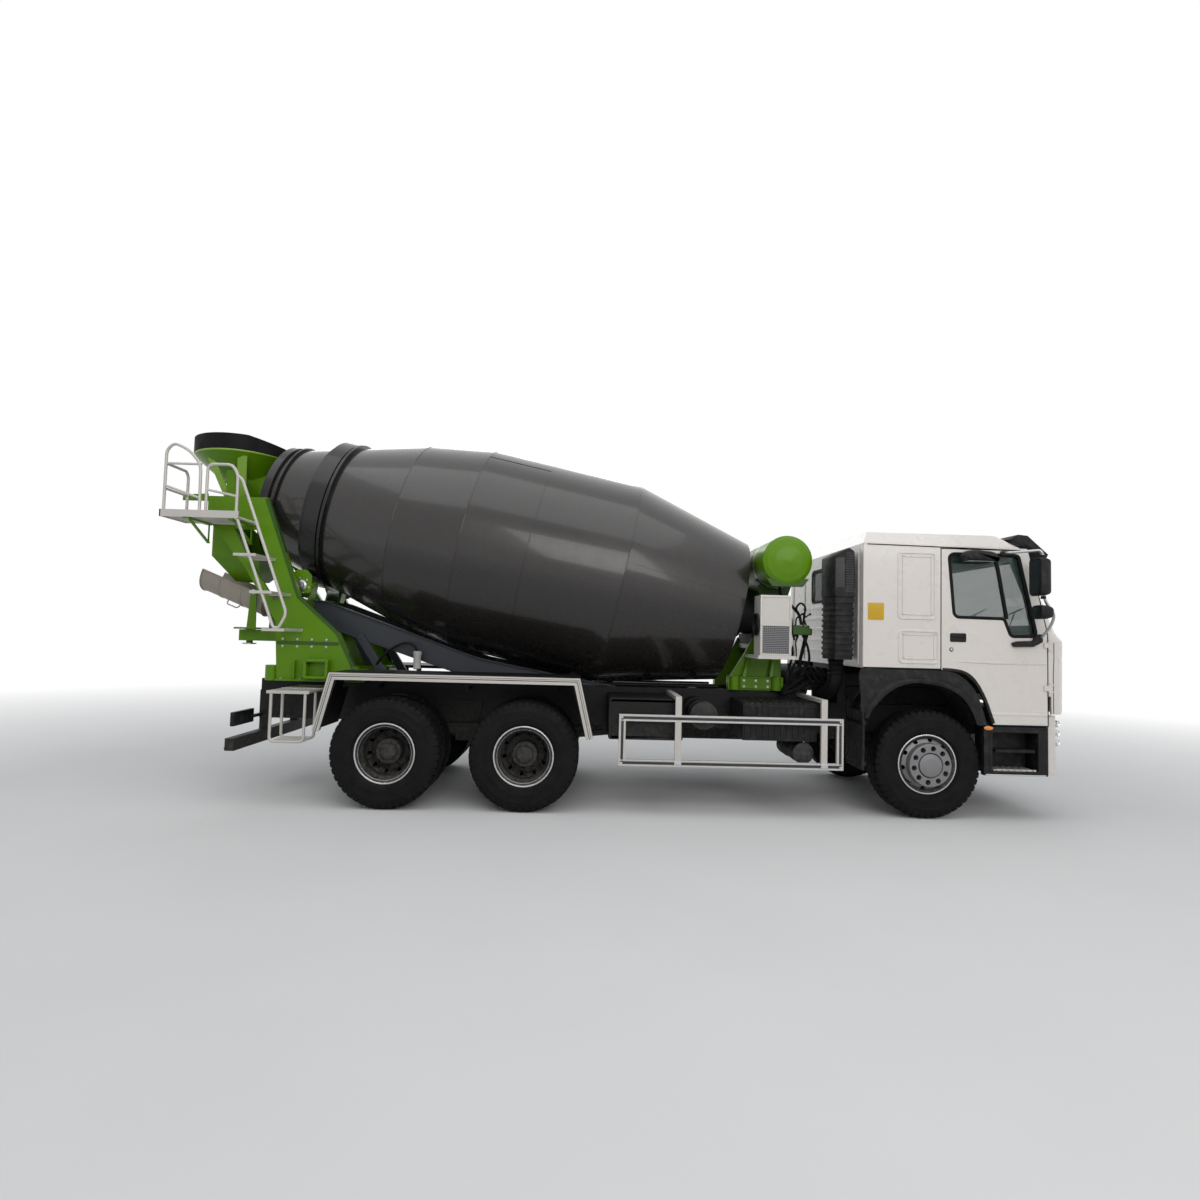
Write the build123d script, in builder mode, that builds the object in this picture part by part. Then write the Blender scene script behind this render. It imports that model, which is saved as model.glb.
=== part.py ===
"""Concrete mixer truck, 6x4, with a tilting cab, a turning drum and a swivelling discharge chute.

Millimetres. +X forward, +Y to the truck's left, +Z up. The origin is on the ground, below the middle of the
overall length and width. "out" means away from the centre plane; side is -1 on the right and +1 on the left.
"""
import os
from math import cos, radians, sin

from build123d import *

os.makedirs("parts", exist_ok=True)

# ---------------------------------------------------------------- driving dimensions
LENGTH = 9450            # front of the cab to the rear lip of the feed hopper
WIDTH = 2490             # over the fenders and side guards
FRONT_OVERHANG = 1500
WHEELBASE = 4025         # front axle to the first rear axle
BOGIE = 1350             # between the two rear axles
TRACK_FRONT = 2022
TRACK_REAR = 1830        # middle of the twin tyres to middle of the twin tyres
TWIN_SPACING = 350       # between the two tyres of a pair
GAP = 0.3                # between two pieces that touch along a curved seat
RUNNING = 0.05           # radial clearance of a shaft in its bore

AXLE_X = LENGTH / 2 - FRONT_OVERHANG
REAR_AXLES_X = (AXLE_X - WHEELBASE, AXLE_X - WHEELBASE - BOGIE)
BOGIE_X = AXLE_X - WHEELBASE - BOGIE / 2
SIDES = {"right": -1, "left": 1}

# wheels
TYRE_R = 540
TYRE_W = 292
RIM_R = 297              # rim flange
RIM_W = 224
SEAT_R = 256             # bead seat
DRUM_BRAKE_R = 205

# ladder frame and subframe
FRAME_HALF = 430         # outer face of a rail
RAIL_H = 300
RAIL_FLANGE = 80
RAIL_T = 9
FRAME_TOP = 1062
FRAME_FRONT = AXLE_X + 1240
FRAME_REAR = AXLE_X - 6950
SUBFRAME_TOP = 1185
SUBFRAME_FRONT = AXLE_X - 1000

# drum: an inclined axis through DRUM_X, DRUM_Z, stations measured backwards along it
DRUM_X = AXLE_X - 1736
DRUM_Z = 2048
DRUM_TILT = 12.16
SHELL = 8
HEAD_BULGE = 55
DRUM_STATIONS = ((60, 811), (1377, 1150), (2384, 1150), (3072, 1147), (3798, 1028), (5337, 610))
RING_S = (4604, 4755)    # roller path
RING_R = 850
MOUTH_RING_W = 70
MOUTH_RING_R = 650
GEARBOX_FACE_S = -60     # face between the drum's flange and the gearbox
FLANGE_R = 265
ROLLER_R = 125
ROLLER_W = 130
ROLLER_ANGLE = 28        # from straight down, about the drum axis

# cab
CAB_HALF = 1200
CAB_REAR = AXLE_X - 690
CAB_FRONT = AXLE_X + 1500
CAB_BOTTOM = 1490
CAB_ROOF = 2740
CAB_WALL = 45
CAB_FLOOR = 1290
CAB_SKIRT = 1070         # lower edge of the front panel
PIVOT_X = AXLE_X + 1200  # cab tilt axis
PIVOT_Z = 950
BUMPER_HALF = 1145
BUMPER_FRONT = AXLE_X + 1446
DOOR_GAP = 6
DOOR_FRONT = AXLE_X + 1175
DOOR_REAR = AXLE_X + 104
DOOR_BOTTOM = 958
DOOR_HINGE_Y = CAB_HALF + 12
DOOR_HINGE_X = DOOR_FRONT + 12

# steering
KINGPIN_Y = 840
KINGPIN_R = 22
BEAM_Z = TYRE_R - 85
ARM_BACK = 200           # steering arm behind the kingpin, straight back so that the linkage is a parallelogram
ARM_Z = TYRE_R - 140

# ---------------------------------------------------------------- helpers


def side_plane(y):
    """A plane seen from the truck's right side: local x is +X, local y is +Z, and it faces -Y."""
    return Plane(origin=(0, y, 0), x_dir=(1, 0, 0), z_dir=(0, -1, 0))


def block(x, y, z, mode=Mode.ADD):
    """A box between pairs of coordinates."""
    size = [b - a for a, b in (x, y, z)]
    with Locations(((x[0] + x[1]) / 2, (y[0] + y[1]) / 2, (z[0] + z[1]) / 2)):
        Box(*size, mode=mode)


def plate(outline, y, mode=Mode.ADD):
    """A straight-edged side outline of (x, z) points, between two y values."""
    with BuildSketch(side_plane(max(y))) as section:
        with BuildLine():
            Polyline(*outline, close=True)
        make_face()
    extrude(section.sketch, amount=max(y) - min(y), mode=mode)


def rod(start, end, radius, mode=Mode.ADD):
    """A round bar from point to point."""
    run = Vector(*end) - Vector(*start)
    with BuildSketch(Plane(origin=start, z_dir=run)) as section:
        Circle(radius)
    extrude(section.sketch, amount=run.length, mode=mode)


def tube_run(points, radius, mode=Mode.ADD):
    """Round bars through a list of points, with a ball at each corner."""
    for start, end in zip(points, points[1:]):
        rod(start, end, radius, mode)
    with Locations(*points[1:-1]):
        Sphere(radius, mode=mode)


def ring_profile(x, z, y, out, outline):
    """Revolve (outward, radius) points about a wheel axis along Y."""
    with BuildSketch(Plane(origin=(x, y, z), x_dir=(0, out, 0), z_dir=(out, 0, 0))) as section:
        with BuildLine():
            Polyline(*outline, close=True)
        make_face()
    revolve(section.sketch, axis=Axis((x, y, z), (0, 1, 0)))


def save(piece, name):
    piece.part.label = name
    export_step(piece.part, f"parts/{name}.step")


# drum frame: local x runs backwards along the axis, local y is up at right angles to it
TILT = radians(DRUM_TILT)
DRUM_PLANE = Plane(origin=(DRUM_X, 0, DRUM_Z), x_dir=(-cos(TILT), 0, sin(TILT)), z_dir=(0, 1, 0))
DRUM_AXIS = Axis((DRUM_X, 0, DRUM_Z), (-cos(TILT), 0, sin(TILT)))


def drum_point(s, up=0.0, y=0.0):
    """World point at a station, a height above the axis and a sideways distance."""
    return (
        DRUM_X - s * cos(TILT) + up * sin(TILT),
        y,
        DRUM_Z + s * sin(TILT) + up * cos(TILT),
    )


def shell_radius(s):
    """Outer radius of the drum at a station."""
    for (s0, r0), (s1, r1) in zip(DRUM_STATIONS, DRUM_STATIONS[1:]):
        if s <= s1:
            return r0 + (r1 - r0) * (s - s0) / (s1 - s0)
    return DRUM_STATIONS[-1][1]


def across_drum(s):
    """Plane square to the drum axis, facing backwards: local x is -Y and local y is up."""
    return Plane(origin=drum_point(s), x_dir=(0, -1, 0), z_dir=(-cos(TILT), 0, sin(TILT)))


def drum_revolve(outline):
    """Revolve (station, radius) points about the drum axis."""
    with BuildSketch(DRUM_PLANE) as section:
        with BuildLine():
            Polyline(*outline, close=True)
        make_face()
    revolve(section.sketch, axis=DRUM_AXIS)


# ---------------------------------------------------------------- wheels


def tyre(x, y_list, out):
    """One or two tyres, each a ring of rubber on its rim."""
    half = TYRE_W / 2
    bead = RIM_W / 2 - 10 - GAP
    heel = RIM_W / 2 + 6
    with BuildPart() as piece:
        for y in y_list:
            with BuildSketch(Plane(origin=(x, y, TYRE_R), x_dir=(0, out, 0), z_dir=(out, 0, 0))):
                with BuildLine():
                    Polyline((-heel, RIM_R + 4), (-bead, RIM_R + GAP), (-bead, SEAT_R + GAP), (bead, SEAT_R + GAP),
                             (bead, RIM_R + GAP), (heel, RIM_R + 4))
                    ThreePointArc((heel, RIM_R + 4), (half, RIM_R + 100), (half - 26, TYRE_R - 18))
                    Line((half - 26, TYRE_R - 18), (half - 48, TYRE_R - 3))
                    ThreePointArc((half - 48, TYRE_R - 3), (0, TYRE_R), (-half + 48, TYRE_R - 3))
                    Line((-half + 48, TYRE_R - 3), (-half + 26, TYRE_R - 18))
                    ThreePointArc((-half + 26, TYRE_R - 18), (-half, RIM_R + 100), (-heel, RIM_R + 4))
                make_face()
            revolve(axis=Axis((x, y, TYRE_R), (0, 1, 0)))
    return piece


def rim_section(middle):
    """Rim ring about a tyre's middle plane, as (outward, radius) points."""
    half = RIM_W / 2
    return [
        (middle - half, RIM_R), (middle - half + 10, RIM_R), (middle - half + 10, SEAT_R),
        (middle + half - 10, SEAT_R), (middle + half - 10, RIM_R), (middle + half, RIM_R),
        (middle + half, SEAT_R + 6), (middle + half - 14, SEAT_R - 10),
        (middle - half + 14, SEAT_R - 10), (middle - half, SEAT_R + 6),
    ]


HAND_HOLES = 10
SPINDLE_R = 42
SPINDLE_END = 120
AXLE_TUBE_R = 60
AXLE_TUBE_END = 60       # past the middle of the twin tyres


def front_wheel(y, out):
    """Rim, domed disc with hand holes, brake drum and a hub cap that stands proud."""
    with BuildPart() as piece:
        ring_profile(AXLE_X, TYRE_R, y, out, rim_section(0))
        ring_profile(AXLE_X, TYRE_R, y, out, [
            (30, 250), (62, 250), (74, 216), (106, 196), (112, 120), (112, 104), (178, 98), (198, 78), (198, 0),
            (SPINDLE_END + 1, 0), (SPINDLE_END + 1, SPINDLE_R + RUNNING), (-96, SPINDLE_R + RUNNING),
            (-96, DRUM_BRAKE_R), (24, DRUM_BRAKE_R), (24, 150), (92, 150), (92, 184), (60, 204), (48, 238),
        ])
        with BuildSketch(Plane(origin=(AXLE_X, y, TYRE_R), x_dir=(1, 0, 0), z_dir=(0, out, 0))):
            with PolarLocations(170, HAND_HOLES):
                Circle(19)
        extrude(amount=140, mode=Mode.SUBTRACT)
    return piece


def rear_wheel(x, y, out):
    """Two rims joined by their dished discs, with the brake drum and the recessed hub."""
    middle = TWIN_SPACING / 2
    with BuildPart() as piece:
        for side in (1, -1):
            ring_profile(x, TYRE_R, y, out, rim_section(side * middle))
            ring_profile(x, TYRE_R, y, out, [
                (side * (middle - 55), 250), (side * (middle - 75), 250), (side * 2, 208),
                (side * -2, 110), (side * 14, 110), (side * 16, 200), (side * 40, 206),
            ])
        ring_profile(x, TYRE_R, y, out, [
            (-172, AXLE_TUBE_R + RUNNING), (-172, DRUM_BRAKE_R), (-2, DRUM_BRAKE_R), (-2, 140), (90, 132),
            (96, 108), (146, 100), (150, 0), (AXLE_TUBE_END + 1, 0), (AXLE_TUBE_END + 1, AXLE_TUBE_R + RUNNING),
        ])
        with BuildSketch(Plane(origin=(x, y + out * 10, TYRE_R), x_dir=(1, 0, 0), z_dir=(0, out, 0))):
            with PolarLocations(176, HAND_HOLES):
                Circle(18)
        extrude(amount=60, mode=Mode.SUBTRACT)
    return piece


for name, out in SIDES.items():
    y = out * TRACK_FRONT / 2
    save(tyre(AXLE_X, [y], out), f"front_tyre_{name}")
    save(front_wheel(y, out), f"front_wheel_{name}")
    for axle, x in zip(("mid", "rear"), REAR_AXLES_X):
        y = out * TRACK_REAR / 2
        twins = [y - TWIN_SPACING / 2, y + TWIN_SPACING / 2]
        save(tyre(x, twins, out), f"{axle}_tyres_{name}")
        save(rear_wheel(x, y, out), f"{axle}_wheel_{name}")

# ---------------------------------------------------------------- frame
RAIL_BOTTOM = FRAME_TOP - RAIL_H
CROSS_X = [AXLE_X + 1100, AXLE_X - 1600, AXLE_X - 2700, BOGIE_X + 900, BOGIE_X, BOGIE_X - 900,
           FRAME_REAR + 100]
SPRING_Y = FRAME_HALF + 5
FRONT_SPRING_HALF = 760
REAR_SPRING_HALF = 660
REAR_SPRING_Y = 505
SPRING_W = 80
REAR_SPRING_Z = TYRE_R + 110
LEAF = 12
FRONT_LEAVES = 9
FRONT_SPRING_Z = BEAM_Z + 80
FRONT_SPRING_RISE = 60
FRONT_EYE_Z = FRONT_SPRING_Z + (FRONT_LEAVES - 1) * LEAF + FRONT_SPRING_RISE
UNDERRUN_Z = 640
HITCH_Y, HITCH_H, HITCH_HOLE_R = 140, 80, 8.5      # coupling bolt pattern
HITCH_Z = 967
PIVOT_PIN_R = 25
HANGER_HALF = 45
PIVOT_PIN_END = 500
CAB_REST_X = (AXLE_X - 640, AXLE_X - 560)

with BuildPart() as chassis_frame:
    for side in (-1, 1):
        with BuildSketch(Plane(origin=(FRAME_REAR, 0, 0), x_dir=(0, 1, 0), z_dir=(1, 0, 0))):
            with BuildLine():
                Polyline(*[(side * a, b) for a, b in (
                    (FRAME_HALF, RAIL_BOTTOM), (FRAME_HALF, FRAME_TOP), (FRAME_HALF - RAIL_FLANGE, FRAME_TOP),
                    (FRAME_HALF - RAIL_FLANGE, FRAME_TOP - RAIL_T), (FRAME_HALF - RAIL_T, FRAME_TOP - RAIL_T),
                    (FRAME_HALF - RAIL_T, RAIL_BOTTOM + RAIL_T), (FRAME_HALF - RAIL_FLANGE, RAIL_BOTTOM + RAIL_T),
                    (FRAME_HALF - RAIL_FLANGE, RAIL_BOTTOM))], close=True)
            make_face()
        extrude(amount=FRAME_FRONT - FRAME_REAR)
        inner = side * (FRAME_HALF - RAIL_T)
        outer = side * FRAME_HALF
        # spring hangers, front and rear of the steered axle
        for end in (-1, 1):
            x = AXLE_X + end * FRONT_SPRING_HALF
            block((x - HANGER_HALF, x + HANGER_HALF), sorted((outer, outer + side * 60)), (FRONT_EYE_Z - 11, RAIL_BOTTOM + 160))
        # trunnion bracket of the rear springs
        plate([(BOGIE_X - 160, FRAME_TOP - 60), (BOGIE_X + 160, FRAME_TOP - 60), (BOGIE_X + 90, REAR_SPRING_Z - 10),
               (BOGIE_X - 90, REAR_SPRING_Z - 10)], (outer, outer + side * 24))
        block((BOGIE_X - 110, BOGIE_X + 110), sorted((outer, side * (REAR_SPRING_Y + SPRING_W / 2))),
              (REAR_SPRING_Z - 65, REAR_SPRING_Z - 2 - GAP))
    for x in CROSS_X:
        block((x - 40, x + 40), (-FRAME_HALF + RAIL_T, FRAME_HALF - RAIL_T), (FRAME_TOP - 150, FRAME_TOP - 40))
    # rear underrun bar on two drop arms
    for side in (-1, 1):
        block((FRAME_REAR, FRAME_REAR + 90), sorted((side * (FRAME_HALF - RAIL_T - 60), side * (FRAME_HALF - RAIL_T))),
              (UNDERRUN_Z, RAIL_BOTTOM + 180))
    block((FRAME_REAR, FRAME_REAR + 90), (-1130, 1130), (UNDERRUN_Z - 120, UNDERRUN_Z))
    # coupling plate on the rear crossmember
    block((FRAME_REAR + 40, FRAME_REAR + 60), (-150, 150), (HITCH_Z - 95, HITCH_Z + 83))
    for y in (-HITCH_Y / 2, HITCH_Y / 2):
        for z in (HITCH_Z - HITCH_H / 2, HITCH_Z + HITCH_H / 2):
            rod((FRAME_REAR + 30, y, z), (FRAME_REAR + 150, y, z), HITCH_HOLE_R, Mode.SUBTRACT)
    # cab pivot pins, and the hoop that the back of the cab rests on
    for side in (-1, 1):
        rod((PIVOT_X, side * (FRAME_HALF - RAIL_T), PIVOT_Z), (PIVOT_X, side * PIVOT_PIN_END, PIVOT_Z), PIVOT_PIN_R)
        block(CAB_REST_X, sorted((side * (FRAME_HALF - RAIL_FLANGE), side * FRAME_HALF)), (FRAME_TOP, CAB_BOTTOM - 1))
    block(CAB_REST_X, (-FRAME_HALF, FRAME_HALF), (CAB_BOTTOM - 60, CAB_BOTTOM - 1))
save(chassis_frame, "chassis_frame")

SUB_W = 80
PEDESTAL_REAR_X = (AXLE_X - 6700, AXLE_X - 5790)
PEDESTAL_FRONT_X = (AXLE_X - 1870, AXLE_X - 1265)
with BuildPart() as subframe:
    for side in (-1, 1):
        block((FRAME_REAR + 10, SUBFRAME_FRONT), sorted((side * (FRAME_HALF - SUB_W), side * FRAME_HALF)),
              (FRAME_TOP, SUBFRAME_TOP))
    for x in (SUBFRAME_FRONT - 60, AXLE_X - 2200, AXLE_X - 3600, AXLE_X - 4700, AXLE_X - 5650, FRAME_REAR + 70):
        block((x - 40, x + 40), (-FRAME_HALF + SUB_W, FRAME_HALF - SUB_W), (FRAME_TOP + 10, SUBFRAME_TOP - 15))
save(subframe, "subframe")

# ---------------------------------------------------------------- engine, axles and springs
ENGINE_X = (AXLE_X - 700, AXLE_X + 620)
with BuildPart() as engine:
    block(ENGINE_X, (-300, 300), (700, 1240))
    block((AXLE_X - 1500, ENGINE_X[0]), (-210, 210), (700, 1040))
    mount = FRAME_HALF - RAIL_T - GAP
    for x in (AXLE_X - 520, AXLE_X + 400):
        block((x - 50, x + 50), (-mount, mount), (880, 950))
save(engine, "engine")

BEAM_W = 100
BOSS_H = 96
with BuildPart() as front_axle:
    half = BEAM_W / 2
    with BuildSketch(Plane(origin=(AXLE_X + half, 0, 0), x_dir=(0, 1, 0), z_dir=(1, 0, 0))):
        with BuildLine():
            Polyline((-KINGPIN_Y, TYRE_R - 40), (70 - KINGPIN_Y, TYRE_R - 40), (-640, BEAM_Z - 50), (640, BEAM_Z - 50),
                     (KINGPIN_Y - 70, TYRE_R - 40), (KINGPIN_Y, TYRE_R - 40), (KINGPIN_Y, TYRE_R + 40),
                     (600, BEAM_Z + 50), (-600, BEAM_Z + 50), (-KINGPIN_Y, TYRE_R + 40), close=True)
        make_face()
    extrude(amount=-BEAM_W)
    for side in (-1, 1):
        rod((AXLE_X, side * KINGPIN_Y, TYRE_R - BOSS_H / 2), (AXLE_X, side * KINGPIN_Y, TYRE_R + BOSS_H / 2), 46)
        rod((AXLE_X, side * KINGPIN_Y, TYRE_R - BOSS_H), (AXLE_X, side * KINGPIN_Y, TYRE_R + BOSS_H),
            KINGPIN_R + RUNNING, Mode.SUBTRACT)
        # spring seats
        block((AXLE_X - 90, AXLE_X + 90), sorted((side * (FRAME_HALF - 45), side * (FRAME_HALF + 50))),
              (BEAM_Z + 40, BEAM_Z + 80))
save(front_axle, "front_axle")


def leaf_stack(x, y, z, half, leaves, rise):
    """A pack of leaves resting at z, each leaf longer than the one below; its ends rise to the eyes."""
    ends = [half * (n + 2) / (leaves + 1) for n in range(leaves)]
    for n in range(leaves):
        # every leaf bends at the same places, so the leaves lie flat on each other
        run = [0, *ends[:n + 1]]
        under = [(x + r, z + n * LEAF + rise * (r / half) ** 2) for r in [-r for r in run[:0:-1]] + run]
        plate(under + [(a, b + LEAF) for a, b in under[::-1]], (y - SPRING_W / 2, y + SPRING_W / 2))


with BuildPart() as leaf_springs:
    for side in (-1, 1):
        leaf_stack(AXLE_X, side * (FRAME_HALF + 2), FRONT_SPRING_Z, FRONT_SPRING_HALF - HANGER_HALF, FRONT_LEAVES,
                   FRONT_SPRING_RISE)
        leaf_stack(BOGIE_X, side * REAR_SPRING_Y, REAR_SPRING_Z, BOGIE / 2 + 40, 10, -60)
save(leaf_springs, "leaf_springs")

with BuildPart() as rear_axles:
    for x in REAR_AXLES_X:
        end = TRACK_REAR / 2 + AXLE_TUBE_END
        rod((x, -end, TYRE_R), (x, end, TYRE_R), AXLE_TUBE_R)
        block((x - 75, x + 75), (-585, 585), (TYRE_R - 75, TYRE_R + 75))
        # pads under the ends of the springs
        end_out = 1 if x > BOGIE_X else -1
        for side in (-1, 1):
            block(sorted((x - end_out * 20, x + end_out * 40)),
                  sorted((side * (REAR_SPRING_Y - SPRING_W / 2), side * (REAR_SPRING_Y + SPRING_W / 2))),
                  (TYRE_R + 75, REAR_SPRING_Z + 9 * LEAF - 60 - GAP))
        with Locations((x, 0, TYRE_R)):
            Sphere(210)
    # drive shafts: gearbox to the first axle, and on to the second
    rod((AXLE_X - 1508, 0, 830), (REAR_AXLES_X[0] + 150, 0, TYRE_R + 40), 55)
    rod((REAR_AXLES_X[0], 0, TYRE_R + 60), (REAR_AXLES_X[1], 0, TYRE_R + 60), 50)
save(rear_axles, "rear_axles")

# ---------------------------------------------------------------- steering
KNUCKLE_EAR = 34


def knuckle(out):
    """King pin held in two ears, the wheel spindle, and the steering arm with its ball pin."""
    y = out * KINGPIN_Y
    ear_in = TYRE_R + BOSS_H / 2 + 1
    with BuildPart() as piece:
        rod((AXLE_X, y, TYRE_R - BOSS_H / 2 - KNUCKLE_EAR), (AXLE_X, y, TYRE_R + BOSS_H / 2 + KNUCKLE_EAR), KINGPIN_R)
        for z in (ear_in, 2 * TYRE_R - ear_in - KNUCKLE_EAR + 1):
            rod((AXLE_X, y, z), (AXLE_X, y, z + KNUCKLE_EAR - 1), 45)
            block((AXLE_X - 45, AXLE_X + 45), sorted((y, out * (KINGPIN_Y + 66))), (z, z + KNUCKLE_EAR - 1))
        block((AXLE_X - 45, AXLE_X + 45), sorted((out * (KINGPIN_Y + 50), out * (KINGPIN_Y + 70))),
              (TYRE_R - BOSS_H / 2 - KNUCKLE_EAR + 1, TYRE_R + BOSS_H / 2 + KNUCKLE_EAR - 1))
        rod((AXLE_X, out * (KINGPIN_Y + 60), TYRE_R), (AXLE_X, out * (TRACK_FRONT / 2 + SPINDLE_END), TYRE_R),
            SPINDLE_R)
        # steering arm
        tip = (AXLE_X - ARM_BACK, y, ARM_Z)
        tube_run([(AXLE_X, y, TYRE_R - BOSS_H / 2 - KNUCKLE_EAR / 2), (AXLE_X - 90, y, ARM_Z + 12),
                  (tip[0], tip[1], ARM_Z + 12)], 16)
        rod((tip[0], tip[1], ARM_Z - 45), (tip[0], tip[1], ARM_Z + 12), 12)
    return piece


for name, out in SIDES.items():
    save(knuckle(out), f"knuckle_{name}")

ROD_Z = ARM_Z - 26
TIE_EYE_R = 22
OPEN_EYE_CLEARANCE = 3
with BuildPart() as tie_rod:
    x = AXLE_X - ARM_BACK
    y = KINGPIN_Y
    rod((x, -y + 16, ROD_Z), (x, y - 16, ROD_Z), 15)
    for side, clearance in ((-1, RUNNING), (1, OPEN_EYE_CLEARANCE)):
        rod((x, side * y, ROD_Z - 18), (x, side * y, ROD_Z + 18), TIE_EYE_R)
        rod((x, side * y, ROD_Z - 30), (x, side * y, ROD_Z + 30), 12 + clearance, Mode.SUBTRACT)
save(tie_rod, "tie_rod")

# ---------------------------------------------------------------- drum
MOUTH_S, MOUTH_R = DRUM_STATIONS[-1]
HEAD_S, HEAD_R = DRUM_STATIONS[0]
with BuildPart() as drum_shell:
    with BuildSketch(DRUM_PLANE):
        with BuildLine():
            Polyline((GEARBOX_FACE_S, 0), (GEARBOX_FACE_S, FLANGE_R), (HEAD_S - HEAD_BULGE + 8, FLANGE_R))
            ThreePointArc((HEAD_S - HEAD_BULGE + 8, FLANGE_R), (HEAD_S - 34, 560), (HEAD_S, HEAD_R))
            Polyline(*DRUM_STATIONS, (MOUTH_S, MOUTH_R - SHELL))
            Polyline((MOUTH_S, MOUTH_R - SHELL), *[(s, r - SHELL) for s, r in DRUM_STATIONS[-2:0:-1]],
                     (HEAD_S + SHELL, HEAD_R - SHELL))
            ThreePointArc((HEAD_S + SHELL, HEAD_R - SHELL), (HEAD_S - 34 + SHELL, 552), (HEAD_S - HEAD_BULGE + 16, 255))
            Polyline((HEAD_S - HEAD_BULGE + 16, 255), (HEAD_S - HEAD_BULGE + 16, 0), (GEARBOX_FACE_S, 0))
        make_face()
    revolve(axis=DRUM_AXIS)
save(drum_shell, "drum_shell")

with BuildPart() as drum_rings:
    s0, s1 = RING_S
    drum_revolve([(s0, shell_radius(s0) + GAP), (s0, RING_R), (s1, RING_R), (s1, shell_radius(s1) + GAP)])
    s0 = MOUTH_S - MOUTH_RING_W
    drum_revolve([(s0, shell_radius(s0) + GAP), (s0, MOUTH_RING_R), (MOUTH_S, MOUTH_RING_R),
                  (MOUTH_S, shell_radius(MOUTH_S) + GAP)])
save(drum_rings, "drum_rings")

ROLLER_S = (RING_S[0] + RING_S[1]) / 2
ROLLER_PIN_R = 30
ROLLER_REACH = RING_R + GAP + ROLLER_R
ROLLER_UP = -ROLLER_REACH * cos(radians(ROLLER_ANGLE))
ROLLER_Y = ROLLER_REACH * sin(radians(ROLLER_ANGLE))
for name, out in SIDES.items():
    with BuildPart() as roller:
        y = out * ROLLER_Y
        rod(drum_point(ROLLER_S - ROLLER_W / 2, ROLLER_UP, y), drum_point(ROLLER_S + ROLLER_W / 2, ROLLER_UP, y),
            ROLLER_R)
        rod(drum_point(ROLLER_S - ROLLER_W, ROLLER_UP, y), drum_point(ROLLER_S + ROLLER_W, ROLLER_UP, y),
            ROLLER_PIN_R + RUNNING, Mode.SUBTRACT)
    save(roller, f"drum_roller_{name}")

# ---------------------------------------------------------------- pedestals and gearbox
TANK_X, TANK_Z, TANK_R = AXLE_X - 1360, 2575, 258
with BuildPart() as front_pedestal:
    x0, x1 = PEDESTAL_FRONT_X
    for side in (-1, 1):
        inner, outer = side * (FRAME_HALF - SUB_W), side * (FRAME_HALF + 20)
        # foot box on the subframe with two round lugs, and a leg that leans in to the saddle
        block((x0, x1), sorted((side * (FRAME_HALF - SUB_W - 6), outer)), (SUBFRAME_TOP, SUBFRAME_TOP + 145))
        plate([(x0 + 30, SUBFRAME_TOP + 145), (x1 - 10, SUBFRAME_TOP + 145), (x1 - 10, 1585), (x1 - 20, 1830),
               (x1 - 330, 1760), (x0 + 190, 1585)], (inner, inner + side * 40))
    block((x0 + 200, x1 - 10), (-FRAME_HALF + SUB_W, FRAME_HALF - SUB_W), (SUBFRAME_TOP + 90, SUBFRAME_TOP + 145))
    block((x1 - 330, x1 - 20), (-FRAME_HALF + SUB_W, FRAME_HALF - SUB_W), (1640, 1690))
    # saddles of the water tank
    for side in (-1, 1):
        block((TANK_X - 60, TANK_X + 60), sorted((side * 350, side * 390)), (1700, TANK_Z - TANK_R + 30))
    rod((TANK_X, -400, TANK_Z), (TANK_X, 400, TANK_Z), TANK_R + GAP, Mode.SUBTRACT)
save(front_pedestal, "front_pedestal")

GEARBOX_R = 255
with BuildPart() as drum_gearbox:
    face = GEARBOX_FACE_S - 0.5
    rod(drum_point(face), drum_point(face - 40), FLANGE_R)
    rod(drum_point(face - 40), drum_point(face - 250), 210)
    rod(drum_point(face - 250), drum_point(face - 420), 120)
    block((PEDESTAL_FRONT_X[1] - 320, PEDESTAL_FRONT_X[1] - 60), (-340, 340), (1690, 1810))
save(drum_gearbox, "drum_gearbox")

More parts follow.
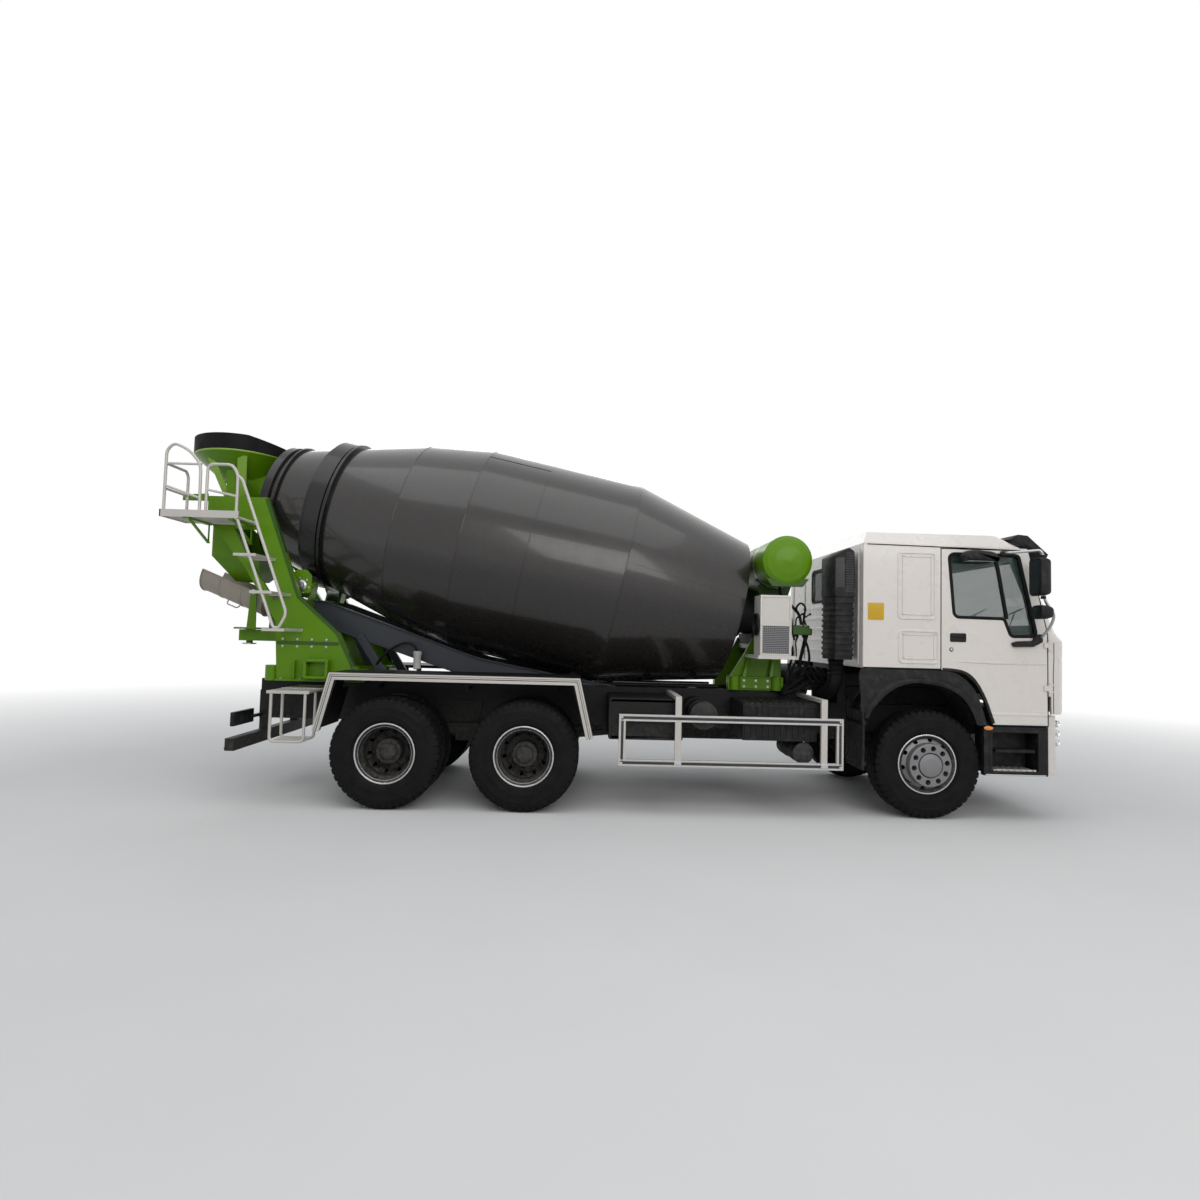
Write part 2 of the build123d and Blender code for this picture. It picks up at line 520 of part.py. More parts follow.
LEG_Y = 740
LEG_T = 60
LEG = [(-7450, 3100), (-6830, 3100), (-6450, 2070), (-6030, 1700), (-5770, SUBFRAME_TOP), (-6650, SUBFRAME_TOP),
       (-6690, 1800), (-7050, 2380), (-7450, 2860)]
LEG_HOLE = [(-7160, 2760), (-6930, 2760), (-6660, 2060), (-6720, 2020), (-7000, 2440)]
CROSS_BEAM_X = (AXLE_X - 7450, AXLE_X - 7350)
CHUTE_X = AXLE_X - 7300      # swivel axis of the chute
CHUTE_BRACKET_Z = (1580, 1705)
with BuildPart() as rear_pedestal:
    for side in (-1, 1):
        plate([(AXLE_X + x, z) for x, z in LEG], (side * LEG_Y, side * (LEG_Y - LEG_T)))
        plate([(AXLE_X + x, z) for x, z in LEG_HOLE], (side * LEG_Y, side * (LEG_Y - LEG_T)), Mode.SUBTRACT)
        # foot, inwards to the subframe
        block((AXLE_X - 6650, AXLE_X - 5790), sorted((side * (FRAME_HALF - SUB_W), side * (LEG_Y - LEG_T))),
              (SUBFRAME_TOP, SUBFRAME_TOP + 120))
        # roller bracket: two cheeks and the pin
        y = side * ROLLER_Y
        for s in (ROLLER_S - ROLLER_W / 2 - 26, ROLLER_S + ROLLER_W / 2 + 6):
            with BuildSketch(across_drum(s)):
                with Locations((-y, ROLLER_UP)):
                    Circle(70)
                with Locations((-y, ROLLER_UP - (ROLLER_R + 60) / 2)):
                    Rectangle(140, ROLLER_R + 60)
            extrude(amount=20)
        rod(drum_point(ROLLER_S - ROLLER_W / 2 - 26, ROLLER_UP, y), drum_point(ROLLER_S + ROLLER_W / 2 + 26, ROLLER_UP, y),
            ROLLER_PIN_R)
    # cross beam under the hopper, and the bracket that carries the chute
    block(CROSS_BEAM_X, (LEG_T - LEG_Y, LEG_Y - LEG_T), (2950, 3100))
    block((AXLE_X - 6700, AXLE_X - 6500), (LEG_T - LEG_Y, LEG_Y - LEG_T), CHUTE_BRACKET_Z)
    block((CHUTE_X - 70, AXLE_X - 6700), (-110, 110), CHUTE_BRACKET_Z)
    rod((CHUTE_X, 0, CHUTE_BRACKET_Z[0] - 10), (CHUTE_X, 0, CHUTE_BRACKET_Z[1] + 10), 35 + RUNNING, Mode.SUBTRACT)
    # roller beam across the legs
    with BuildSketch(across_drum(ROLLER_S - 100)):
        with Locations((0, ROLLER_UP - ROLLER_R - 65)):
            Rectangle(2 * (LEG_Y - LEG_T) + 2, 90)
    extrude(amount=200)
save(rear_pedestal, "rear_pedestal")

# ---------------------------------------------------------------- feed hopper and discharge collector
HOPPER_T = 8
HOPPER_FRONT = AXLE_X - 6900
HOPPER_HALF_L = (HOPPER_FRONT + LENGTH / 2) / 2          # rear lip at the overall length
HOPPER_X = HOPPER_FRONT - HOPPER_HALF_L
WAIST_X = AXLE_X - 7385
HOPPER_HALF_W = 600
HOPPER_RIM_Z = 3640
HOPPER_WAIST_Z = 3380
GUARD_TOP = 3820
THROAT_R = 255
COLLECTOR_TOP = 2500
COLLECTOR_END = 2250
with BuildPart() as feed_hopper:
    # open bowl, a wide oval mouth narrowing to a waist, and the throat, a sloping pipe into the drum's mouth
    top, end = (WAIST_X + 40, 0, HOPPER_WAIST_Z + 20), (AXLE_X - 6860, 0, 3120)
    for grow, mode in ((0, Mode.ADD), (-HOPPER_T, Mode.SUBTRACT)):
        with BuildSketch(Plane.XY.offset(HOPPER_RIM_Z)) as mouth:
            with Locations((HOPPER_X, 0)):
                Ellipse(HOPPER_HALF_L + grow, HOPPER_HALF_W + grow)
        with BuildSketch(Plane.XY.offset(HOPPER_WAIST_Z)) as waist:
            with Locations((WAIST_X, 0)):
                Ellipse(270 + grow, 300 + grow)
        loft([mouth.sketch.faces()[0], waist.sketch.faces()[0]], mode=mode)
        if mode == Mode.ADD:
            rod(top, end, THROAT_R)
            # brace struts down to the cross beam
            for side in (-1, 1):
                plate([(WAIST_X - 80, HOPPER_WAIST_Z + 130), (WAIST_X + 40, HOPPER_WAIST_Z + 130), (CROSS_BEAM_X[1] - 10, 3100),
                       (CROSS_BEAM_X[0] + 10, 3100)], (side * 330, side * 390))
    rod((top[0] - 60, 0, top[2] + 40), (end[0] + 60, 0, end[2] - 40), THROAT_R - HOPPER_T, Mode.SUBTRACT)
    # upstanding splash guard round the rim, lower towards the drum
    with BuildSketch(Plane.XY.offset(HOPPER_RIM_Z)) as guard:
        with Locations((HOPPER_X, 0)):
            Ellipse(HOPPER_HALF_L, HOPPER_HALF_W)
            Ellipse(HOPPER_HALF_L - HOPPER_T, HOPPER_HALF_W - HOPPER_T, mode=Mode.SUBTRACT)
    extrude(guard.sketch, amount=GUARD_TOP - HOPPER_RIM_Z)
    plate([(HOPPER_X + 250, GUARD_TOP), (HOPPER_X + 900, GUARD_TOP - 150), (HOPPER_X + 900, GUARD_TOP + 50),
           (HOPPER_X + 250, GUARD_TOP + 50)], (-700, 700), Mode.SUBTRACT)
    # collector under the drum's mouth, with a splash wall behind it
    for grow, mode in ((0, Mode.ADD), (-HOPPER_T, Mode.SUBTRACT)):
        with BuildSketch(Plane.XY.offset(COLLECTOR_TOP)) as catch:
            with Locations((AXLE_X - 7290, 0)):
                Rectangle(2 * (260 + grow), 2 * (430 + grow))
        with BuildSketch(Plane.XY.offset(COLLECTOR_END)) as outlet:
            with Locations((CHUTE_X, 0)):
                Rectangle(2 * (130 + grow), 2 * (130 + grow))
        loft([catch.sketch.faces()[0], outlet.sketch.faces()[0]], mode=mode)
    x0 = AXLE_X - 7550
    block((x0, x0 + HOPPER_T), (-430, 430), (COLLECTOR_TOP, 2940))
    for side in (-1, 1):
        plate([(x0, COLLECTOR_TOP), (x0, 2940), (AXLE_X - 7140, 2560), (AXLE_X - 7140, COLLECTOR_TOP)],
              (side * 422, side * 430))
        block((AXLE_X - 7250, AXLE_X - 7150), sorted((side * 430, side * (LEG_Y - LEG_T))), (2600, 2660))
save(feed_hopper, "feed_hopper")

# ---------------------------------------------------------------- chute
TROUGH_PIVOT = (CHUTE_X + 150, 2125)
TROUGH_R = 235
TROUGH_T = 5
TROUGH_TILT = 22
TROUGH_LENGTH = 640
EAR_Y = TROUGH_R + 30
ARM_BASE_Z = (CHUTE_BRACKET_Z[1] + 5, CHUTE_BRACKET_Z[1] + 25)     # low enough for the trough to swing down over it
with BuildPart() as chute_arm:
    rod((CHUTE_X, 0, CHUTE_BRACKET_Z[0] - 30), (CHUTE_X, 0, ARM_BASE_Z[1]), 35)
    rod((CHUTE_X, 0, CHUTE_BRACKET_Z[1] + 1), (CHUTE_X, 0, ARM_BASE_Z[1]), 58)
    block((CHUTE_X - 50, TROUGH_PIVOT[0] + 40), (-EAR_Y - 12, EAR_Y + 12), ARM_BASE_Z)
    for side in (-1, 1):
        plate([(TROUGH_PIVOT[0] - 60, ARM_BASE_Z[1]), (TROUGH_PIVOT[0] + 40, ARM_BASE_Z[1]), (TROUGH_PIVOT[0] + 30, TROUGH_PIVOT[1] + 30),
               (TROUGH_PIVOT[0] - 30, TROUGH_PIVOT[1] + 30)], (side * EAR_Y, side * (EAR_Y + 12)))
        rod((TROUGH_PIVOT[0], side * (TROUGH_R + 12), TROUGH_PIVOT[1]), (TROUGH_PIVOT[0], side * EAR_Y, TROUGH_PIVOT[1]), 14)
save(chute_arm, "chute_arm")

TROUGH_PLANE = Plane(origin=(TROUGH_PIVOT[0], 0, TROUGH_PIVOT[1]), x_dir=(0, -1, 0),
                     z_dir=(-cos(radians(TROUGH_TILT)), 0, sin(radians(TROUGH_TILT))))


def trough_section(start, length, radius, thickness):
    """A half-round channel along the trough's direction."""
    with BuildSketch(TROUGH_PLANE.offset(start)) as section:
        Circle(radius)
        Circle(radius - thickness, mode=Mode.SUBTRACT)
        with Locations((0, radius)):
            Rectangle(2 * radius + 2, 2 * radius, mode=Mode.SUBTRACT)
    extrude(section.sketch, amount=length)


with BuildPart() as chute_trough:
    trough_section(-110, TROUGH_LENGTH + 110, TROUGH_R, TROUGH_T)
    for side in (-1, 1):
        inner, outer = TROUGH_R - TROUGH_T, TROUGH_R + 14
        with BuildSketch(side_plane(max(side * inner, side * outer))):
            with Locations(TROUGH_PIVOT):
                Circle(34)
                Circle(14 + RUNNING, mode=Mode.SUBTRACT)
        extrude(amount=outer - inner)
save(chute_trough, "chute_trough")

# ---------------------------------------------------------------- water tank, oil cooler, air intake
TANK_HALF = 890          # to the start of the dished ends
TANK_DISH = 70
with BuildPart() as water_tank:
    with BuildSketch(Plane(origin=(TANK_X, 0, TANK_Z), x_dir=(0, 1, 0), z_dir=(1, 0, 0))):
        dish = [(TANK_HALF, TANK_R), (TANK_HALF + 0.4 * TANK_DISH, 0.85 * TANK_R), (TANK_HALF + 0.75 * TANK_DISH, 0.55 * TANK_R),
                (TANK_HALF + TANK_DISH, 0.2 * TANK_R), (TANK_HALF + TANK_DISH, 0)]
        with BuildLine():
            Polyline(*[(-a, r) for a, r in dish[::-1]], *dish, close=True)
        make_face()
    revolve(axis=Axis((TANK_X, 0, TANK_Z), (0, 1, 0)))
save(water_tank, "water_tank")

with BuildPart() as oil_cooler:
    block((AXLE_X - 1660, AXLE_X - 1340), (-980, -720), (1580, 2200))
    block((AXLE_X - 1680, AXLE_X - 1290), (-1000, -390), (1545, 1580))
save(oil_cooler, "oil_cooler")

INTAKE_X = AXLE_X - 850
with BuildPart() as air_intake:
    block((INTAKE_X - 100, INTAKE_X + 105), (-1130, -730), (2130, 2700))
    block((INTAKE_X - 85, INTAKE_X + 90), (-1100, -760), (1560, 2130))
    rod((INTAKE_X, -900, 1080), (INTAKE_X, -900, 1570), 75)
    block((INTAKE_X - 50, INTAKE_X + 50), (-960, -FRAME_HALF), (1000, 1090))
save(air_intake, "air_intake")

# ---------------------------------------------------------------- platform, ladder, fenders, guards
PLATFORM_Z = 2830
PLATFORM_Y = 1200
RAIL_Y = -1180
RAIL_R = 15
with BuildPart() as work_platform:
    foot = PLATFORM_Z - 10
    x_rear, x_gate, x_front = AXLE_X - 7640, AXLE_X - 7290, AXLE_X - 6930
    block((x_rear - 30, x_front + 30), (-PLATFORM_Y, -LEG_Y), (PLATFORM_Z - 25, PLATFORM_Z))
    tube_run([(x_rear, RAIL_Y, foot), (x_rear, RAIL_Y, 3480), (x_rear + 70, RAIL_Y, 3540),
              (x_gate - 60, RAIL_Y, 3430), (x_gate, RAIL_Y, 3340), (x_gate, RAIL_Y, foot)], RAIL_R)
    rod((x_rear, RAIL_Y, 3330), (x_gate, RAIL_Y, 3330), RAIL_R)
    rod((x_rear, RAIL_Y, 3110), (x_gate, RAIL_Y, 2990), RAIL_R)
    tube_run([(x_gate + 60, RAIL_Y, foot), (x_gate + 60, RAIL_Y, 3340), (x_front - 60, RAIL_Y, 3340),
              (x_front, RAIL_Y, 3260), (x_front, RAIL_Y, foot)], RAIL_R)
    tube_run([(x_rear, RAIL_Y, 3330), (x_rear, -790, 3330), (x_rear, -790, foot)], RAIL_R)
save(work_platform, "work_platform")

TREADS = ((-6825, 2445), (-6650, 2080), (-6512, 1713))     # middle of each tread: x from the front axle, z
LADDER_STEP_X = (AXLE_X - 6540, AXLE_X - 6130)
with BuildPart() as access_ladder:
    tube_run([(AXLE_X - 6914, RAIL_Y, PLATFORM_Z - 60), (AXLE_X - 6514, RAIL_Y, 1735), (AXLE_X - 6390, RAIL_Y, 1874),
              (AXLE_X - 6885, RAIL_Y, 3230)], RAIL_R)
    for x, z in TREADS:
        block((AXLE_X + x - 110, AXLE_X + x + 110), (-PLATFORM_Y, -LEG_Y), (z - 14, z + 14))
    block(LADDER_STEP_X, (-PLATFORM_Y, -FRAME_HALF), (1095, 1125))
    x0, x1 = LADDER_STEP_X
    tube_run([(x0 + 40, RAIL_Y, 1100), (x0 + 40, RAIL_Y, 610), (x1 - 40, RAIL_Y, 610), (x1 - 40, RAIL_Y, 1100)], RAIL_R)
save(access_ladder, "access_ladder")

FENDER_TOP = 1315
FENDER_T = 12
FENDER_LIP = 70
FENDER_INNER = 560
FENDER_REAR, FENDER_FRONT = AXLE_X - 6067, AXLE_X - 3352      # lower ends of the flaps
FENDER_LEAN = 140        # the flaps lean out by this much
FENDER_REAR_Z, FENDER_FRONT_Z = 756, 735


def fender_outline(inset):
    """Side outline of the fender's sheet, drawn in by the inset."""
    return [(FENDER_REAR + inset, FENDER_REAR_Z), (FENDER_REAR + FENDER_LEAN + inset, FENDER_TOP - inset),
            (FENDER_FRONT - FENDER_LEAN - inset, FENDER_TOP - inset), (FENDER_FRONT - inset, FENDER_FRONT_Z)]


with BuildPart() as rear_fenders:
    for side in (-1, 1):
        for inset, y in ((FENDER_T, FENDER_INNER), (FENDER_LIP, WIDTH / 2 - 30)):
            plate(fender_outline(0) + fender_outline(inset)[::-1], (side * WIDTH / 2, side * y))
        # notch round the pedestal leg
        block((FENDER_REAR - 10, AXLE_X - 5750), sorted((side * (FENDER_INNER - 10), side * (LEG_Y + 15))),
              (1130, FENDER_TOP + 10), Mode.SUBTRACT)
        for x in (BOGIE_X - 950, BOGIE_X, BOGIE_X + 950):
            block((x - 25, x + 25), sorted((side * FRAME_HALF, side * 620)), (1125, 1165))
            block((x - 25, x + 25), sorted((side * 580, side * 620)), (1165, FENDER_TOP - FENDER_T))
save(rear_fenders, "rear_fenders")

GUARD_Z = (480, 980)
GUARD_X = (AXLE_X - 3100, AXLE_X - 890)
GUARD_BAR = 65
GUARD_T = 35
GUARD_POSTS_X = (AXLE_X - 2520, AXLE_X - 1080)
with BuildPart() as side_guards:
    for side in (-1, 1):
        y = sorted((side * WIDTH / 2, side * (WIDTH / 2 - GUARD_T)))
        block(GUARD_X, y, GUARD_Z)
        block((GUARD_X[0] + GUARD_BAR, GUARD_X[1] - GUARD_BAR), y, (GUARD_Z[0] + GUARD_BAR, GUARD_Z[1] - GUARD_BAR),
              Mode.SUBTRACT)
        for x in GUARD_POSTS_X:
            block((x - 30, x + 30), y, (GUARD_Z[0] + 10, 1150))
            block((x - 30, x + 30), sorted((side * WIDTH / 2, side * FRAME_HALF)), (1130, 1165))
save(side_guards, "side_guards")

with BuildPart() as fuel_tank:
    block((AXLE_X - 2900, AXLE_X - 1450), (500, 1150), (500, 1040))
    fillet(fuel_tank.edges().filter_by(Axis.X), 70)
    for x in (AXLE_X - 2600, AXLE_X - 1750):
        block((x - 30, x + 30), (FRAME_HALF, 540), (790, 1000))
save(fuel_tank, "fuel_tank")

BATTERY_X = (AXLE_X - 1860, AXLE_X - 1120)
BATTERY_Z = (740, 1110)
with BuildPart() as battery_box:
    block(BATTERY_X, (-1140, -520), BATTERY_Z)
    for x in (BATTERY_X[0] + 80, BATTERY_X[1] - 80):
        block((x - 30, x + 30), (-560, -FRAME_HALF), (790, 1000))
save(battery_box, "battery_box")

with BuildPart() as air_tanks:
    rod((AXLE_X - 2250, -1120, 970), (AXLE_X - 2250, -FRAME_HALF, 970), 135)
    rod((AXLE_X - 1250, -1120, 620), (AXLE_X - 1250, -520, 620), 100)
    block((AXLE_X - 1280, AXLE_X - 1220), (-700, -660), (640, BATTERY_Z[0]))
save(air_tanks, "air_tanks")

# ---------------------------------------------------------------- cab
# height, front relative to CAB_FRONT, side draw-in, rear draw-in
CAB_SECTIONS = ((CAB_SKIRT, -10, 0, 0), (1800, 0, 0, 0), (1890, -80, 0, 0), (2740, -430, 0, 0), (2860, -620, 75, 60))


def cab_volume(inset=0.0, bottom=CAB_SKIRT):
    """The cab's outside as a ruled solid, or the same drawn in by a wall thickness."""
    faces = []
    for n, (z, front, side_in, rear_in) in enumerate(CAB_SECTIONS):
        level = bottom if n == 0 else z - (inset if n == len(CAB_SECTIONS) - 1 else 0)
        nose = CAB_FRONT + front - inset
        half = CAB_HALF - side_in - inset
        back = CAB_REAR + rear_in + inset
        with BuildSketch(Plane.XY.offset(level)) as section:
            with BuildLine():
                Polyline((nose - 250, -half), (back, -half), (back, half), (nose - 250, half))
                ThreePointArc((nose - 250, half), (nose - 125, half - 70), (nose - 70, half - 200))
                ThreePointArc((nose - 70, half - 200), (nose, 0), (nose - 70, 200 - half))
                ThreePointArc((nose - 70, 200 - half), (nose - 125, 70 - half), (nose - 250, -half))
            make_face()
        faces.append(section.sketch.faces()[0])
    with BuildPart() as volume:
        loft(faces, ruled=True)
    return volume.part


SKIN = 25
WALL = 85
DOOR_T = 50
FLOOR_T = 40
STEP_X = AXLE_X + 600        # the floor steps down in front of the wheel arch
DOOR = [(DOOR_FRONT, DOOR_BOTTOM), (DOOR_FRONT, 1870), (AXLE_X + 985, 2700), (DOOR_REAR, 2700), (DOOR_REAR, CAB_BOTTOM),
        (AXLE_X + 325, CAB_BOTTOM - 14), (AXLE_X + 461, 1363), (AXLE_X + 538, 1232), (AXLE_X + 624, DOOR_BOTTOM)]
WINDOW = [(AXLE_X + 185, 2650), (AXLE_X + 883, 2650), (AXLE_X + 1064, 1851), (AXLE_X + 811, 1844), (AXLE_X + 744, 2020),
          (AXLE_X + 238, 2025)]
WINDSCREEN_Z = (1960, 2640)
WINDSCREEN_HALF = 1010
PANEL_HALF = 940
PANEL_TOP = 1800
SHUT = 3                     # shut line round the front panel
REAR_WINDOW_Y = (-330, 330)
REAR_WINDOW_Z = (2210, 2570)
ALL_Y = (-2000, 2000)
ARM_Y = (445, 490)           # cab tilt arms
HINGES_Z = (1330, 1760)
HINGE_R, HINGE_PIN_R, HINGE_HALF = 11, 6, 25

outside = cab_volume()
skin_inside = cab_volume(SKIN, CAB_SKIRT - 10)
room = cab_volume(WALL, CAB_FLOOR)


def front_skin(half, top):
    """The part of the front skin between +/- half and below top."""
    with BuildPart() as piece:
        add(outside)
        add(skin_inside, mode=Mode.SUBTRACT)
        block((CAB_REAR - 10, AXLE_X + 1300), ALL_Y, (0, 4000), Mode.SUBTRACT)
        block((AXLE_X + 1200, CAB_FRONT + 10), (half, ALL_Y[1]), (0, 4000), Mode.SUBTRACT)
        block((AXLE_X + 1200, CAB_FRONT + 10), (ALL_Y[0], -half), (0, 4000), Mode.SUBTRACT)
        block((AXLE_X + 1200, CAB_FRONT + 10), ALL_Y, (top, 4000), Mode.SUBTRACT)
    return piece


def windscreen_prism(mode):
    """Everything seen through the windscreen outline from the front."""
    with BuildSketch(Plane(origin=(AXLE_X + 700, 0, 0), x_dir=(0, 1, 0), z_dir=(1, 0, 0))) as section:
        with BuildLine():
            Polyline((-WINDSCREEN_HALF, WINDSCREEN_Z[0]), (WINDSCREEN_HALF, WINDSCREEN_Z[0]),
                     (WINDSCREEN_HALF - 60, WINDSCREEN_Z[1]), (60 - WINDSCREEN_HALF, WINDSCREEN_Z[1]), close=True)
        make_face()
    extrude(section.sketch, amount=900, mode=mode)


with BuildPart() as cab_shell:
    add(outside)
    # below the floor only the front and corner skins hang down
    with BuildPart(mode=Mode.PRIVATE) as below:
        add(skin_inside)
        block((CAB_REAR - 10, CAB_FRONT + 10), ALL_Y, (CAB_FLOOR - FLOOR_T, 4000), Mode.SUBTRACT)
    add(below.part, mode=Mode.SUBTRACT)
    block((CAB_REAR - 10, DOOR_FRONT + 40), ALL_Y, (CAB_SKIRT - 10, CAB_FLOOR - FLOOR_T), Mode.SUBTRACT)
    block((CAB_REAR - 10, STEP_X), ALL_Y, (CAB_SKIRT - 10, CAB_BOTTOM), Mode.SUBTRACT)
    with BuildPart(mode=Mode.PRIVATE) as inside:
        add(room)
        block((CAB_REAR, STEP_X + 20), ALL_Y, (CAB_FLOOR - 10, CAB_BOTTOM + 45), Mode.SUBTRACT)
    add(inside.part, mode=Mode.SUBTRACT)
    for side in (-1, 1):
        grown = [(x + (DOOR_GAP if x > AXLE_X + 900 else -DOOR_GAP), z + (DOOR_GAP if z > 2000 else 0))
                 for x, z in DOOR]
        plate(grown, (side * (CAB_HALF + 1), side * (CAB_HALF - DOOR_T - 5)), Mode.SUBTRACT)
        frame = [(DOOR_FRONT - 40, CAB_FLOOR + 20), (DOOR_FRONT - 40, 1870), (AXLE_X + 955, 2655), (DOOR_REAR + 40, 2655),
                 (DOOR_REAR + 40, CAB_BOTTOM + 60), (STEP_X + 20, CAB_BOTTOM + 60), (STEP_X + 20, CAB_FLOOR + 20)]
        plate(frame, (side * (CAB_HALF + 1), side * (CAB_HALF - WALL - 20)), Mode.SUBTRACT)
    windscreen_prism(Mode.SUBTRACT)
    block((CAB_REAR - 10, CAB_REAR + WALL + 10), REAR_WINDOW_Y, REAR_WINDOW_Z, Mode.SUBTRACT)
    add(front_skin(PANEL_HALF + SHUT, PANEL_TOP + SHUT).part, mode=Mode.SUBTRACT)
    # tilt arms down to the pivot pins
    for side in (-1, 1):
        y = (side * ARM_Y[0], side * ARM_Y[1])
        plate([(PIVOT_X - 90, CAB_FLOOR - FLOOR_T), (PIVOT_X + 38, CAB_FLOOR - FLOOR_T), (PIVOT_X + 38, PIVOT_Z),
               (PIVOT_X - 48, PIVOT_Z)], y)
        rod((PIVOT_X, y[0], PIVOT_Z), (PIVOT_X, y[1], PIVOT_Z), 48)
        rod((PIVOT_X, y[0] - side, PIVOT_Z), (PIVOT_X, y[1] + side, PIVOT_Z), PIVOT_PIN_R + RUNNING, Mode.SUBTRACT)
    # door hinges: a pin between two lugs on the front pillar
    for side in (-1, 1):
        y = side * DOOR_HINGE_Y
        for z in HINGES_Z:
            for z0, z1 in ((z - 46, z - HINGE_HALF - 1), (z + HINGE_HALF + 1, z + 46)):
                rod((DOOR_HINGE_X, y, z0), (DOOR_HINGE_X, y, z1), HINGE_R)
                block((DOOR_HINGE_X, DOOR_HINGE_X + 38), sorted((side * (CAB_HALF - 12), y + side * 6)), (z0, z1))
            rod((DOOR_HINGE_X, y, z - 46), (DOOR_HINGE_X, y, z + 46), HINGE_PIN_R)
save(cab_shell, "cab_shell")

save(front_skin(PANEL_HALF, PANEL_TOP), "cab_front_panel")

GLASS_IN, GLASS_T = 10, 6
with BuildPart() as cab_glass:
    windscreen_prism(Mode.ADD)
    add(cab_volume(GLASS_IN), mode=Mode.INTERSECT)
    add(cab_volume(GLASS_IN + GLASS_T), mode=Mode.SUBTRACT)
    block((CAB_REAR + 12, CAB_REAR + 12 + GLASS_T), REAR_WINDOW_Y, REAR_WINDOW_Z)
save(cab_glass, "cab_glass")

with BuildPart() as sun_visor:
    plate([(AXLE_X + 880, 2840), (AXLE_X + 960, 2888), (AXLE_X + 1060, 2880), (AXLE_X + 1275, 2690), (AXLE_X + 1255, 2655),
           (AXLE_X + 1050, 2790)], (-1080, 1080))
    add(outside, mode=Mode.SUBTRACT)
save(sun_visor, "sun_visor")

SEAT_Y = (370, 850)
REAR_FLOOR = CAB_BOTTOM + 45
with BuildPart() as seats:
    for side in (-1, 1):
        plate([(AXLE_X + 80, REAR_FLOOR), (AXLE_X + 470, REAR_FLOOR), (AXLE_X + 540, 1790), (AXLE_X + 520, 1860),
               (AXLE_X + 190, 1840), (AXLE_X + 60, 2480), (AXLE_X - 50, 2470), (AXLE_X + 40, 1790)],
              (side * SEAT_Y[0], side * SEAT_Y[1]))
    block((CAB_REAR + WALL, AXLE_X - 90), (WALL - CAB_HALF, CAB_HALF - WALL), (REAR_FLOOR, 1930))
save(seats, "seats")

STEER_AT = (AXLE_X + 820, 610, 2030)
COLUMN = Vector(-0.5, 0, 0.866)
COLUMN_LENGTH = 520
with BuildPart() as dashboard:
    plate([(AXLE_X + 1120, CAB_FLOOR + 330), (AXLE_X + 1420, CAB_FLOOR + 330), (AXLE_X + 1400, 1940), (AXLE_X + 1130, 1960),
           (AXLE_X + 1030, 1900), (AXLE_X + 1040, 1800)], (-1110, 1110))
    add(room, mode=Mode.INTERSECT)
    low = Vector(*STEER_AT) - COLUMN * COLUMN_LENGTH
    rod(low, Vector(*STEER_AT) - COLUMN * 30.5, 32)
    block((low.X - 30, AXLE_X + 1150), (STEER_AT[1] - 60, STEER_AT[1] + 60), (low.Z - 30, low.Z + 90))
save(dashboard, "dashboard")

STEER_R = 235
with BuildPart() as steering_wheel:
    with Locations(Plane(origin=STEER_AT, z_dir=COLUMN).location):
        Torus(STEER_R, 15)
        Cylinder(48, 60)
        Box(2 * STEER_R - 10, 36, 14)
        Box(36, 2 * STEER_R - 10, 14)
save(steering_wheel, "steering_wheel")

# ---------------------------------------------------------------- doors
MIRROR_Y = 1400
for name, side in SIDES.items():
    with BuildPart() as door:
        plate(DOOR, (side * CAB_HALF, side * (CAB_HALF - DOOR_T)))
        plate(WINDOW, (side * (CAB_HALF + 1), side * (CAB_HALF - DOOR_T - 1)), Mode.SUBTRACT)
        y = side * DOOR_HINGE_Y
        for z in HINGES_Z:
            rod((DOOR_HINGE_X, y, z - HINGE_HALF), (DOOR_HINGE_X, y, z + HINGE_HALF), HINGE_R)
            block((DOOR_HINGE_X - 50, DOOR_FRONT), sorted((side * (CAB_HALF - 1), y + side * 5)),
                  (z - HINGE_HALF, z + HINGE_HALF))
            block((DOOR_FRONT - 1, DOOR_HINGE_X), sorted((side * (CAB_HALF + 5), y + side * 5)),
                  (z - HINGE_HALF, z + HINGE_HALF))
            rod((DOOR_HINGE_X, y, z - 60), (DOOR_HINGE_X, y, z + 60), HINGE_PIN_R + RUNNING, Mode.SUBTRACT)
    save(door, f"door_{name}")
    with BuildPart() as door_glass:
        plate(WINDOW, (side * (CAB_HALF - 22), side * (CAB_HALF - 28)))
    save(door_glass, f"door_glass_{name}")
    with BuildPart() as mirrors:
        y = side * MIRROR_Y
        near = side * (CAB_HALF + 60)
        skin = side * CAB_HALF
        tube_run([(AXLE_X + 740, skin, 2672), (AXLE_X + 740, near, 2672), (AXLE_X + 990, y, 2690), (AXLE_X + 1000, y, 1950),
                  (AXLE_X + 1085, near, 1840), (AXLE_X + 1085, skin, 1840)], 14)
        block((AXLE_X + 917, AXLE_X + 1044), sorted((y - side * 100, y + side * 100)), (2247, 2610))
        block((AXLE_X + 930, AXLE_X + 1080), sorted((y - side * 90, y + side * 90)), (2010, 2150))
        if name == "right":
            # kerb mirror above the window
            block((AXLE_X + 250, AXLE_X + 625), (-1350, -1225), (2570, 2690))
            rod((AXLE_X + 440, skin, 2672), (AXLE_X + 440, -1230, 2672), 14)
    save(mirrors, f"mirrors_{name}")

# ---------------------------------------------------------------- bumper, lamps, steps, mudguards
BUMPER_Z = (454, 1045)
BUMPER_T = 35
LAMP_Y = (700, 1080)
LAMP_Z = (760, 1000)


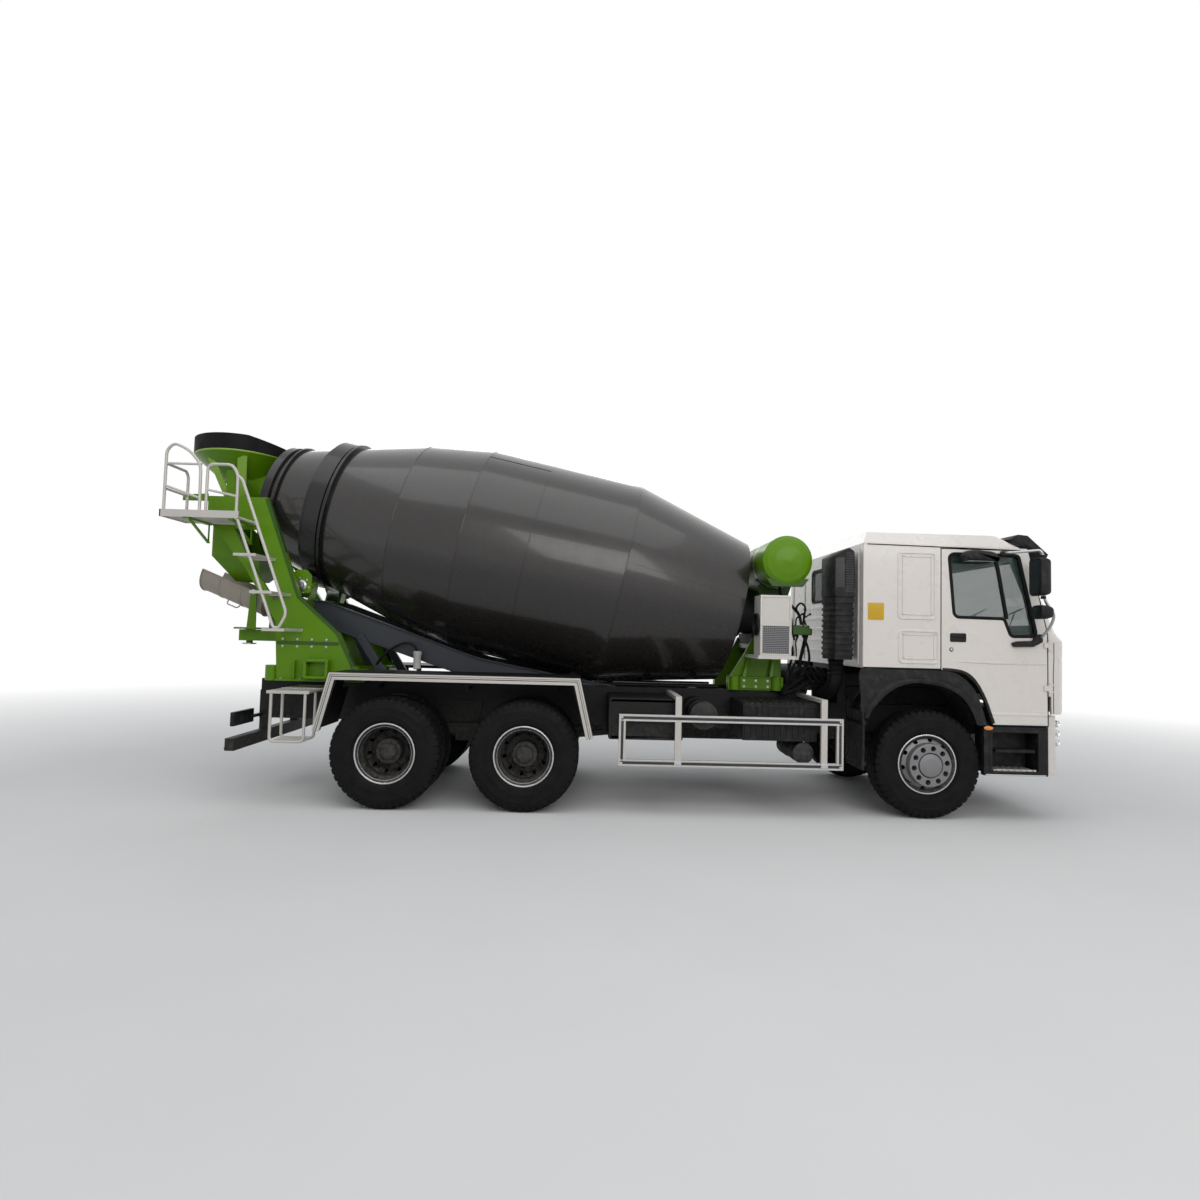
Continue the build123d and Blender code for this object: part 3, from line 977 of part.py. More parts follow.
def bumper_volume(inset=0.0):
    """The bumper's outside, or the same drawn in; the back stays open."""
    nose = BUMPER_FRONT - inset
    half = BUMPER_HALF - inset
    back = min(DOOR_FRONT + 42, nose - 225)
    with BuildSketch(Plane.XY.offset(BUMPER_Z[0])) as section:
        with BuildLine():
            Polyline((nose - 220, -half), (back, -half), (back, half), (nose - 220, half))
            ThreePointArc((nose - 220, half), (nose - 125, half - 45), (nose - 80, half - 160))
            ThreePointArc((nose - 80, half - 160), (nose, 0), (nose - 80, 160 - half))
            ThreePointArc((nose - 80, 160 - half), (nose - 125, 45 - half), (nose - 220, -half))
        make_face()
    with BuildPart() as volume:
        extrude(section.sketch, amount=BUMPER_Z[1] - BUMPER_Z[0])
    return volume.part


LAMP_X = (AXLE_X + 1290, BUMPER_FRONT + 10)
with BuildPart() as front_bumper:
    add(bumper_volume())
    add(bumper_volume(BUMPER_T), mode=Mode.SUBTRACT)
    for side in (-1, 1):
        block(LAMP_X, sorted((side * LAMP_Y[0], side * LAMP_Y[1])), LAMP_Z, Mode.SUBTRACT)
        block((FRAME_FRONT, BUMPER_FRONT - 30), sorted((side * (FRAME_HALF - RAIL_FLANGE), side * FRAME_HALF)), (800, 960))
save(front_bumper, "front_bumper")

with BuildPart() as headlamps:
    for side in (-1, 1):
        block(LAMP_X, sorted((side * LAMP_Y[0], side * LAMP_Y[1])), LAMP_Z)
    add(bumper_volume(4), mode=Mode.INTERSECT)
save(headlamps, "headlamps")

STEP_OUT = 1180
STEP_Z = (454, 938)
STEP_PLAN = ((545, STEP_OUT), (1190, STEP_OUT), (1190, 850), (640, 850), (640, 1050), (545, 1120))
with BuildPart() as cab_steps:
    for side in (-1, 1):
        with BuildSketch(Plane.XY.offset(STEP_Z[0])):
            with BuildLine():
                Polyline(*[(AXLE_X + x, side * y) for x, y in STEP_PLAN], close=True)
            make_face()
        extrude(amount=STEP_Z[1] - STEP_Z[0])
        block((AXLE_X + 630, AXLE_X + 1090), sorted((side * 980, side * (STEP_OUT + 5))), (STEP_Z[0] + 40, STEP_Z[1] - 60),
              Mode.SUBTRACT)
        block((AXLE_X + 1020, AXLE_X + 1150), sorted((side * FRAME_HALF, side * 850)), (800, 880))
save(cab_steps, "cab_steps")

TRIM = [(-707, 1482), (78, 1482), (104, 1457), (311, 1445), (437, 1341), (509, 1217), (592, 950), (560, 950), (445, 1193), (264, 1376),
        (-37, 1418), (-287, 1392), (-486, 1259), (-630, 1214), (-640, 480), (-690, 480), (-707, 1214)]
LINER = [(-700, 1240), (-498, 1285), (-295, 1417), (-37, 1443), (274, 1400), (466, 1206), (575, 950), (560, 950),
         (445, 1193), (264, 1376), (-37, 1418), (-287, 1392), (-486, 1259), (-640, 1214), (-700, 1214)]
ARCH_INNER = 800
FLAP_X = (AXLE_X - 700, AXLE_X - 640)
with BuildPart() as front_mudguards:
    for side in (-1, 1):
        plate([(AXLE_X + x, z) for x, z in TRIM], (side * WIDTH / 2, side * (WIDTH / 2 - 60)))
        plate([(AXLE_X + x, z) for x, z in LINER], (side * WIDTH / 2, side * ARCH_INNER))
        block(FLAP_X, sorted((side * (WIDTH / 2 - 20), side * ARCH_INNER)), (480, 1214))
        block(FLAP_X, sorted((side * (ARCH_INNER + 10), side * FRAME_HALF)), (900, 960))
save(front_mudguards, "front_mudguards")
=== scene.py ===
"""Looks for the concrete mixer truck: materials, small fittings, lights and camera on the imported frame. Metres."""
import math

import bmesh
import bpy
from mathutils import Matrix, Vector


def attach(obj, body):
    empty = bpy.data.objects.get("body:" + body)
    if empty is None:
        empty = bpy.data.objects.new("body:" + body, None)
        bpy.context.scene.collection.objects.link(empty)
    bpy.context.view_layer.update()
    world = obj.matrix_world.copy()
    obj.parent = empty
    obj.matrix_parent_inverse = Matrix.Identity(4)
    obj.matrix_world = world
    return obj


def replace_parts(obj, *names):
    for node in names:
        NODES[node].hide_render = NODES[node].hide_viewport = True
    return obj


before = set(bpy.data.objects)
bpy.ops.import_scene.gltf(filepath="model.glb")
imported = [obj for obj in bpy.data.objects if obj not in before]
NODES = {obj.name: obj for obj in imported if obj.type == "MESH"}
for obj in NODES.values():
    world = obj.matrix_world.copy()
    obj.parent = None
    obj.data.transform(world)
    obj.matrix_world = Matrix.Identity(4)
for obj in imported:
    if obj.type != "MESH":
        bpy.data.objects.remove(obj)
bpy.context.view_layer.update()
bpy.context.scene.view_settings.view_transform = "Standard"

AX = 3.225                  # x of the front axle in the row frame
TILT = math.radians(12.16)  # drum axis
DRUM_AT = (AX - 1.736, 0.0, 2.048)
STATIONS = ((0.060, 0.811), (1.377, 1.150), (2.384, 1.150), (3.072, 1.147), (3.798, 1.028), (5.337, 0.610))
SIDES = (("right", -1), ("left", 1))
WHEEL_Z = 0.540             # height of every wheel's centre
FRONT_WHEEL_Y = 1.011       # middle of the front tyre
TWIN_INNER_Y, TWIN_OUTER_Y = 0.740, 1.090
CAB_SIDE = 1.199            # the cab's side skin, where its pressings and trims stand
REAR_AXLES = (("mid", -4.025), ("rear", -5.375))
TANK_X, TANK_Z = -1.36, 2.575
CHUTE_TILT = math.radians(22)
CHUTE_PIVOT = (-7.15, 0, 2.125)

CAMERA_AT = (-3.468, -8.006, 1.747)                 # from the front axle
CAMERA_YAW, CAMERA_PITCH, CAMERA_ROLL = -1.267, 2.902, 1.506
SENSOR, FOCAL_LENGTH = 36, 20.652                   # millimetres
FLOOR_RADIUS = 90
FLOOR_PLAIN_FROM, FLOOR_PLAIN_AT = 6.5, 17.0        # the floor fades to plain white between these distances
NODE_SMOOTH, TYRE_SMOOTH, BEVEL_ABOVE = (math.radians(a) for a in (32, 38, 40))


def P(x, y, z):
    """A point given from the front axle."""
    return Vector((AX + x, y, z))


# ---------------------------------------------------------------- camera
def make_camera():
    """The camera at the angle of view that was fitted, rolled about its own axis."""
    yaw, pitch, roll = (math.radians(a) for a in (CAMERA_YAW, CAMERA_PITCH, CAMERA_ROLL))
    fwd = Vector((-math.sin(yaw) * math.cos(pitch), math.cos(yaw) * math.cos(pitch), math.sin(pitch)))
    right = Vector((math.cos(yaw), math.sin(yaw), 0))
    up = right.cross(fwd)
    r = math.cos(roll) * right + math.sin(roll) * up
    u = -math.sin(roll) * right + math.cos(roll) * up
    data = bpy.data.cameras.new("camera")
    data.sensor_width, data.lens = SENSOR, FOCAL_LENGTH
    data.clip_end = 300
    cam = bpy.data.objects.new("camera", data)
    bpy.context.scene.collection.objects.link(cam)
    m = Matrix((r, u, -fwd)).transposed().to_4x4()
    m.translation = P(*CAMERA_AT)
    cam.matrix_world = m
    bpy.context.scene.camera = cam


make_camera()


# ---------------------------------------------------------------- materials
def set_stops(ramp, stops):
    """Fills a colour ramp; a colour is a tuple, or one number for grey."""
    while len(ramp.elements) < len(stops):
        ramp.elements.new(0.5)
    for e, (pos, col) in zip(ramp.elements, stops):
        e.position = pos
        e.color = (*col, 1) if isinstance(col, tuple) else (col, col, col, 1)


class Mat:
    """A small builder for node materials."""

    def __init__(self, name):
        self.m = bpy.data.materials.new(name)
        self.m.use_nodes = True
        self.t = self.m.node_tree
        self.b = self.t.nodes["Principled BSDF"]
        self.coord = self.t.nodes.new("ShaderNodeTexCoord").outputs["Object"]

    def node(self, kind, **values):
        n = self.t.nodes.new(kind)
        for key, value in values.items():
            if hasattr(n, key):
                setattr(n, key, value)
            else:
                n.inputs[key.replace("_", " ")].default_value = value
        return n

    def link(self, a, b):
        self.t.links.new(a, b)

    def noise(self, scale, detail=3.0, rough=0.5, stretch=(1, 1, 1)):
        m = self.node("ShaderNodeMapping")
        m.inputs["Scale"].default_value = stretch
        self.link(self.coord, m.inputs["Vector"])
        n = self.node("ShaderNodeTexNoise", Scale=scale, Detail=detail, Roughness=rough)
        self.link(m.outputs[0], n.inputs["Vector"])
        return n.outputs["Fac"]

    def ramp(self, value, stops):
        n = self.node("ShaderNodeValToRGB")
        set_stops(n.color_ramp, stops)
        self.link(value, n.inputs[0])
        return n.outputs[0]

    def map(self, value, a, b, c, d):
        n = self.node("ShaderNodeMapRange")
        for i, v in zip(range(1, 5), (a, b, c, d)):
            n.inputs[i].default_value = v
        self.link(value, n.inputs[0])
        return n.outputs[0]

    def math(self, op, a, b=None):
        n = self.node("ShaderNodeMath", operation=op)
        for i, v in enumerate((a, b)):
            if v is None:
                continue
            if isinstance(v, (int, float)):
                n.inputs[i].default_value = v
            else:
                self.link(v, n.inputs[i])
        return n.outputs[0]

    def mix(self, fac, a, b):
        n = self.node("ShaderNodeMix", data_type="RGBA")
        for socket, v in ((n.inputs[0], fac), (n.inputs[6], a), (n.inputs[7], b)):
            if isinstance(v, (int, float)):
                socket.default_value = v
            elif isinstance(v, tuple):
                socket.default_value = (*v, 1)
            else:
                self.link(v, socket)
        return n.outputs[2]

    def bump(self, height, strength, distance):
        n = self.node("ShaderNodeBump", Strength=strength, Distance=distance)
        self.link(height, n.inputs["Height"])
        if self.b.inputs["Normal"].links:
            self.link(self.b.inputs["Normal"].links[0].from_socket, n.inputs["Normal"])
        self.link(n.outputs[0], self.b.inputs["Normal"])

    def z(self):
        s = self.node("ShaderNodeSeparateXYZ")
        self.link(self.coord, s.inputs[0])
        return s.outputs[2]

    def set(self, **values):
        for key, value in values.items():
            socket = self.b.inputs[key.replace("_", " ")]
            if isinstance(value, (int, float)):
                socket.default_value = value
            elif isinstance(value, tuple):
                socket.default_value = (*value, 1)
            else:
                self.link(value, socket)
        return self


def paint(name, colour, rough=0.28, coat=0.5, dust=0.35, dust_top=1.3, metallic=0.0, variation=0.06, peel=0.0006,
          shine=0.5):
    """Vehicle paint: faint mottling, orange peel and fine dust that thickens towards the ground."""
    m = Mat(name)
    big = m.noise(1.3, 4)
    fine = m.noise(22, 5, 0.6)
    low = tuple(c * (1 - variation) for c in colour)
    high = tuple(min(1, c * (1 + variation)) for c in colour)
    base = m.mix(big, low, high)
    height = m.map(m.z(), 0.3, dust_top, 1.0, 0.0)
    dirt = m.math("MULTIPLY", m.math("MULTIPLY", m.ramp(fine, ((0.35, 0.0), (0.75, 1.0))), height), dust)
    base = m.mix(dirt, base, (0.30, 0.27, 0.23))
    m.set(Base_Color=base, Metallic=metallic, Coat_Weight=coat, Coat_Roughness=0.08, Specular_IOR_Level=shine)
    m.set(Roughness=m.math("ADD", m.map(m.noise(7, 4), 0.3, 0.7, rough - 0.03, rough + 0.04),
                           m.math("MULTIPLY", dirt, 0.5)))
    m.bump(m.noise(160, 2), 0.12, peel)
    return m.m


def plastic(name, colour, rough=0.55, bump=0.25):
    """Grained plastic with a little dust."""
    m = Mat(name)
    base = m.mix(m.noise(3, 4), tuple(c * 0.8 for c in colour), tuple(c * 1.25 for c in colour))
    dust = m.math("MULTIPLY", m.ramp(m.noise(14, 5), ((0.5, 0.0), (0.8, 1.0))), 0.10)
    m.set(Base_Color=m.mix(dust, base, (0.28, 0.26, 0.23)), Roughness=m.map(m.noise(9, 3), 0.3, 0.7, rough - 0.07,
                                                                            rough + 0.1))
    m.set(Specular_IOR_Level=0.25)
    m.bump(m.noise(700, 2), bump, 0.0004)
    return m.m


def metal(name, colour, rough=0.3, stretch=(1, 1, 1), dirt=0.15):
    """Bare metal with fine streaks and grime."""
    m = Mat(name)
    streak = m.noise(60, 4, 0.6, stretch)
    grime = m.math("MULTIPLY", m.ramp(m.noise(8, 5), ((0.5, 0.0), (0.75, 1.0))), dirt)
    base = m.mix(m.noise(4, 3), tuple(c * 0.88 for c in colour), colour)
    m.set(Base_Color=m.mix(grime, base, (0.16, 0.14, 0.12)), Metallic=0.9,
          Roughness=m.map(streak, 0.3, 0.7, rough - 0.08, rough + 0.12))
    m.bump(streak, 0.08, 0.0005)
    return m.m


def rubber(name, colour=(0.0035, 0.0034, 0.0036), dusty=0.28):
    """Dull rubber with patches of dust."""
    m = Mat(name)
    dirt = m.math("MULTIPLY", m.ramp(m.noise(11, 6, 0.65), ((0.42, 0.0), (0.78, 1.0))), dusty)
    m.set(Base_Color=m.mix(dirt, colour, (0.026, 0.023, 0.021)), Roughness=m.map(m.noise(6, 3), 0.3, 0.7, 0.60, 0.82))
    m.set(Specular_IOR_Level=0.16)
    m.bump(m.noise(240, 3), 0.25, 0.0006)
    return m.m


def glass(name, colour=(0.55, 0.66, 0.64), alpha=0.32, rough=0.02):
    """Clear or tinted glass, slightly smeared."""
    m = Mat(name)
    smear = m.map(m.noise(5, 4), 0.4, 0.8, rough, rough + 0.05)
    m.set(Base_Color=colour, Roughness=smear, IOR=1.5, Alpha=alpha, Specular_IOR_Level=0.9)
    return m.m


def lamp(name, colour):
    """A ribbed lamp lens."""
    m = Mat(name)
    wave = m.node("ShaderNodeTexWave", Scale=60.0, Distortion=0.0)
    m.link(m.coord, wave.inputs["Vector"])
    m.set(Base_Color=colour, Roughness=0.12, Coat_Weight=0.8)
    m.bump(wave.outputs["Fac"], 0.3, 0.002)
    return m.m


def fabric(name, colour):
    """Woven seat cloth."""
    m = Mat(name)
    weave = m.node("ShaderNodeTexWave", Scale=180.0, Distortion=1.5, bands_direction="Y")
    m.link(m.coord, weave.inputs["Vector"])
    m.set(Base_Color=m.mix(m.noise(40, 4), tuple(c * 0.7 for c in colour), tuple(c * 1.3 for c in colour)),
          Roughness=0.85, Sheen_Weight=0.3)
    m.bump(weave.outputs["Fac"], 0.4, 0.001)
    return m.m


GREEN = paint("green_paint", (0.105, 0.245, 0.002), rough=0.38, coat=0.12, dust=0.10, shine=0.2)
# A lighter copy of the green paint for the hopper's rim and struts, where light falls: painted highlight.
GREEN_LIT = paint("green_paint_painted_highlight", (0.26, 0.44, 0.06), rough=0.38, coat=0.15, dust=0.10, shine=0.25)
# A darker copy of the green paint for green parts that lie in shade: painted shade.
GREEN_SHADED = paint("green_paint_shade", (0.030, 0.085, 0.006), rough=0.45, coat=0.1, shine=0.3)
WHITE = paint("cab_paint", (0.70, 0.660, 0.625), rough=0.28, variation=0.012, dust=0.03, dust_top=1.2)
SLATE = paint("drum_paint", (0.017, 0.0145, 0.0135), rough=0.26, coat=0.45, variation=0.22, dust=0.06, dust_top=2.0,
              shine=0.4)
BLACK_GLOSS = paint("ring_paint", (0.006, 0.006, 0.0065), rough=0.3, coat=0.25, shine=0.3)
CHASSIS = paint("chassis_paint", (0.008, 0.008, 0.0085), rough=0.55, coat=0.0, dust=0.25, dust_top=1.1, shine=0.22)
CASTING = paint("casting", (0.022, 0.022, 0.024), rough=0.6, coat=0.0, dust=0.3, dust_top=1.4, peel=0.002, shine=0.25)
SLATE_STEEL = paint("brace_paint", (0.035, 0.040, 0.048), rough=0.5, coat=0.1, dust=0.2, shine=0.3)
ALU_PAINT = paint("light_alloy_paint", (0.56, 0.535, 0.50), rough=0.42, coat=0.1, metallic=0.1, variation=0.06,
                  dust=0.2)
RIM = paint("rim_paint", (0.20, 0.20, 0.21), rough=0.40, coat=0.2, metallic=0.4, variation=0.08, dust=0.3,
            dust_top=1.0)
RIM_BRIGHT = metal("rim_bright", (0.62, 0.62, 0.63), rough=0.28, dirt=0.08)
RIM_DARK = paint("rim_dark", (0.014, 0.014, 0.015), rough=0.55, coat=0.0, dust=0.35, dust_top=1.0, shine=0.25)
STEEL = metal("steel", (0.45, 0.45, 0.46), rough=0.32)
CHROME = metal("chrome", (0.85, 0.85, 0.86), rough=0.1, dirt=0.03)
ALU = metal("brushed_aluminium", (0.60, 0.61, 0.62), rough=0.34, stretch=(0.1, 1, 1))
PLASTIC = plastic("black_plastic", (0.0065, 0.0065, 0.007))
# Grey plastic; the same colour also serves as painted shade down the middle of the side guards' rails.
GREY_PLASTIC_AND_SHADE = plastic("grey_plastic_and_painted_shade", (0.045, 0.045, 0.048))
TRIM_GREY = plastic("cabin_plastic", (0.10, 0.095, 0.09), rough=0.6)
RUBBER = rubber("rubber")
# Near-black rubber for seals, belts and piping; the same colour also stands for painted shade under the cab gutter,
# in the door gap, along the panel joint and in the fender rails.
SEAL_AND_SHADE = rubber("seal_rubber_and_painted_shade", (0.005, 0.005, 0.005), dusty=0.05)
GLASS = glass("window_glass", (0.035, 0.085, 0.072), alpha=0.34)
LENS_CLEAR = glass("lamp_glass", (0.80, 0.82, 0.84), alpha=0.35, rough=0.03)
MIRROR = metal("mirror_glass", (0.16, 0.17, 0.19), rough=0.10, dirt=0.0)
LENS = lamp("clear_lens", (0.75, 0.77, 0.78))
AMBER = lamp("amber_lens", (0.85, 0.27, 0.02))
RED = lamp("red_lens", (0.45, 0.012, 0.01))
YELLOW = plastic("yellow_plate", (0.62, 0.38, 0.03), rough=0.4, bump=0.05)
SEAT = fabric("seat_fabric", (0.055, 0.060, 0.075))
CREAM = paint("chute_paint", (0.36, 0.32, 0.27), rough=0.5, coat=0.0, variation=0.2, dust=0.1)
WHITE_PLASTIC = plastic("white_plastic", (0.60, 0.60, 0.58), rough=0.4)

NODE_MATERIALS = {
    "tyre": RUBBER, "front_wheel": RIM, "mid_wheel": RIM_DARK, "rear_wheel": RIM_DARK, "chassis_frame": CHASSIS,
    "subframe": CHASSIS, "engine": CASTING, "front_axle": CASTING, "leaf_springs": CHASSIS, "rear_axles": CASTING,
    "knuckle": CASTING, "tie_rod": CASTING, "drum_shell": SLATE, "drum_rings": BLACK_GLOSS, "drum_roller": STEEL,
    "front_pedestal": GREEN, "drum_gearbox": CASTING, "rear_pedestal": GREEN, "feed_hopper": GREEN,
    "chute_arm": GREEN, "chute_trough": CREAM, "water_tank": GREEN, "oil_cooler": ALU_PAINT, "air_intake": PLASTIC,
    "work_platform": ALU_PAINT, "access_ladder": ALU_PAINT, "rear_fenders": CHASSIS, "side_guards": ALU_PAINT,
    "fuel_tank": CASTING, "battery_box": PLASTIC, "air_tanks": CHASSIS, "cab_shell": WHITE, "cab_front_panel": WHITE,
    "cab_glass": GLASS, "sun_visor": PLASTIC, "seats": SEAT, "dashboard": TRIM_GREY, "steering_wheel": PLASTIC,
    "door_glass": GLASS, "door": WHITE, "mirrors": PLASTIC, "front_bumper": WHITE, "headlamps": LENS,
    "cab_steps": PLASTIC, "front_mudguards": PLASTIC,
}


def node_material(name):
    for key in sorted(NODE_MATERIALS, key=len, reverse=True):
        if key in name:
            return NODE_MATERIALS[key]


def finish_nodes():
    """Gives every CAD node its material and smooth shading."""
    for name, o in NODES.items():
        material = node_material(name)
        if not o.material_slots:
            o.data.materials.append(material)
        for slot in o.material_slots:
            slot.material = material
        for polygon in o.data.polygons:
            polygon.use_smooth = True
        with bpy.context.temp_override(object=o, active_object=o, selected_objects=[o],
                                       selected_editable_objects=[o]):
            bpy.ops.object.shade_smooth_by_angle(angle=NODE_SMOOTH)


finish_nodes()


# ---------------------------------------------------------------- light
def plain_rays(t):
    """One where a camera, mirror or glass ray looks, for the plain white behind the object."""
    path = t.nodes.new("ShaderNodeLightPath")
    total = path.outputs["Is Camera Ray"]
    for kind in ("Is Glossy Ray", "Is Transmission Ray"):
        add = t.nodes.new("ShaderNodeMath")
        add.operation, add.use_clamp = "ADD", True
        t.links.new(total, add.inputs[0])
        t.links.new(path.outputs[kind], add.inputs[1])
        total = add.outputs[0]
    return total


def make_light():
    """A sky that is bright above and dim at the horizon, plain white where it is seen, and three soft lamps."""
    world = bpy.data.worlds.new("world")
    bpy.context.scene.world = world
    world.use_nodes = True
    t = world.node_tree
    back = t.nodes["Background"]
    coord = t.nodes.new("ShaderNodeTexCoord")
    sep = t.nodes.new("ShaderNodeSeparateXYZ")
    t.links.new(coord.outputs["Generated"], sep.inputs[0])
    span = t.nodes.new("ShaderNodeMapRange")
    span.inputs[1].default_value, span.inputs[2].default_value = -0.3, 1.0
    t.links.new(sep.outputs[2], span.inputs[0])
    ramp = t.nodes.new("ShaderNodeValToRGB")
    stops = ((0.0, (0.42, 0.40, 0.38)), (0.225, (0.36, 0.345, 0.335)), (0.30, (0.20, 0.21, 0.21)),
             (0.40, (0.52, 0.55, 0.58)), (0.65, (0.80, 0.84, 0.88)), (1.0, (0.95, 0.97, 1.0)))
    set_stops(ramp.color_ramp, stops)
    t.links.new(span.outputs[0], ramp.inputs[0])
    t.links.new(ramp.outputs[0], back.inputs[0])
    back.inputs[1].default_value = 0.5
    white = t.nodes.new("ShaderNodeBackground")
    white.inputs[0].default_value = (1, 1, 1, 1)
    mix = t.nodes.new("ShaderNodeMixShader")
    t.links.new(plain_rays(t), mix.inputs[0])
    t.links.new(back.outputs[0], mix.inputs[1])
    t.links.new(white.outputs[0], mix.inputs[2])
    t.links.new(mix.outputs[0], t.nodes["World Output"].inputs[0])

    def area(name, at, to, size, watts, colour=(1, 1, 1)):
        data = bpy.data.lights.new(name, "AREA")
        data.shape = "RECTANGLE"
        data.size, data.size_y = size
        data.energy = watts
        data.color = colour
        o = bpy.data.objects.new(name, data)
        bpy.context.scene.collection.objects.link(o)
        o.location = at
        o.rotation_euler = (Vector(to) - Vector(at)).to_track_quat("-Z", "Y").to_euler()

    area("top", (0, -4, 11), (0, 0, 1.5), (16, 8), 460)
    area("front_side", (4, -14, 7), (0, 0, 1.6), (12, 6), 660, (1.0, 0.98, 0.95))
    area("back_side", (-4, 14, 8), (0, 0, 1.6), (12, 6), 360)


make_light()


def make_floor():
    """A pale floor that keeps the shadow and fades to plain white in the distance."""
    mesh = bpy.data.meshes.new("floor")
    b = bmesh.new()
    bmesh.ops.create_circle(b, cap_ends=True, segments=96, radius=FLOOR_RADIUS)
    b.to_mesh(mesh)
    b.free()
    floor = bpy.data.objects.new("floor", mesh)
    bpy.context.scene.collection.objects.link(floor)
    m = Mat("floor")
    length = m.node("ShaderNodeVectorMath", operation="LENGTH")
    m.link(m.coord, length.inputs[0])
    far = m.map(length.outputs["Value"], FLOOR_PLAIN_FROM, FLOOR_PLAIN_AT, 0.0, 1.0)
    m.set(Base_Color=m.mix(m.noise(0.8, 5), (0.70, 0.70, 0.70), (0.76, 0.76, 0.76)), Roughness=0.9)
    m.bump(m.noise(60, 3), 0.1, 0.002)
    glow = m.node("ShaderNodeEmission", Strength=1.0)
    seen = m.math("MULTIPLY", far, plain_rays(m.t))
    mix = m.node("ShaderNodeMixShader")
    m.link(seen, mix.inputs[0])
    m.link(m.b.outputs[0], mix.inputs[1])
    m.link(glow.outputs[0], mix.inputs[2])
    m.link(mix.outputs[0], m.t.nodes["Material Output"].inputs[0])
    mesh.materials.append(m.m)


make_floor()


# ---------------------------------------------------------------- mesh helpers
def axes_for(direction):
    d = Vector(direction).normalized()
    side = d.orthogonal().normalized()
    return d, side, d.cross(side)


def rect(x0, x1, y0, y1):
    """The four corners of a rectangle."""
    return [(x0, y0), (x1, y0), (x1, y1), (x0, y1)]


def at_y(y, outline):
    """An outline of (x, z) set at one y."""
    return [P(p[0], y, p[1]) for p in outline]


def at_x(x, outline):
    """An outline of (y, z) set at one x."""
    return [P(x, p[0], p[1]) for p in outline]


def hoop(at, half, r0, r1):
    """The section of a band round a lathe's axis: its middle, half its width and its two radii."""
    return [(at - half, r0), (at - half, r1), (at + half, r1), (at + half, r0)]


def spokes(s, t, count, phase=0.0):
    """Unit vectors spaced round the plane of s and t."""
    turns = [phase + k * math.tau / count for k in range(count)]
    return [s * math.cos(a) + t * math.sin(a) for a in turns]


def rounded(points, radius, steps=5):
    """A closed 2-D outline with its corners rounded; radius may be a list."""
    out = []
    n = len(points)
    for i, p in enumerate(points):
        r = radius[i] if isinstance(radius, (list, tuple)) else radius
        p = Vector(p)
        a, b = Vector(points[i - 1]) - p, Vector(points[(i + 1) % n]) - p
        la, lb = a.length, b.length
        a.normalize()
        b.normalize()
        angle = a.angle(b)
        reach = min(r / math.tan(angle / 2), la * 0.49, lb * 0.49) if angle > 0.01 else 0
        if reach < 1e-5 or angle > math.pi - 0.02:
            out.append(p)
            continue
        s, e = p + a * reach, p + b * reach
        for k in range(steps + 1):
            t = k / steps
            out.append(s * (1 - t) ** 2 + p * 2 * t * (1 - t) + e * t ** 2)
    return out


def inset(points, d):
    """An outline drawn in by d (out if negative); points run either way round."""
    n = len(points)
    area = sum(points[i - 1][0] * points[i][1] - points[i][0] * points[i - 1][1] for i in range(n))
    sign = 1 if area > 0 else -1
    out = []
    for i in range(n):
        p, a, b = (Vector(q) for q in (points[i], points[i - 1], points[(i + 1) % n]))
        e1, e2 = (p - a).normalized(), (b - p).normalized()
        n1, n2 = Vector((-e1.y, e1.x)) * sign, Vector((-e2.y, e2.x)) * sign
        m = n1 + n2
        if m.length < 1e-6:
            out.append(p + n1 * d)
        else:
            m.normalize()
            out.append(p + m * (d / max(0.3, m.dot(n1))))
    return out


def smooth_path(points, steps=6):
    """A Catmull-Rom path through the points."""
    pts = [Vector(p) for p in points]
    out = []
    for i in range(len(pts) - 1):
        p0, p1, p2, p3 = pts[max(i - 1, 0)], pts[i], pts[i + 1], pts[min(i + 2, len(pts) - 1)]
        for k in range(steps):
            t = k / steps
            out.append(0.5 * (2 * p1 + (p2 - p0) * t + (2 * p0 - 5 * p1 + 4 * p2 - p3) * t * t
                              + (3 * p1 - p0 - 3 * p2 + p3) * t ** 3))
    return out + [pts[-1]]


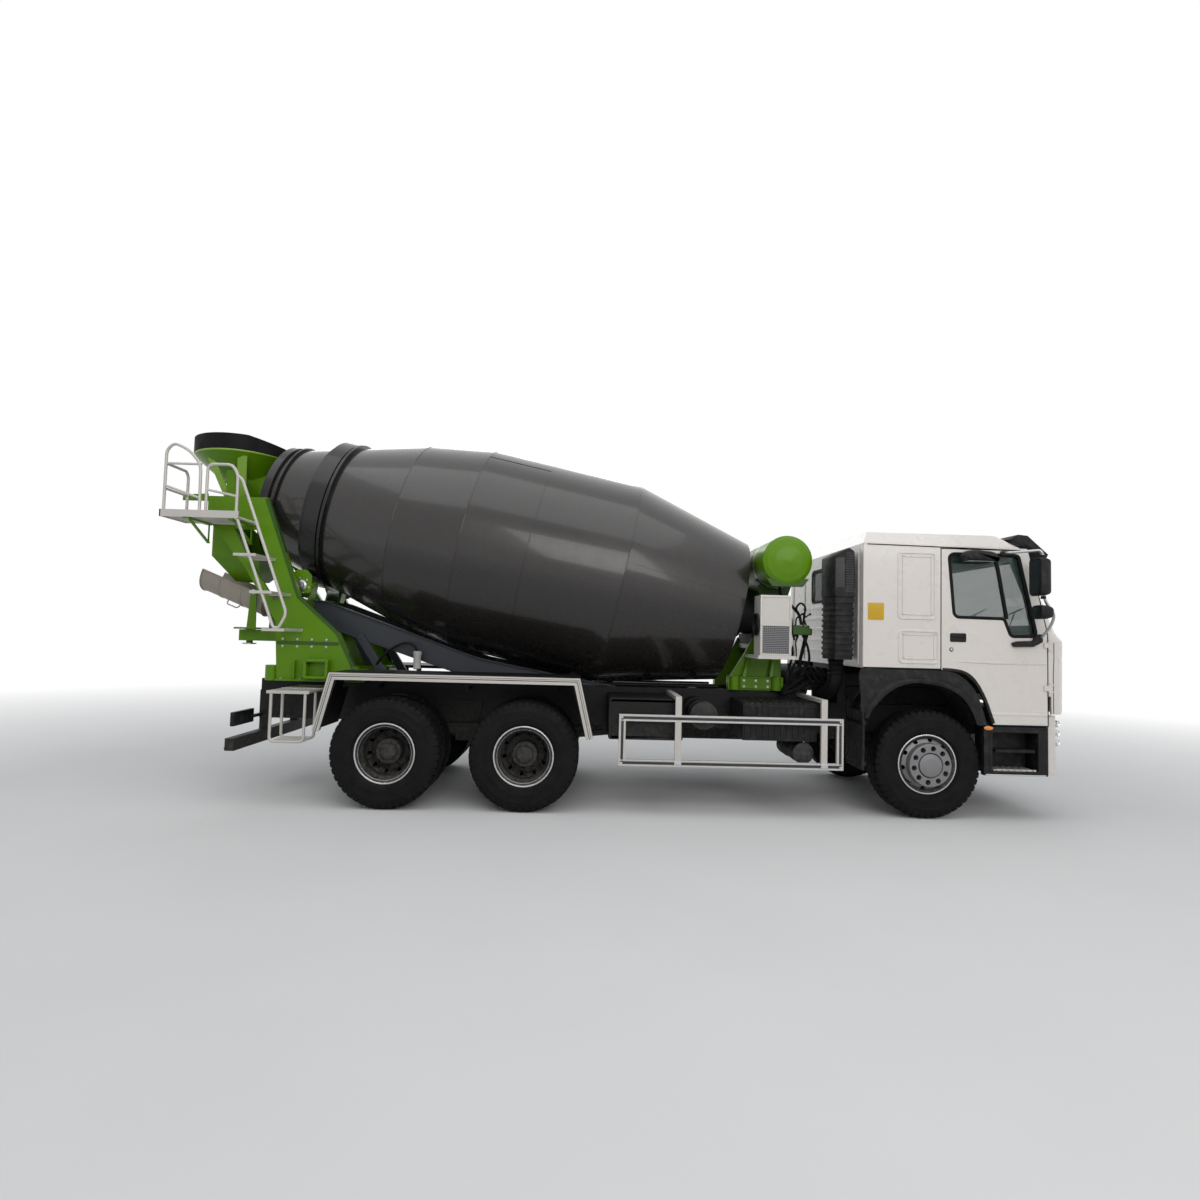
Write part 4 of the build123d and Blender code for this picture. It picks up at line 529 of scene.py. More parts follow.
class Shape:
    """Collects simple solids in one mesh."""

    def __init__(self):
        self.b = bmesh.new()

    def rings(self, rings, closed_ends=True, closed_loop=False):
        """Skin between rings of equal size."""
        vs = [[self.b.verts.new(p) for p in ring] for ring in rings]
        pairs = list(zip(vs, vs[1:])) + ([(vs[-1], vs[0])] if closed_loop else [])
        for a, b in pairs:
            for i in range(len(a)):
                j = (i + 1) % len(a)
                self.b.faces.new((a[i], a[j], b[j], b[i]))
        if closed_ends and not closed_loop:
            self.b.faces.new(vs[0][::-1])
            self.b.faces.new(vs[-1])
        return self

    def box(self, x, y, z):
        """A block between two values of x (from the front axle), y and z."""
        return self.plan(rect(*sorted(x), *sorted(y)), sorted(z))

    def row(self, count, step, x, y, z):
        """A block repeated, each copy moved on by step."""
        for k in range(count):
            self.box(*((a + k * d, b + k * d) for (a, b), d in zip((x, y, z), step)))
        return self

    def beam(self, a, b, w, h, up=(0, 0, 1)):
        """A rectangular bar from a to b, w across and h along up."""
        a, b = Vector(a), Vector(b)
        d = (b - a).normalized()
        side = d.cross(Vector(up)).normalized()
        up = side.cross(d)
        ring = [side * sx * w / 2 + up * sz * h / 2 for sx, sz in ((-1, -1), (1, -1), (1, 1), (-1, 1))]
        return self.rings([[a + r for r in ring], [b + r for r in ring]])

    def prism(self, outline, y):
        """A side outline of (x from the front axle, z) between two y values."""
        return self.rings([at_y(h, outline) for h in y])

    def plan(self, outline, z):
        return self.rings([[P(p[0], p[1], h) for p in outline] for h in z])

    def stacked(self, layers):
        """Side outlines of equal size at given y values."""
        return self.rings([at_y(y, outline) for outline, y in layers])

    def slab(self, outline, y0, y1, d, edge):
        """A side outline between two y values, its rims drawn in by d over the width of edge."""
        small = inset(outline, d)
        return self.stacked([(small, y0), (outline, y0 + edge), (outline, y1 - edge), (small, y1)])

    def plaque(self, outline, y0, y1, y2, d):
        """A side outline from y0 to y1, with its face drawn in by d at y2."""
        return self.stacked([(outline, y0), (outline, y1), (inset(outline, d), y2)])

    def rod(self, a, b, r, n=20):
        a, b = Vector(a), Vector(b)
        ring = spokes(*axes_for(b - a)[1:], n)
        return self.rings([[end + q * r for q in ring] for end in (a, b)])

    def tube(self, points, r, n=12, closed=False):
        """A round bar along a path, its sections turned to follow the bends."""
        pts = [Vector(p) for p in points]
        rings = []
        ref = None
        for i, p in enumerate(pts):
            a = pts[i - 1] if i or closed else None
            b = pts[(i + 1) % len(pts)] if i < len(pts) - 1 or closed else None
            d = ((b - p).normalized() if b is not None else Vector()) + ((p - a).normalized()
                                                                         if a is not None else Vector())
            d.normalize()
            if ref is None:
                ref = d.orthogonal().normalized()
            ref = (ref - d * ref.dot(d)).normalized()
            rings.append([p + q * r for q in spokes(ref, d.cross(ref), n)])
        return self.rings(rings, closed_loop=closed)

    def bent(self, points, r, bend=0.06, n=12):
        """A round bar through points, its corners rounded."""
        pts = [Vector(p) for p in points]
        path = [pts[0]]
        for a, p, b in zip(pts, pts[1:], pts[2:]):
            reach = min(bend, (p - a).length * 0.45, (b - p).length * 0.45)
            s, e = p + (a - p).normalized() * reach, p + (b - p).normalized() * reach
            path += [s * (1 - k / 6) ** 2 + p * 2 * (k / 6) * (1 - k / 6) + e * (k / 6) ** 2 for k in range(7)]
        return self.tube(path + [pts[-1]], r, n)

    def lathe(self, profile, at, axis, n=64, closed=False):
        """Revolve (along, radius) points about an axis."""
        at = Vector(at)
        d, s, t = axes_for(axis)
        ring = spokes(s, t, n)
        return self.rings([[at + d * a + q * r for q in ring] for a, r in profile], closed_ends=not closed,
                          closed_loop=closed)

    def holed_ring(self, at, axis, inner, outer, hole, count, depth, n=20):
        """A ring from inner to outer, each (along, radius), with round holes: (pitch radius, radius), depth deep."""
        at = Vector(at)
        d, s, t = axes_for(axis)
        half = math.pi / count
        (ai, ri), (ao, ro) = inner, outer
        pitch, radius = hole
        centre = Vector((pitch, 0))
        corners = [Vector((r * math.cos(half), k * r * math.sin(half))) - centre for r in (ri, ro) for k in (-1, 1)]
        angles = sorted([k * math.tau / n for k in range(n)] + [math.atan2(c.y, c.x) % math.tau for c in corners])

        def edge(q):
            """Distance from the hole's centre to the edge of its sector, along q."""
            reach = []
            for r in (ri, ro):
                b, c = centre.dot(q), pitch ** 2 - r ** 2
                if b * b >= c:
                    reach += [-b - math.sqrt(b * b - c), -b + math.sqrt(b * b - c)]
            for k in (-1, 1):
                line = Vector((math.cos(half), k * math.sin(half)))
                if abs(q.cross(line)) > 1e-9:
                    reach.append(-centre.cross(line) / q.cross(line))
            return min(v for v in reach if v > 1e-6)

        def solid(p, turn, drop=0.0):
            r, w = p.length, math.atan2(p.y, p.x) + turn
            along = ai + (ao - ai) * (r - ri) / (ro - ri) - drop
            return at + d * along + (s * math.cos(w) + t * math.sin(w)) * r

        rays = [Vector((math.cos(a), math.sin(a))) for a in angles]
        rows = [[centre + q * edge(q) for q in rays], [centre + q * radius for q in rays]]
        for sector in range(count):
            turn = sector * 2 * half
            loops = [[self.b.verts.new(solid(p, turn)) for p in row] for row in rows]
            loops.append([self.b.verts.new(solid(p, turn, depth)) for p in rows[1]])
            for a, b in zip(loops, loops[1:]):
                for i in range(len(rays)):
                    j = (i + 1) % len(rays)
                    self.b.faces.new((a[i], a[j], b[j], b[i]))
        bmesh.ops.remove_doubles(self.b, verts=self.b.verts, dist=1e-6)
        return self

    def hexes(self, places, r, h, washer=True):
        """Hexagon heads, each with a washer, standing on (point, direction)."""
        for at, axis in places:
            if washer:
                self.lathe([(0, r * 1.3), (h * 0.2, r * 1.3), (h * 0.2, r * 0.9)], at, axis, 16)
            self.lathe([(h * 0.1, r), (h * 0.85, r), (h, r * 0.82)], at, axis, 6)
        return self

    def done(self, name, material, body, bevel=0.0, angle=35):
        bmesh.ops.recalc_face_normals(self.b, faces=self.b.faces)
        mesh = bpy.data.meshes.new(name)
        self.b.to_mesh(mesh)
        self.b.free()
        return place(name, mesh, material, body, bevel, angle)


def place(name, mesh, material, body, bevel=0.0, angle=35, sub=0):
    """Puts a mesh in the scene on a body; bevel is a width, angle the smoothing limit in degrees."""
    o = bpy.data.objects.new(name, mesh)
    bpy.context.scene.collection.objects.link(o)
    if not mesh.materials:
        mesh.materials.append(material)
    if bevel:
        m = o.modifiers.new("bevel", "BEVEL")
        m.width, m.segments, m.limit_method, m.angle_limit = bevel, 2, "ANGLE", BEVEL_ABOVE
    if sub:
        m = o.modifiers.new("subdivision", "SUBSURF")
        m.levels = m.render_levels = sub
    for polygon in mesh.polygons:
        polygon.use_smooth = True
    with bpy.context.temp_override(object=o, active_object=o, selected_objects=[o], selected_editable_objects=[o]):
        bpy.ops.object.shade_smooth_by_angle(angle=math.radians(angle))
    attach(o, body)
    return o


def circle_of(at, axis, r, count, phase=0.0):
    """Points spaced round a circle, each with the axis direction."""
    d, s, t = axes_for(axis)
    return [(Vector(at) + q * r, d) for q in spokes(s, t, count, phase)]


def paint_faces(node, material, test):
    """Gives a second material to the faces of a CAD node whose centre and normal pass the test."""
    o = NODES[node]
    o.data.materials.append(material)
    index = len(o.data.materials) - 1
    for f in o.data.polygons:
        if test(f.center, f.normal):
            f.material_index = index


# ---------------------------------------------------------------- tyres
def tyre_mesh():
    """A truck tyre about the Y axis: ribbed sidewalls, shoulder blocks and two zigzag grooves."""
    half = 0.1462
    side = [(0.113, 0.3010), (0.121, 0.3035), (0.131, 0.318), (0.1335, 0.321), (0.1375, 0.3225), (0.140, 0.334),
            (0.1425, 0.350), (0.1440, 0.366), (0.1460, 0.368), (0.1460, 0.374), (0.1452, 0.376), (half, 0.395),
            (0.1458, 0.420), (0.1442, 0.440), (0.1450, 0.442), (0.1442, 0.447), (0.1425, 0.450), (0.1395, 0.470),
            (0.1365, 0.484)]
    tread = [(0.1345, 0.494), (0.1305, 0.507), (0.1250, 0.5195), (0.1180, 0.5285), (0.1080, 0.5345), (0.0960, 0.5370),
             (0.0740, 0.5380), (0.0720, 0.5380)]
    block = len(side)
    centre = [(0.050, 0.5388), (0.0485, 0.5388), (0.0390, 0.5388), (0.0375, 0.5390), (0.012, 0.5398),
              (0.0105, 0.5398)]
    half_profile = side + tread + centre
    profile = [(-y, r) for y, r in half_profile] + half_profile[::-1]
    m = len(profile)
    inner = [(0.113, 0.3005), (-0.113, 0.3005)]
    pitches, cuts = 46, (0.0, 0.04, 0.24, 0.28, 0.52, 0.76)     # tread pitches round the tyre and the steps in each
    verts, faces = [], []
    steps = pitches * len(cuts)
    for k in range(steps):
        p, c = divmod(k, len(cuts))
        f = cuts[c]
        a = (p + f) / pitches * math.tau
        zig = 0.007 * (abs(((p % 2) + f) - 1.0) * 2 - 1)
        for i, (y, r) in enumerate(profile):
            j = i if i < m / 2 else m - 1 - i
            lateral = c in (1, 2)
            if j >= block and j < block + len(tread) and lateral:
                r -= (0.006, 0.009, 0.011, 0.012, 0.013, 0.013, 0.012, 0.0)[j - block]
                if j - block < 3:
                    y *= 0.985
            g = j - block - len(tread)
            if g in (1, 2):
                r -= 0.012
            if g >= 0:
                y += zig if g < 4 else 0
            if g == 5 and c in (1, 2):
                r -= 0.004
            verts.append((r * math.cos(a), y, r * math.sin(a)))
        for y, r in inner:
            verts.append((r * math.cos(a), y, r * math.sin(a)))
    n = m + 2
    for k in range(steps):
        a, b = k * n, ((k + 1) % steps) * n
        for i in range(n):
            j = (i + 1) % n
            faces.append((a + i, b + i, b + j, a + j))
    mesh = bpy.data.meshes.new("truck_tyre")
    mesh.from_pydata(verts, [], faces)
    b = bmesh.new()
    b.from_mesh(mesh)
    bmesh.ops.recalc_face_normals(b, faces=b.faces)
    b.to_mesh(mesh)
    b.free()
    mesh.materials.append(RUBBER)
    return mesh


def put_tyres():
    """Ten tyres that share one mesh, each turned a little."""
    mesh = tyre_mesh()
    for s, out in SIDES:
        places = [("front_tyre", "front_wheel", 0.0, [out * FRONT_WHEEL_Y])]
        for axle, x in REAR_AXLES:
            places.append((f"{axle}_tyres", f"{axle}_wheels", x, [out * TWIN_INNER_Y, out * TWIN_OUTER_Y]))
        for node, body, x, ys in places:
            for n, y in enumerate(ys):
                o = bpy.data.objects.new(f"{node}_detail_{s}_{n}", mesh)
                bpy.context.scene.collection.objects.link(o)
                turn = Matrix.Rotation(math.pi / 2 * (n + round(-x)), 4, "Y")
                o.matrix_world = Matrix.Translation(P(x, y, WHEEL_Z)) @ turn
                bpy.context.view_layer.update()
                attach(o, f"{body}_{s}")
                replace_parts(o, f"{node}_{s}")
    for polygon in mesh.polygons:
        polygon.use_smooth = True
    mesh.set_sharp_from_angle(angle=TYRE_SMOOTH)


put_tyres()


# ---------------------------------------------------------------- wheels
NUT_PITCH = 0.1675          # ten studs on a 335 mm circle
RIM_SECTION = [(0.110, 0.2965), (0.103, 0.2965), (0.099, 0.285), (0.097, 0.268), (0.060, 0.262), (0.040, 0.245),
               (-0.040, 0.245), (-0.060, 0.262), (-0.097, 0.268), (-0.099, 0.285), (-0.103, 0.2965), (-0.110, 0.2965),
               (-0.113, 0.288), (-0.108, 0.266), (-0.100, 0.256), (-0.062, 0.250), (-0.042, 0.233), (0.042, 0.233),
               (0.062, 0.250), (0.100, 0.256), (0.108, 0.266), (0.113, 0.288)]
FLANGE_SECTION = [(0.112, 0.2815), (0.1155, 0.2845), (0.1165, 0.290), (0.1150, 0.2955), (0.110, 0.2985),
                  (0.104, 0.2985), (0.106, 0.283)]


def wheel_piece(shape, name, side, material, body, node=None, bevel=0.0):
    piece = shape.done(f"{name}_{side}", material, body, bevel)
    if node:
        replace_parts(piece, node)
    return piece


def front_wheel(side, out):
    """Steel disc wheel: rim, disc with hand holes, and the deep nut cover round the hub cap."""
    body = f"front_wheel_{side}"
    hub, axis = P(0, out * FRONT_WHEEL_Y, WHEEL_Z), (0, out, 0)
    wheel_piece(Shape().lathe(RIM_SECTION, hub, axis, 96, closed=True), "front_rim", side, RIM_DARK, body, body)
    wheel_piece(Shape().lathe(FLANGE_SECTION, hub, axis, 96, closed=True), "front_rim_flange", side, RIM_BRIGHT, body)
    disc = Shape().holed_ring(hub, axis, (0.116, 0.200), (0.078, 0.266), (0.243, 0.0235), 10, 0.014, 24)
    disc.lathe([(0.078, 0.266), (0.060, 0.266), (0.060, 0.250), (0.064, 0.250)], hub, axis, 96, closed=True)
    wheel_piece(disc, "front_disc", side, RIM, body)
    cover = Shape().holed_ring(hub, axis, (0.187, 0.127), (0.186, 0.204), (NUT_PITCH, 0.0262), 10, 0.055)
    cover.lathe([(0.186, 0.204), (0.1835, 0.2095), (0.176, 0.2130), (0.116, 0.2165), (0.116, 0.2100), (0.176, 0.2065),
                 (0.181, 0.203)], hub, axis, 96, closed=True)
    cover.lathe([(0.187, 0.127), (0.184, 0.1235), (0.176, 0.122), (0.150, 0.122), (0.150, 0.127), (0.176, 0.127)],
                hub, axis, 96, closed=True)
    wheel_piece(cover, "front_nut_cover", side, RIM, body)
    back = Shape().lathe([(0.020, 0.209), (0.128, 0.209)], hub, axis, 64)
    back.lathe([(-0.120, 0.200), (-0.112, 0.206), (0.018, 0.206)], hub, axis, 64)
    back.hexes(circle_of(hub + Vector(axis) * 0.130, axis, NUT_PITCH, 10, math.pi / 2), 0.0165, 0.024)
    wheel_piece(back, "front_brake_drum", side, RIM_DARK, body)
    cap = Shape().lathe([(0.130, 0.1165), (0.184, 0.1155), (0.191, 0.1120), (0.1940, 0.1040), (0.1925, 0.0960),
                         (0.1945, 0.0900), (0.1965, 0.0700), (0.1978, 0.0400), (0.1982, 0.0010)], hub, axis, 80)
    cap.hexes(circle_of(hub + Vector(axis) * 0.1925, axis, 0.100, 6), 0.0045, 0.004, washer=False)
    wheel_piece(cap, "front_hub_cap", side, RIM, body)


def twin_wheel(axle, x, side, out):
    """Two rims back to back: the outer disc lies deep inside, with the hub and its studs standing out of it."""
    body = f"{axle}_wheels_{side}"
    outer, inner, axis = P(x, out * TWIN_OUTER_Y, WHEEL_Z), P(x, out * TWIN_INNER_Y, WHEEL_Z), (0, out, 0)
    rims = Shape().lathe(RIM_SECTION, outer, axis, 96, closed=True).lathe(RIM_SECTION, inner, axis, 96, closed=True)
    wheel_piece(rims, f"{axle}_rims", side, RIM_DARK, body, f"{axle}_wheel_{side}")
    lip = Shape().lathe(FLANGE_SECTION, outer, axis, 96, closed=True)
    lip.lathe([(0.098, 0.2560), (0.1035, 0.2590), (0.1045, 0.2640), (0.102, 0.2690), (0.096, 0.2700)], outer, axis,
              96, closed=True)
    lip.lathe([(-a, r) for a, r in FLANGE_SECTION], inner, axis, 96, closed=True)
    wheel_piece(lip, f"{axle}_rim_flanges", side, RIM_BRIGHT, body)
    face = -0.150
    disc = Shape().holed_ring(outer, axis, (face, 0.186), (face + 0.085, 0.235), (0.211, 0.0185), 10, 0.014)
    disc.lathe([(face, 0.186), (face, 0.120), (face - 0.020, 0.120), (face - 0.020, 0.186)], outer, axis, 64,
               closed=True)
    disc.holed_ring(inner, axis, (-face, 0.186), (-face - 0.085, 0.235), (0.211, 0.0185), 10, 0.014)
    disc.lathe([(-0.130, 0.196), (-0.120, 0.206), (0.120, 0.206), (0.150, 0.186)], inner, axis, 64)
    wheel_piece(disc, f"{axle}_discs", side, RIM_DARK, body)
    nave = Shape().lathe([(face, 0.132), (face + 0.110, 0.128), (face + 0.122, 0.122), (face + 0.124, 0.090),
                          (face + 0.140, 0.084), (face + 0.150, 0.070), (face + 0.152, 0.001)], outer, axis, 64)
    nave.hexes(circle_of(outer + Vector(axis) * face, axis, NUT_PITCH, 10), 0.0165, 0.030)
    nave.hexes(circle_of(outer + Vector(axis) * (face + 0.122), axis, 0.106, 12), 0.0085, 0.012)
    for at, _ in circle_of(outer + Vector(axis) * (face + 0.028), axis, NUT_PITCH, 10):
        nave.rod(at, at + Vector(axis) * 0.022, 0.0095, 10)
    wheel_piece(nave, f"{axle}_hub", side, CASTING, body, bevel=0.0015)


for side, out in SIDES:
    front_wheel(side, out)
    for axle, x in REAR_AXLES:
        twin_wheel(axle, x, side, out)


# ---------------------------------------------------------------- drum
ALONG = Vector((-math.cos(TILT), 0, math.sin(TILT)))
DRUM_UP = Vector((math.sin(TILT), 0, math.cos(TILT)))
RING_S = (4.604, 4.755)


def shell_radius(s):
    for (a, ra), (b, rb) in zip(STATIONS, STATIONS[1:]):
        if s <= b:
            return ra + (rb - ra) * (s - a) / (b - a)
    return STATIONS[-1][1]


def drum_point(s, r, turn):
    """A point s along the drum's axis and r from it, turned from the top towards the left."""
    return Vector(DRUM_AT) + ALONG * s + (DRUM_UP * math.cos(turn) + Vector((0, 1, 0)) * math.sin(turn)) * r


def weld(shape, a, b, turn):
    """A weld bead along the shell from s = a to b."""
    n = max(2, round(abs(b - a) / 0.16))
    marks = sorted({a, b, *[a + (b - a) * k / n for k in range(n + 1)], *[s for s, _ in STATIONS if a < s < b]})
    for s0, s1 in zip(marks, marks[1:]):
        shape.beam(drum_point(s0, shell_radius(s0), turn), drum_point(s1, shell_radius(s1), turn), 0.013, 0.007,
                   drum_point(0, 1, turn) - drum_point(0, 0, 0))


def drum_details():
    """Weld seams, ring shoulders, flange bolts and the two spiral blades inside."""
    seams = Shape()
    for s, r in STATIONS[1:-1]:
        seams.lathe([(s - 0.008, r - 0.002), (s - 0.005, r + 0.003), (s, r + 0.0045), (s + 0.005, r + 0.003),
                     (s + 0.008, r - 0.002)],
                    DRUM_AT, ALONG, 160, closed=True)
    for (a, b), turn in zip(((0.075, 1.377), (1.377, 2.384), (2.384, 3.072), (3.072, 3.798), (3.798, 4.560),
                             (4.80, 5.26)),
                            (-82, 55, 148, -97, -95, -95)):
        weld(seams, a, b, math.radians(turn))
        weld(seams, a, b, math.radians(turn + 180))
    seams.done("drum_weld_seams", SLATE, "drum")
    rings = Shape()
    for s in (RING_S[0] - 0.035, RING_S[1] + 0.035):
        r = shell_radius(s)
        rings.lathe([(s - 0.020, r - 0.002), (s - 0.014, r + 0.045), (s + 0.014, r + 0.045), (s + 0.020, r - 0.002)],
                    DRUM_AT, ALONG, 128, closed=True)
    for s in (5.18, 5.262):
        r = shell_radius(s)
        rings.lathe(hoop(s, 0.010, r - 0.002, r + 0.030), DRUM_AT, ALONG, 128, closed=True)
    rings.done("drum_ring_shoulders", BLACK_GLOSS, "drum", 0.003)
    bolts = Shape().hexes(circle_of(drum_point(0.002, 0, 0), -ALONG, 0.232, 18), 0.013, 0.012)
    bolts.done("drum_flange_bolts", STEEL, "drum")
    blades = Shape()
    for start in (0, math.pi):
        rows = []
        for k in range(97):
            s = 0.35 + 4.85 * k / 96
            turn = start + 2.6 * math.tau * k / 96
            outer = shell_radius(s) - 0.010
            depth = 0.30 if s < 4.2 else 0.20
            rows.append([drum_point(s, outer, turn), drum_point(s + 0.05, outer - depth, turn),
                         drum_point(s + 0.065, outer - depth, turn), drum_point(s + 0.015, outer, turn)])
        blades.rings(rows)
    blades.done("drum_blades", CREAM, "drum")


drum_details()


# ---------------------------------------------------------------- cab outside
DOOR = [(1.175, 0.958), (1.175, 1.87), (0.985, 2.70), (0.104, 2.70), (0.104, 1.49), (0.325, 1.476), (0.461, 1.363),
        (0.538, 1.232),
        (0.624, 0.958)]
WINDOW = [(0.185, 2.65), (0.883, 2.65), (1.064, 1.851), (0.811, 1.844), (0.744, 2.02), (0.238, 2.025)]


def ring_prism(shape, outer, inner, y0, y1, crown=0.0):
    """A band between two equal side outlines; crown draws its outer face in at the edges."""
    soft = [(outer, y0), (outer, y1 - crown), (inset_mix(outer, inner, 0.25), y1),
            (inset_mix(outer, inner, 0.75), y1),
            (inner, y1 - crown), (inner, y0)]
    return shape.rings([at_y(y, outline) for outline, y in soft], closed_loop=True)


def inset_mix(a, b, t):
    """An outline part of the way from a to b."""
    return [Vector(p) * (1 - t) + Vector(q) * t for p, q in zip(a, b)]


def strip(shape, line, width, y0, y1):
    """A flat bar along a side line of (x, z) points."""
    pts = [Vector(p) for p in line]
    left, right = [], []
    for i, p in enumerate(pts):
        d = (pts[min(i + 1, len(pts) - 1)] - pts[max(i - 1, 0)]).normalized()
        n = Vector((-d.y, d.x)) * width / 2
        left.append(p + n)
        right.append(p - n)
    for a, b, c, d in zip(left, left[1:], right[1:], right):
        shape.prism([a, b, c, d], (y0, y1))
    return shape


def door_outside(side, out):
    """Window surround, pressings, foot strip, handle, lock and hinges."""
    body = f"door_{side}"
    glass_line = rounded(WINDOW, [0.055, 0.045, 0.045, 0.05, 0.05, 0.06], 6)
    surround = ring_prism(Shape(), inset(glass_line, -0.022), inset(glass_line, 0.010), out * 1.169, out * 1.2055,
                          out * 0.003)
    strip(surround, [(0.655, 2.645), (0.689, 2.499), (0.775, 2.013)], 0.030, out * 1.168, out * 1.194)
    surround.done(f"window_surround_{side}", SEAL_AND_SHADE, body, 0.0015)
    inner = ring_prism(Shape(), inset(glass_line, -0.030), inset(glass_line, 0.012), out * 1.150, out * 1.140,
                       -out * 0.003)
    inner.done(f"window_inner_trim_{side}", TRIM_GREY, body, 0.001)
    arch = smooth_path([(0.106, 1.489), (0.22, 1.484), (0.315, 1.466), (0.392, 1.424), (0.455, 1.352), (0.508, 1.262),
                        (0.552, 1.165), (0.600, 1.03), (0.626, 0.960)], 4)
    band = Shape()
    strip(band, [(p[0] + 0.008, p[1] + 0.006) for p in arch], 0.026, out * 1.1985, out * 1.2035)
    band.done(f"door_arch_edge_{side}", PLASTIC, body)
    press = Shape()
    press.stacked([([(0.20, 1.578), (1.172, 1.596), (1.172, 1.552), (0.62, 1.552)], out * 1.1985),
                   ([(0.26, 1.574), (1.172, 1.584), (1.172, 1.566), (0.66, 1.562)], out * 1.2065)])
    press.stacked([([(0.60, 1.082), (1.172, 1.082), (1.172, 1.040), (0.612, 1.040)], out * 1.1985),
                   ([(0.62, 1.070), (1.172, 1.070), (1.172, 1.056), (0.63, 1.056)], out * 1.2055)])
    press.done(f"door_pressing_{side}", WHITE, body, 0.002)
    foot = Shape()
    foot.prism([(0.628, 0.960), (1.173, 0.960), (1.173, 0.972), (0.626, 0.972)], (out * CAB_SIDE, out * 1.2045))
    foot.done(f"door_foot_strip_{side}", ALU, body, 0.001)
    grip = Shape()
    line = rounded([(0.19, 1.77), (0.19, 1.858), (0.352, 1.858), (0.352, 1.77)], 0.016, 4)
    ring_prism(grip, line, inset(line, 0.010), out * CAB_SIDE, out * 1.2065, out * 0.002)
    grip.stacked([(inset(line, 0.0095), out * 1.1995), (inset(line, 0.0095), out * 1.2012)])
    line = rounded([(0.20, 1.812), (0.20, 1.850), (0.330, 1.850), (0.340, 1.812)], 0.010, 4)
    grip.plaque(line, out * 1.201, out * 1.2075, out * 1.2105, 0.006)
    grip.lathe([(0.0, 0.021), (0.0035, 0.021), (0.0055, 0.017)], P(0.204, out * CAB_SIDE, 1.693), (0, out, 0), 24)
    grip.done(f"door_handle_{side}", PLASTIC, body, 0.001)
    Shape().lathe([(0.0, 0.013), (0.007, 0.013), (0.0085, 0.010)], P(0.204, out * CAB_SIDE, 1.693), (0, out, 0),
                  20).done(f"door_lock_{side}", STEEL, body)
    knuckles = Shape()
    for z in (1.33, 1.76):
        for k in (-1, 1):
            knuckles.lathe([(0.0, 0.0115), (0.010, 0.0115), (0.013, 0.008)], P(1.187, out * 1.212, z + k * 0.052),
                           (0, 0, k), 20)
    knuckles.done(f"hinge_caps_{side}", WHITE, "cab")


def mirror_head(outline, x0, x1):
    """The rings of a mirror housing from the glass side, x0, to its rounded back, x1; outline is (y, z)."""
    depths = ((0.0, 0.006), (0.12, 0.0), (0.55, 0.004), (0.82, 0.016), (0.95, 0.032), (1.0, 0.055))
    return [at_x(x0 + (x1 - x0) * t, inset(outline, d)) for t, d in depths]


def mirrors(side, out):
    """The arm, feet and two heads; the right side also has a kerb mirror."""
    body = f"door_{side}"
    arm = Shape()
    arm.bent([P(0.74, out * 1.202, 2.672), P(0.74, out * 1.26, 2.672), P(0.98, out * 1.400, 2.688),
              P(1.004, out * 1.400, 2.64), P(1.010, out * 1.400, 2.20), P(1.125, out * 1.390, 2.06),
              P(1.120, out * 1.34, 1.95), P(1.085, out * 1.262, 1.842), P(1.085, out * 1.202, 1.832)], 0.0135, 0.075)
    arm.done(f"mirror_arm_{side}", STEEL, body)
    feet = Shape()
    feet.stacked([(rounded([(0.70, 2.65), (0.70, 2.695), (0.785, 2.695), (0.785, 2.65)], 0.012), y)
                  for y in (out * 1.2, out * 1.222)])
    foot = rounded([(0.80, 1.772), (0.86, 1.792), (1.02, 1.800), (1.045, 1.868), (1.112, 1.868), (1.112, 1.790),
                    (1.02, 1.742), (0.83, 1.735)], 0.018, 4)
    feet.plaque(foot, out * 1.2, out * 1.232, out * 1.245, 0.010)
    for z in (2.225, 2.628):
        feet.lathe([(-0.014, 0.021), (-0.011, 0.024), (0.011, 0.024), (0.014, 0.021)], P(1.004, out * 1.4, z),
                   (0, 0, 1), 20)
    feet.done(f"mirror_feet_{side}", PLASTIC, body, 0.002)
    y0, y1 = sorted((out * 1.302, out * 1.498))
    big = rounded(rect(y0, y1, 2.238, 2.612), 0.050, 6)
    small = rounded(rect(y0 + 0.012, y1 - 0.012, 2.012, 2.150), 0.055, 7)
    housing = Shape()
    housing.rings(mirror_head(big, 0.925, 1.044))
    housing.rings(mirror_head(small, 0.938, 1.078))
    glasses = Shape()
    glasses.rings([at_x(x, inset(big, 0.016)) for x in (0.9235, 0.9275)])
    glasses.rings([at_x(x, inset(small, 0.012)) for x in (0.9365, 0.9405)])
    if side == "right":
        kerb = [(0.262, 2.575), (0.275, 2.640), (0.352, 2.688), (0.500, 2.683), (0.585, 2.668), (0.622, 2.600),
                (0.612, 2.575), (0.44, 2.571)]
        kerb = [Vector(p) for p in smooth_path(kerb + kerb[:1], 5)[:-1]]
        housing.rings([at_y(y, inset(kerb, d)) for y, d in ((-1.229, 0.016), (-1.238, 0.0), (-1.30, 0.003),
                                                            (-1.332, 0.014), (-1.346, 0.034))])
        housing.bent([P(0.44, -1.2, 2.672), P(0.44, -1.235, 2.650)], 0.014)
        glasses.rings([[P(p[0], p[1], 2.5735 + k) for p in rounded(rect(0.30, 0.58, -1.335, -1.242), 0.03)]
                       for k in (0.0, 0.003)])
    piece = housing.done(f"mirror_housing_{side}", PLASTIC, body)
    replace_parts(piece, f"mirrors_{side}")
    glasses.done(f"mirror_glasses_{side}", MIRROR, body)


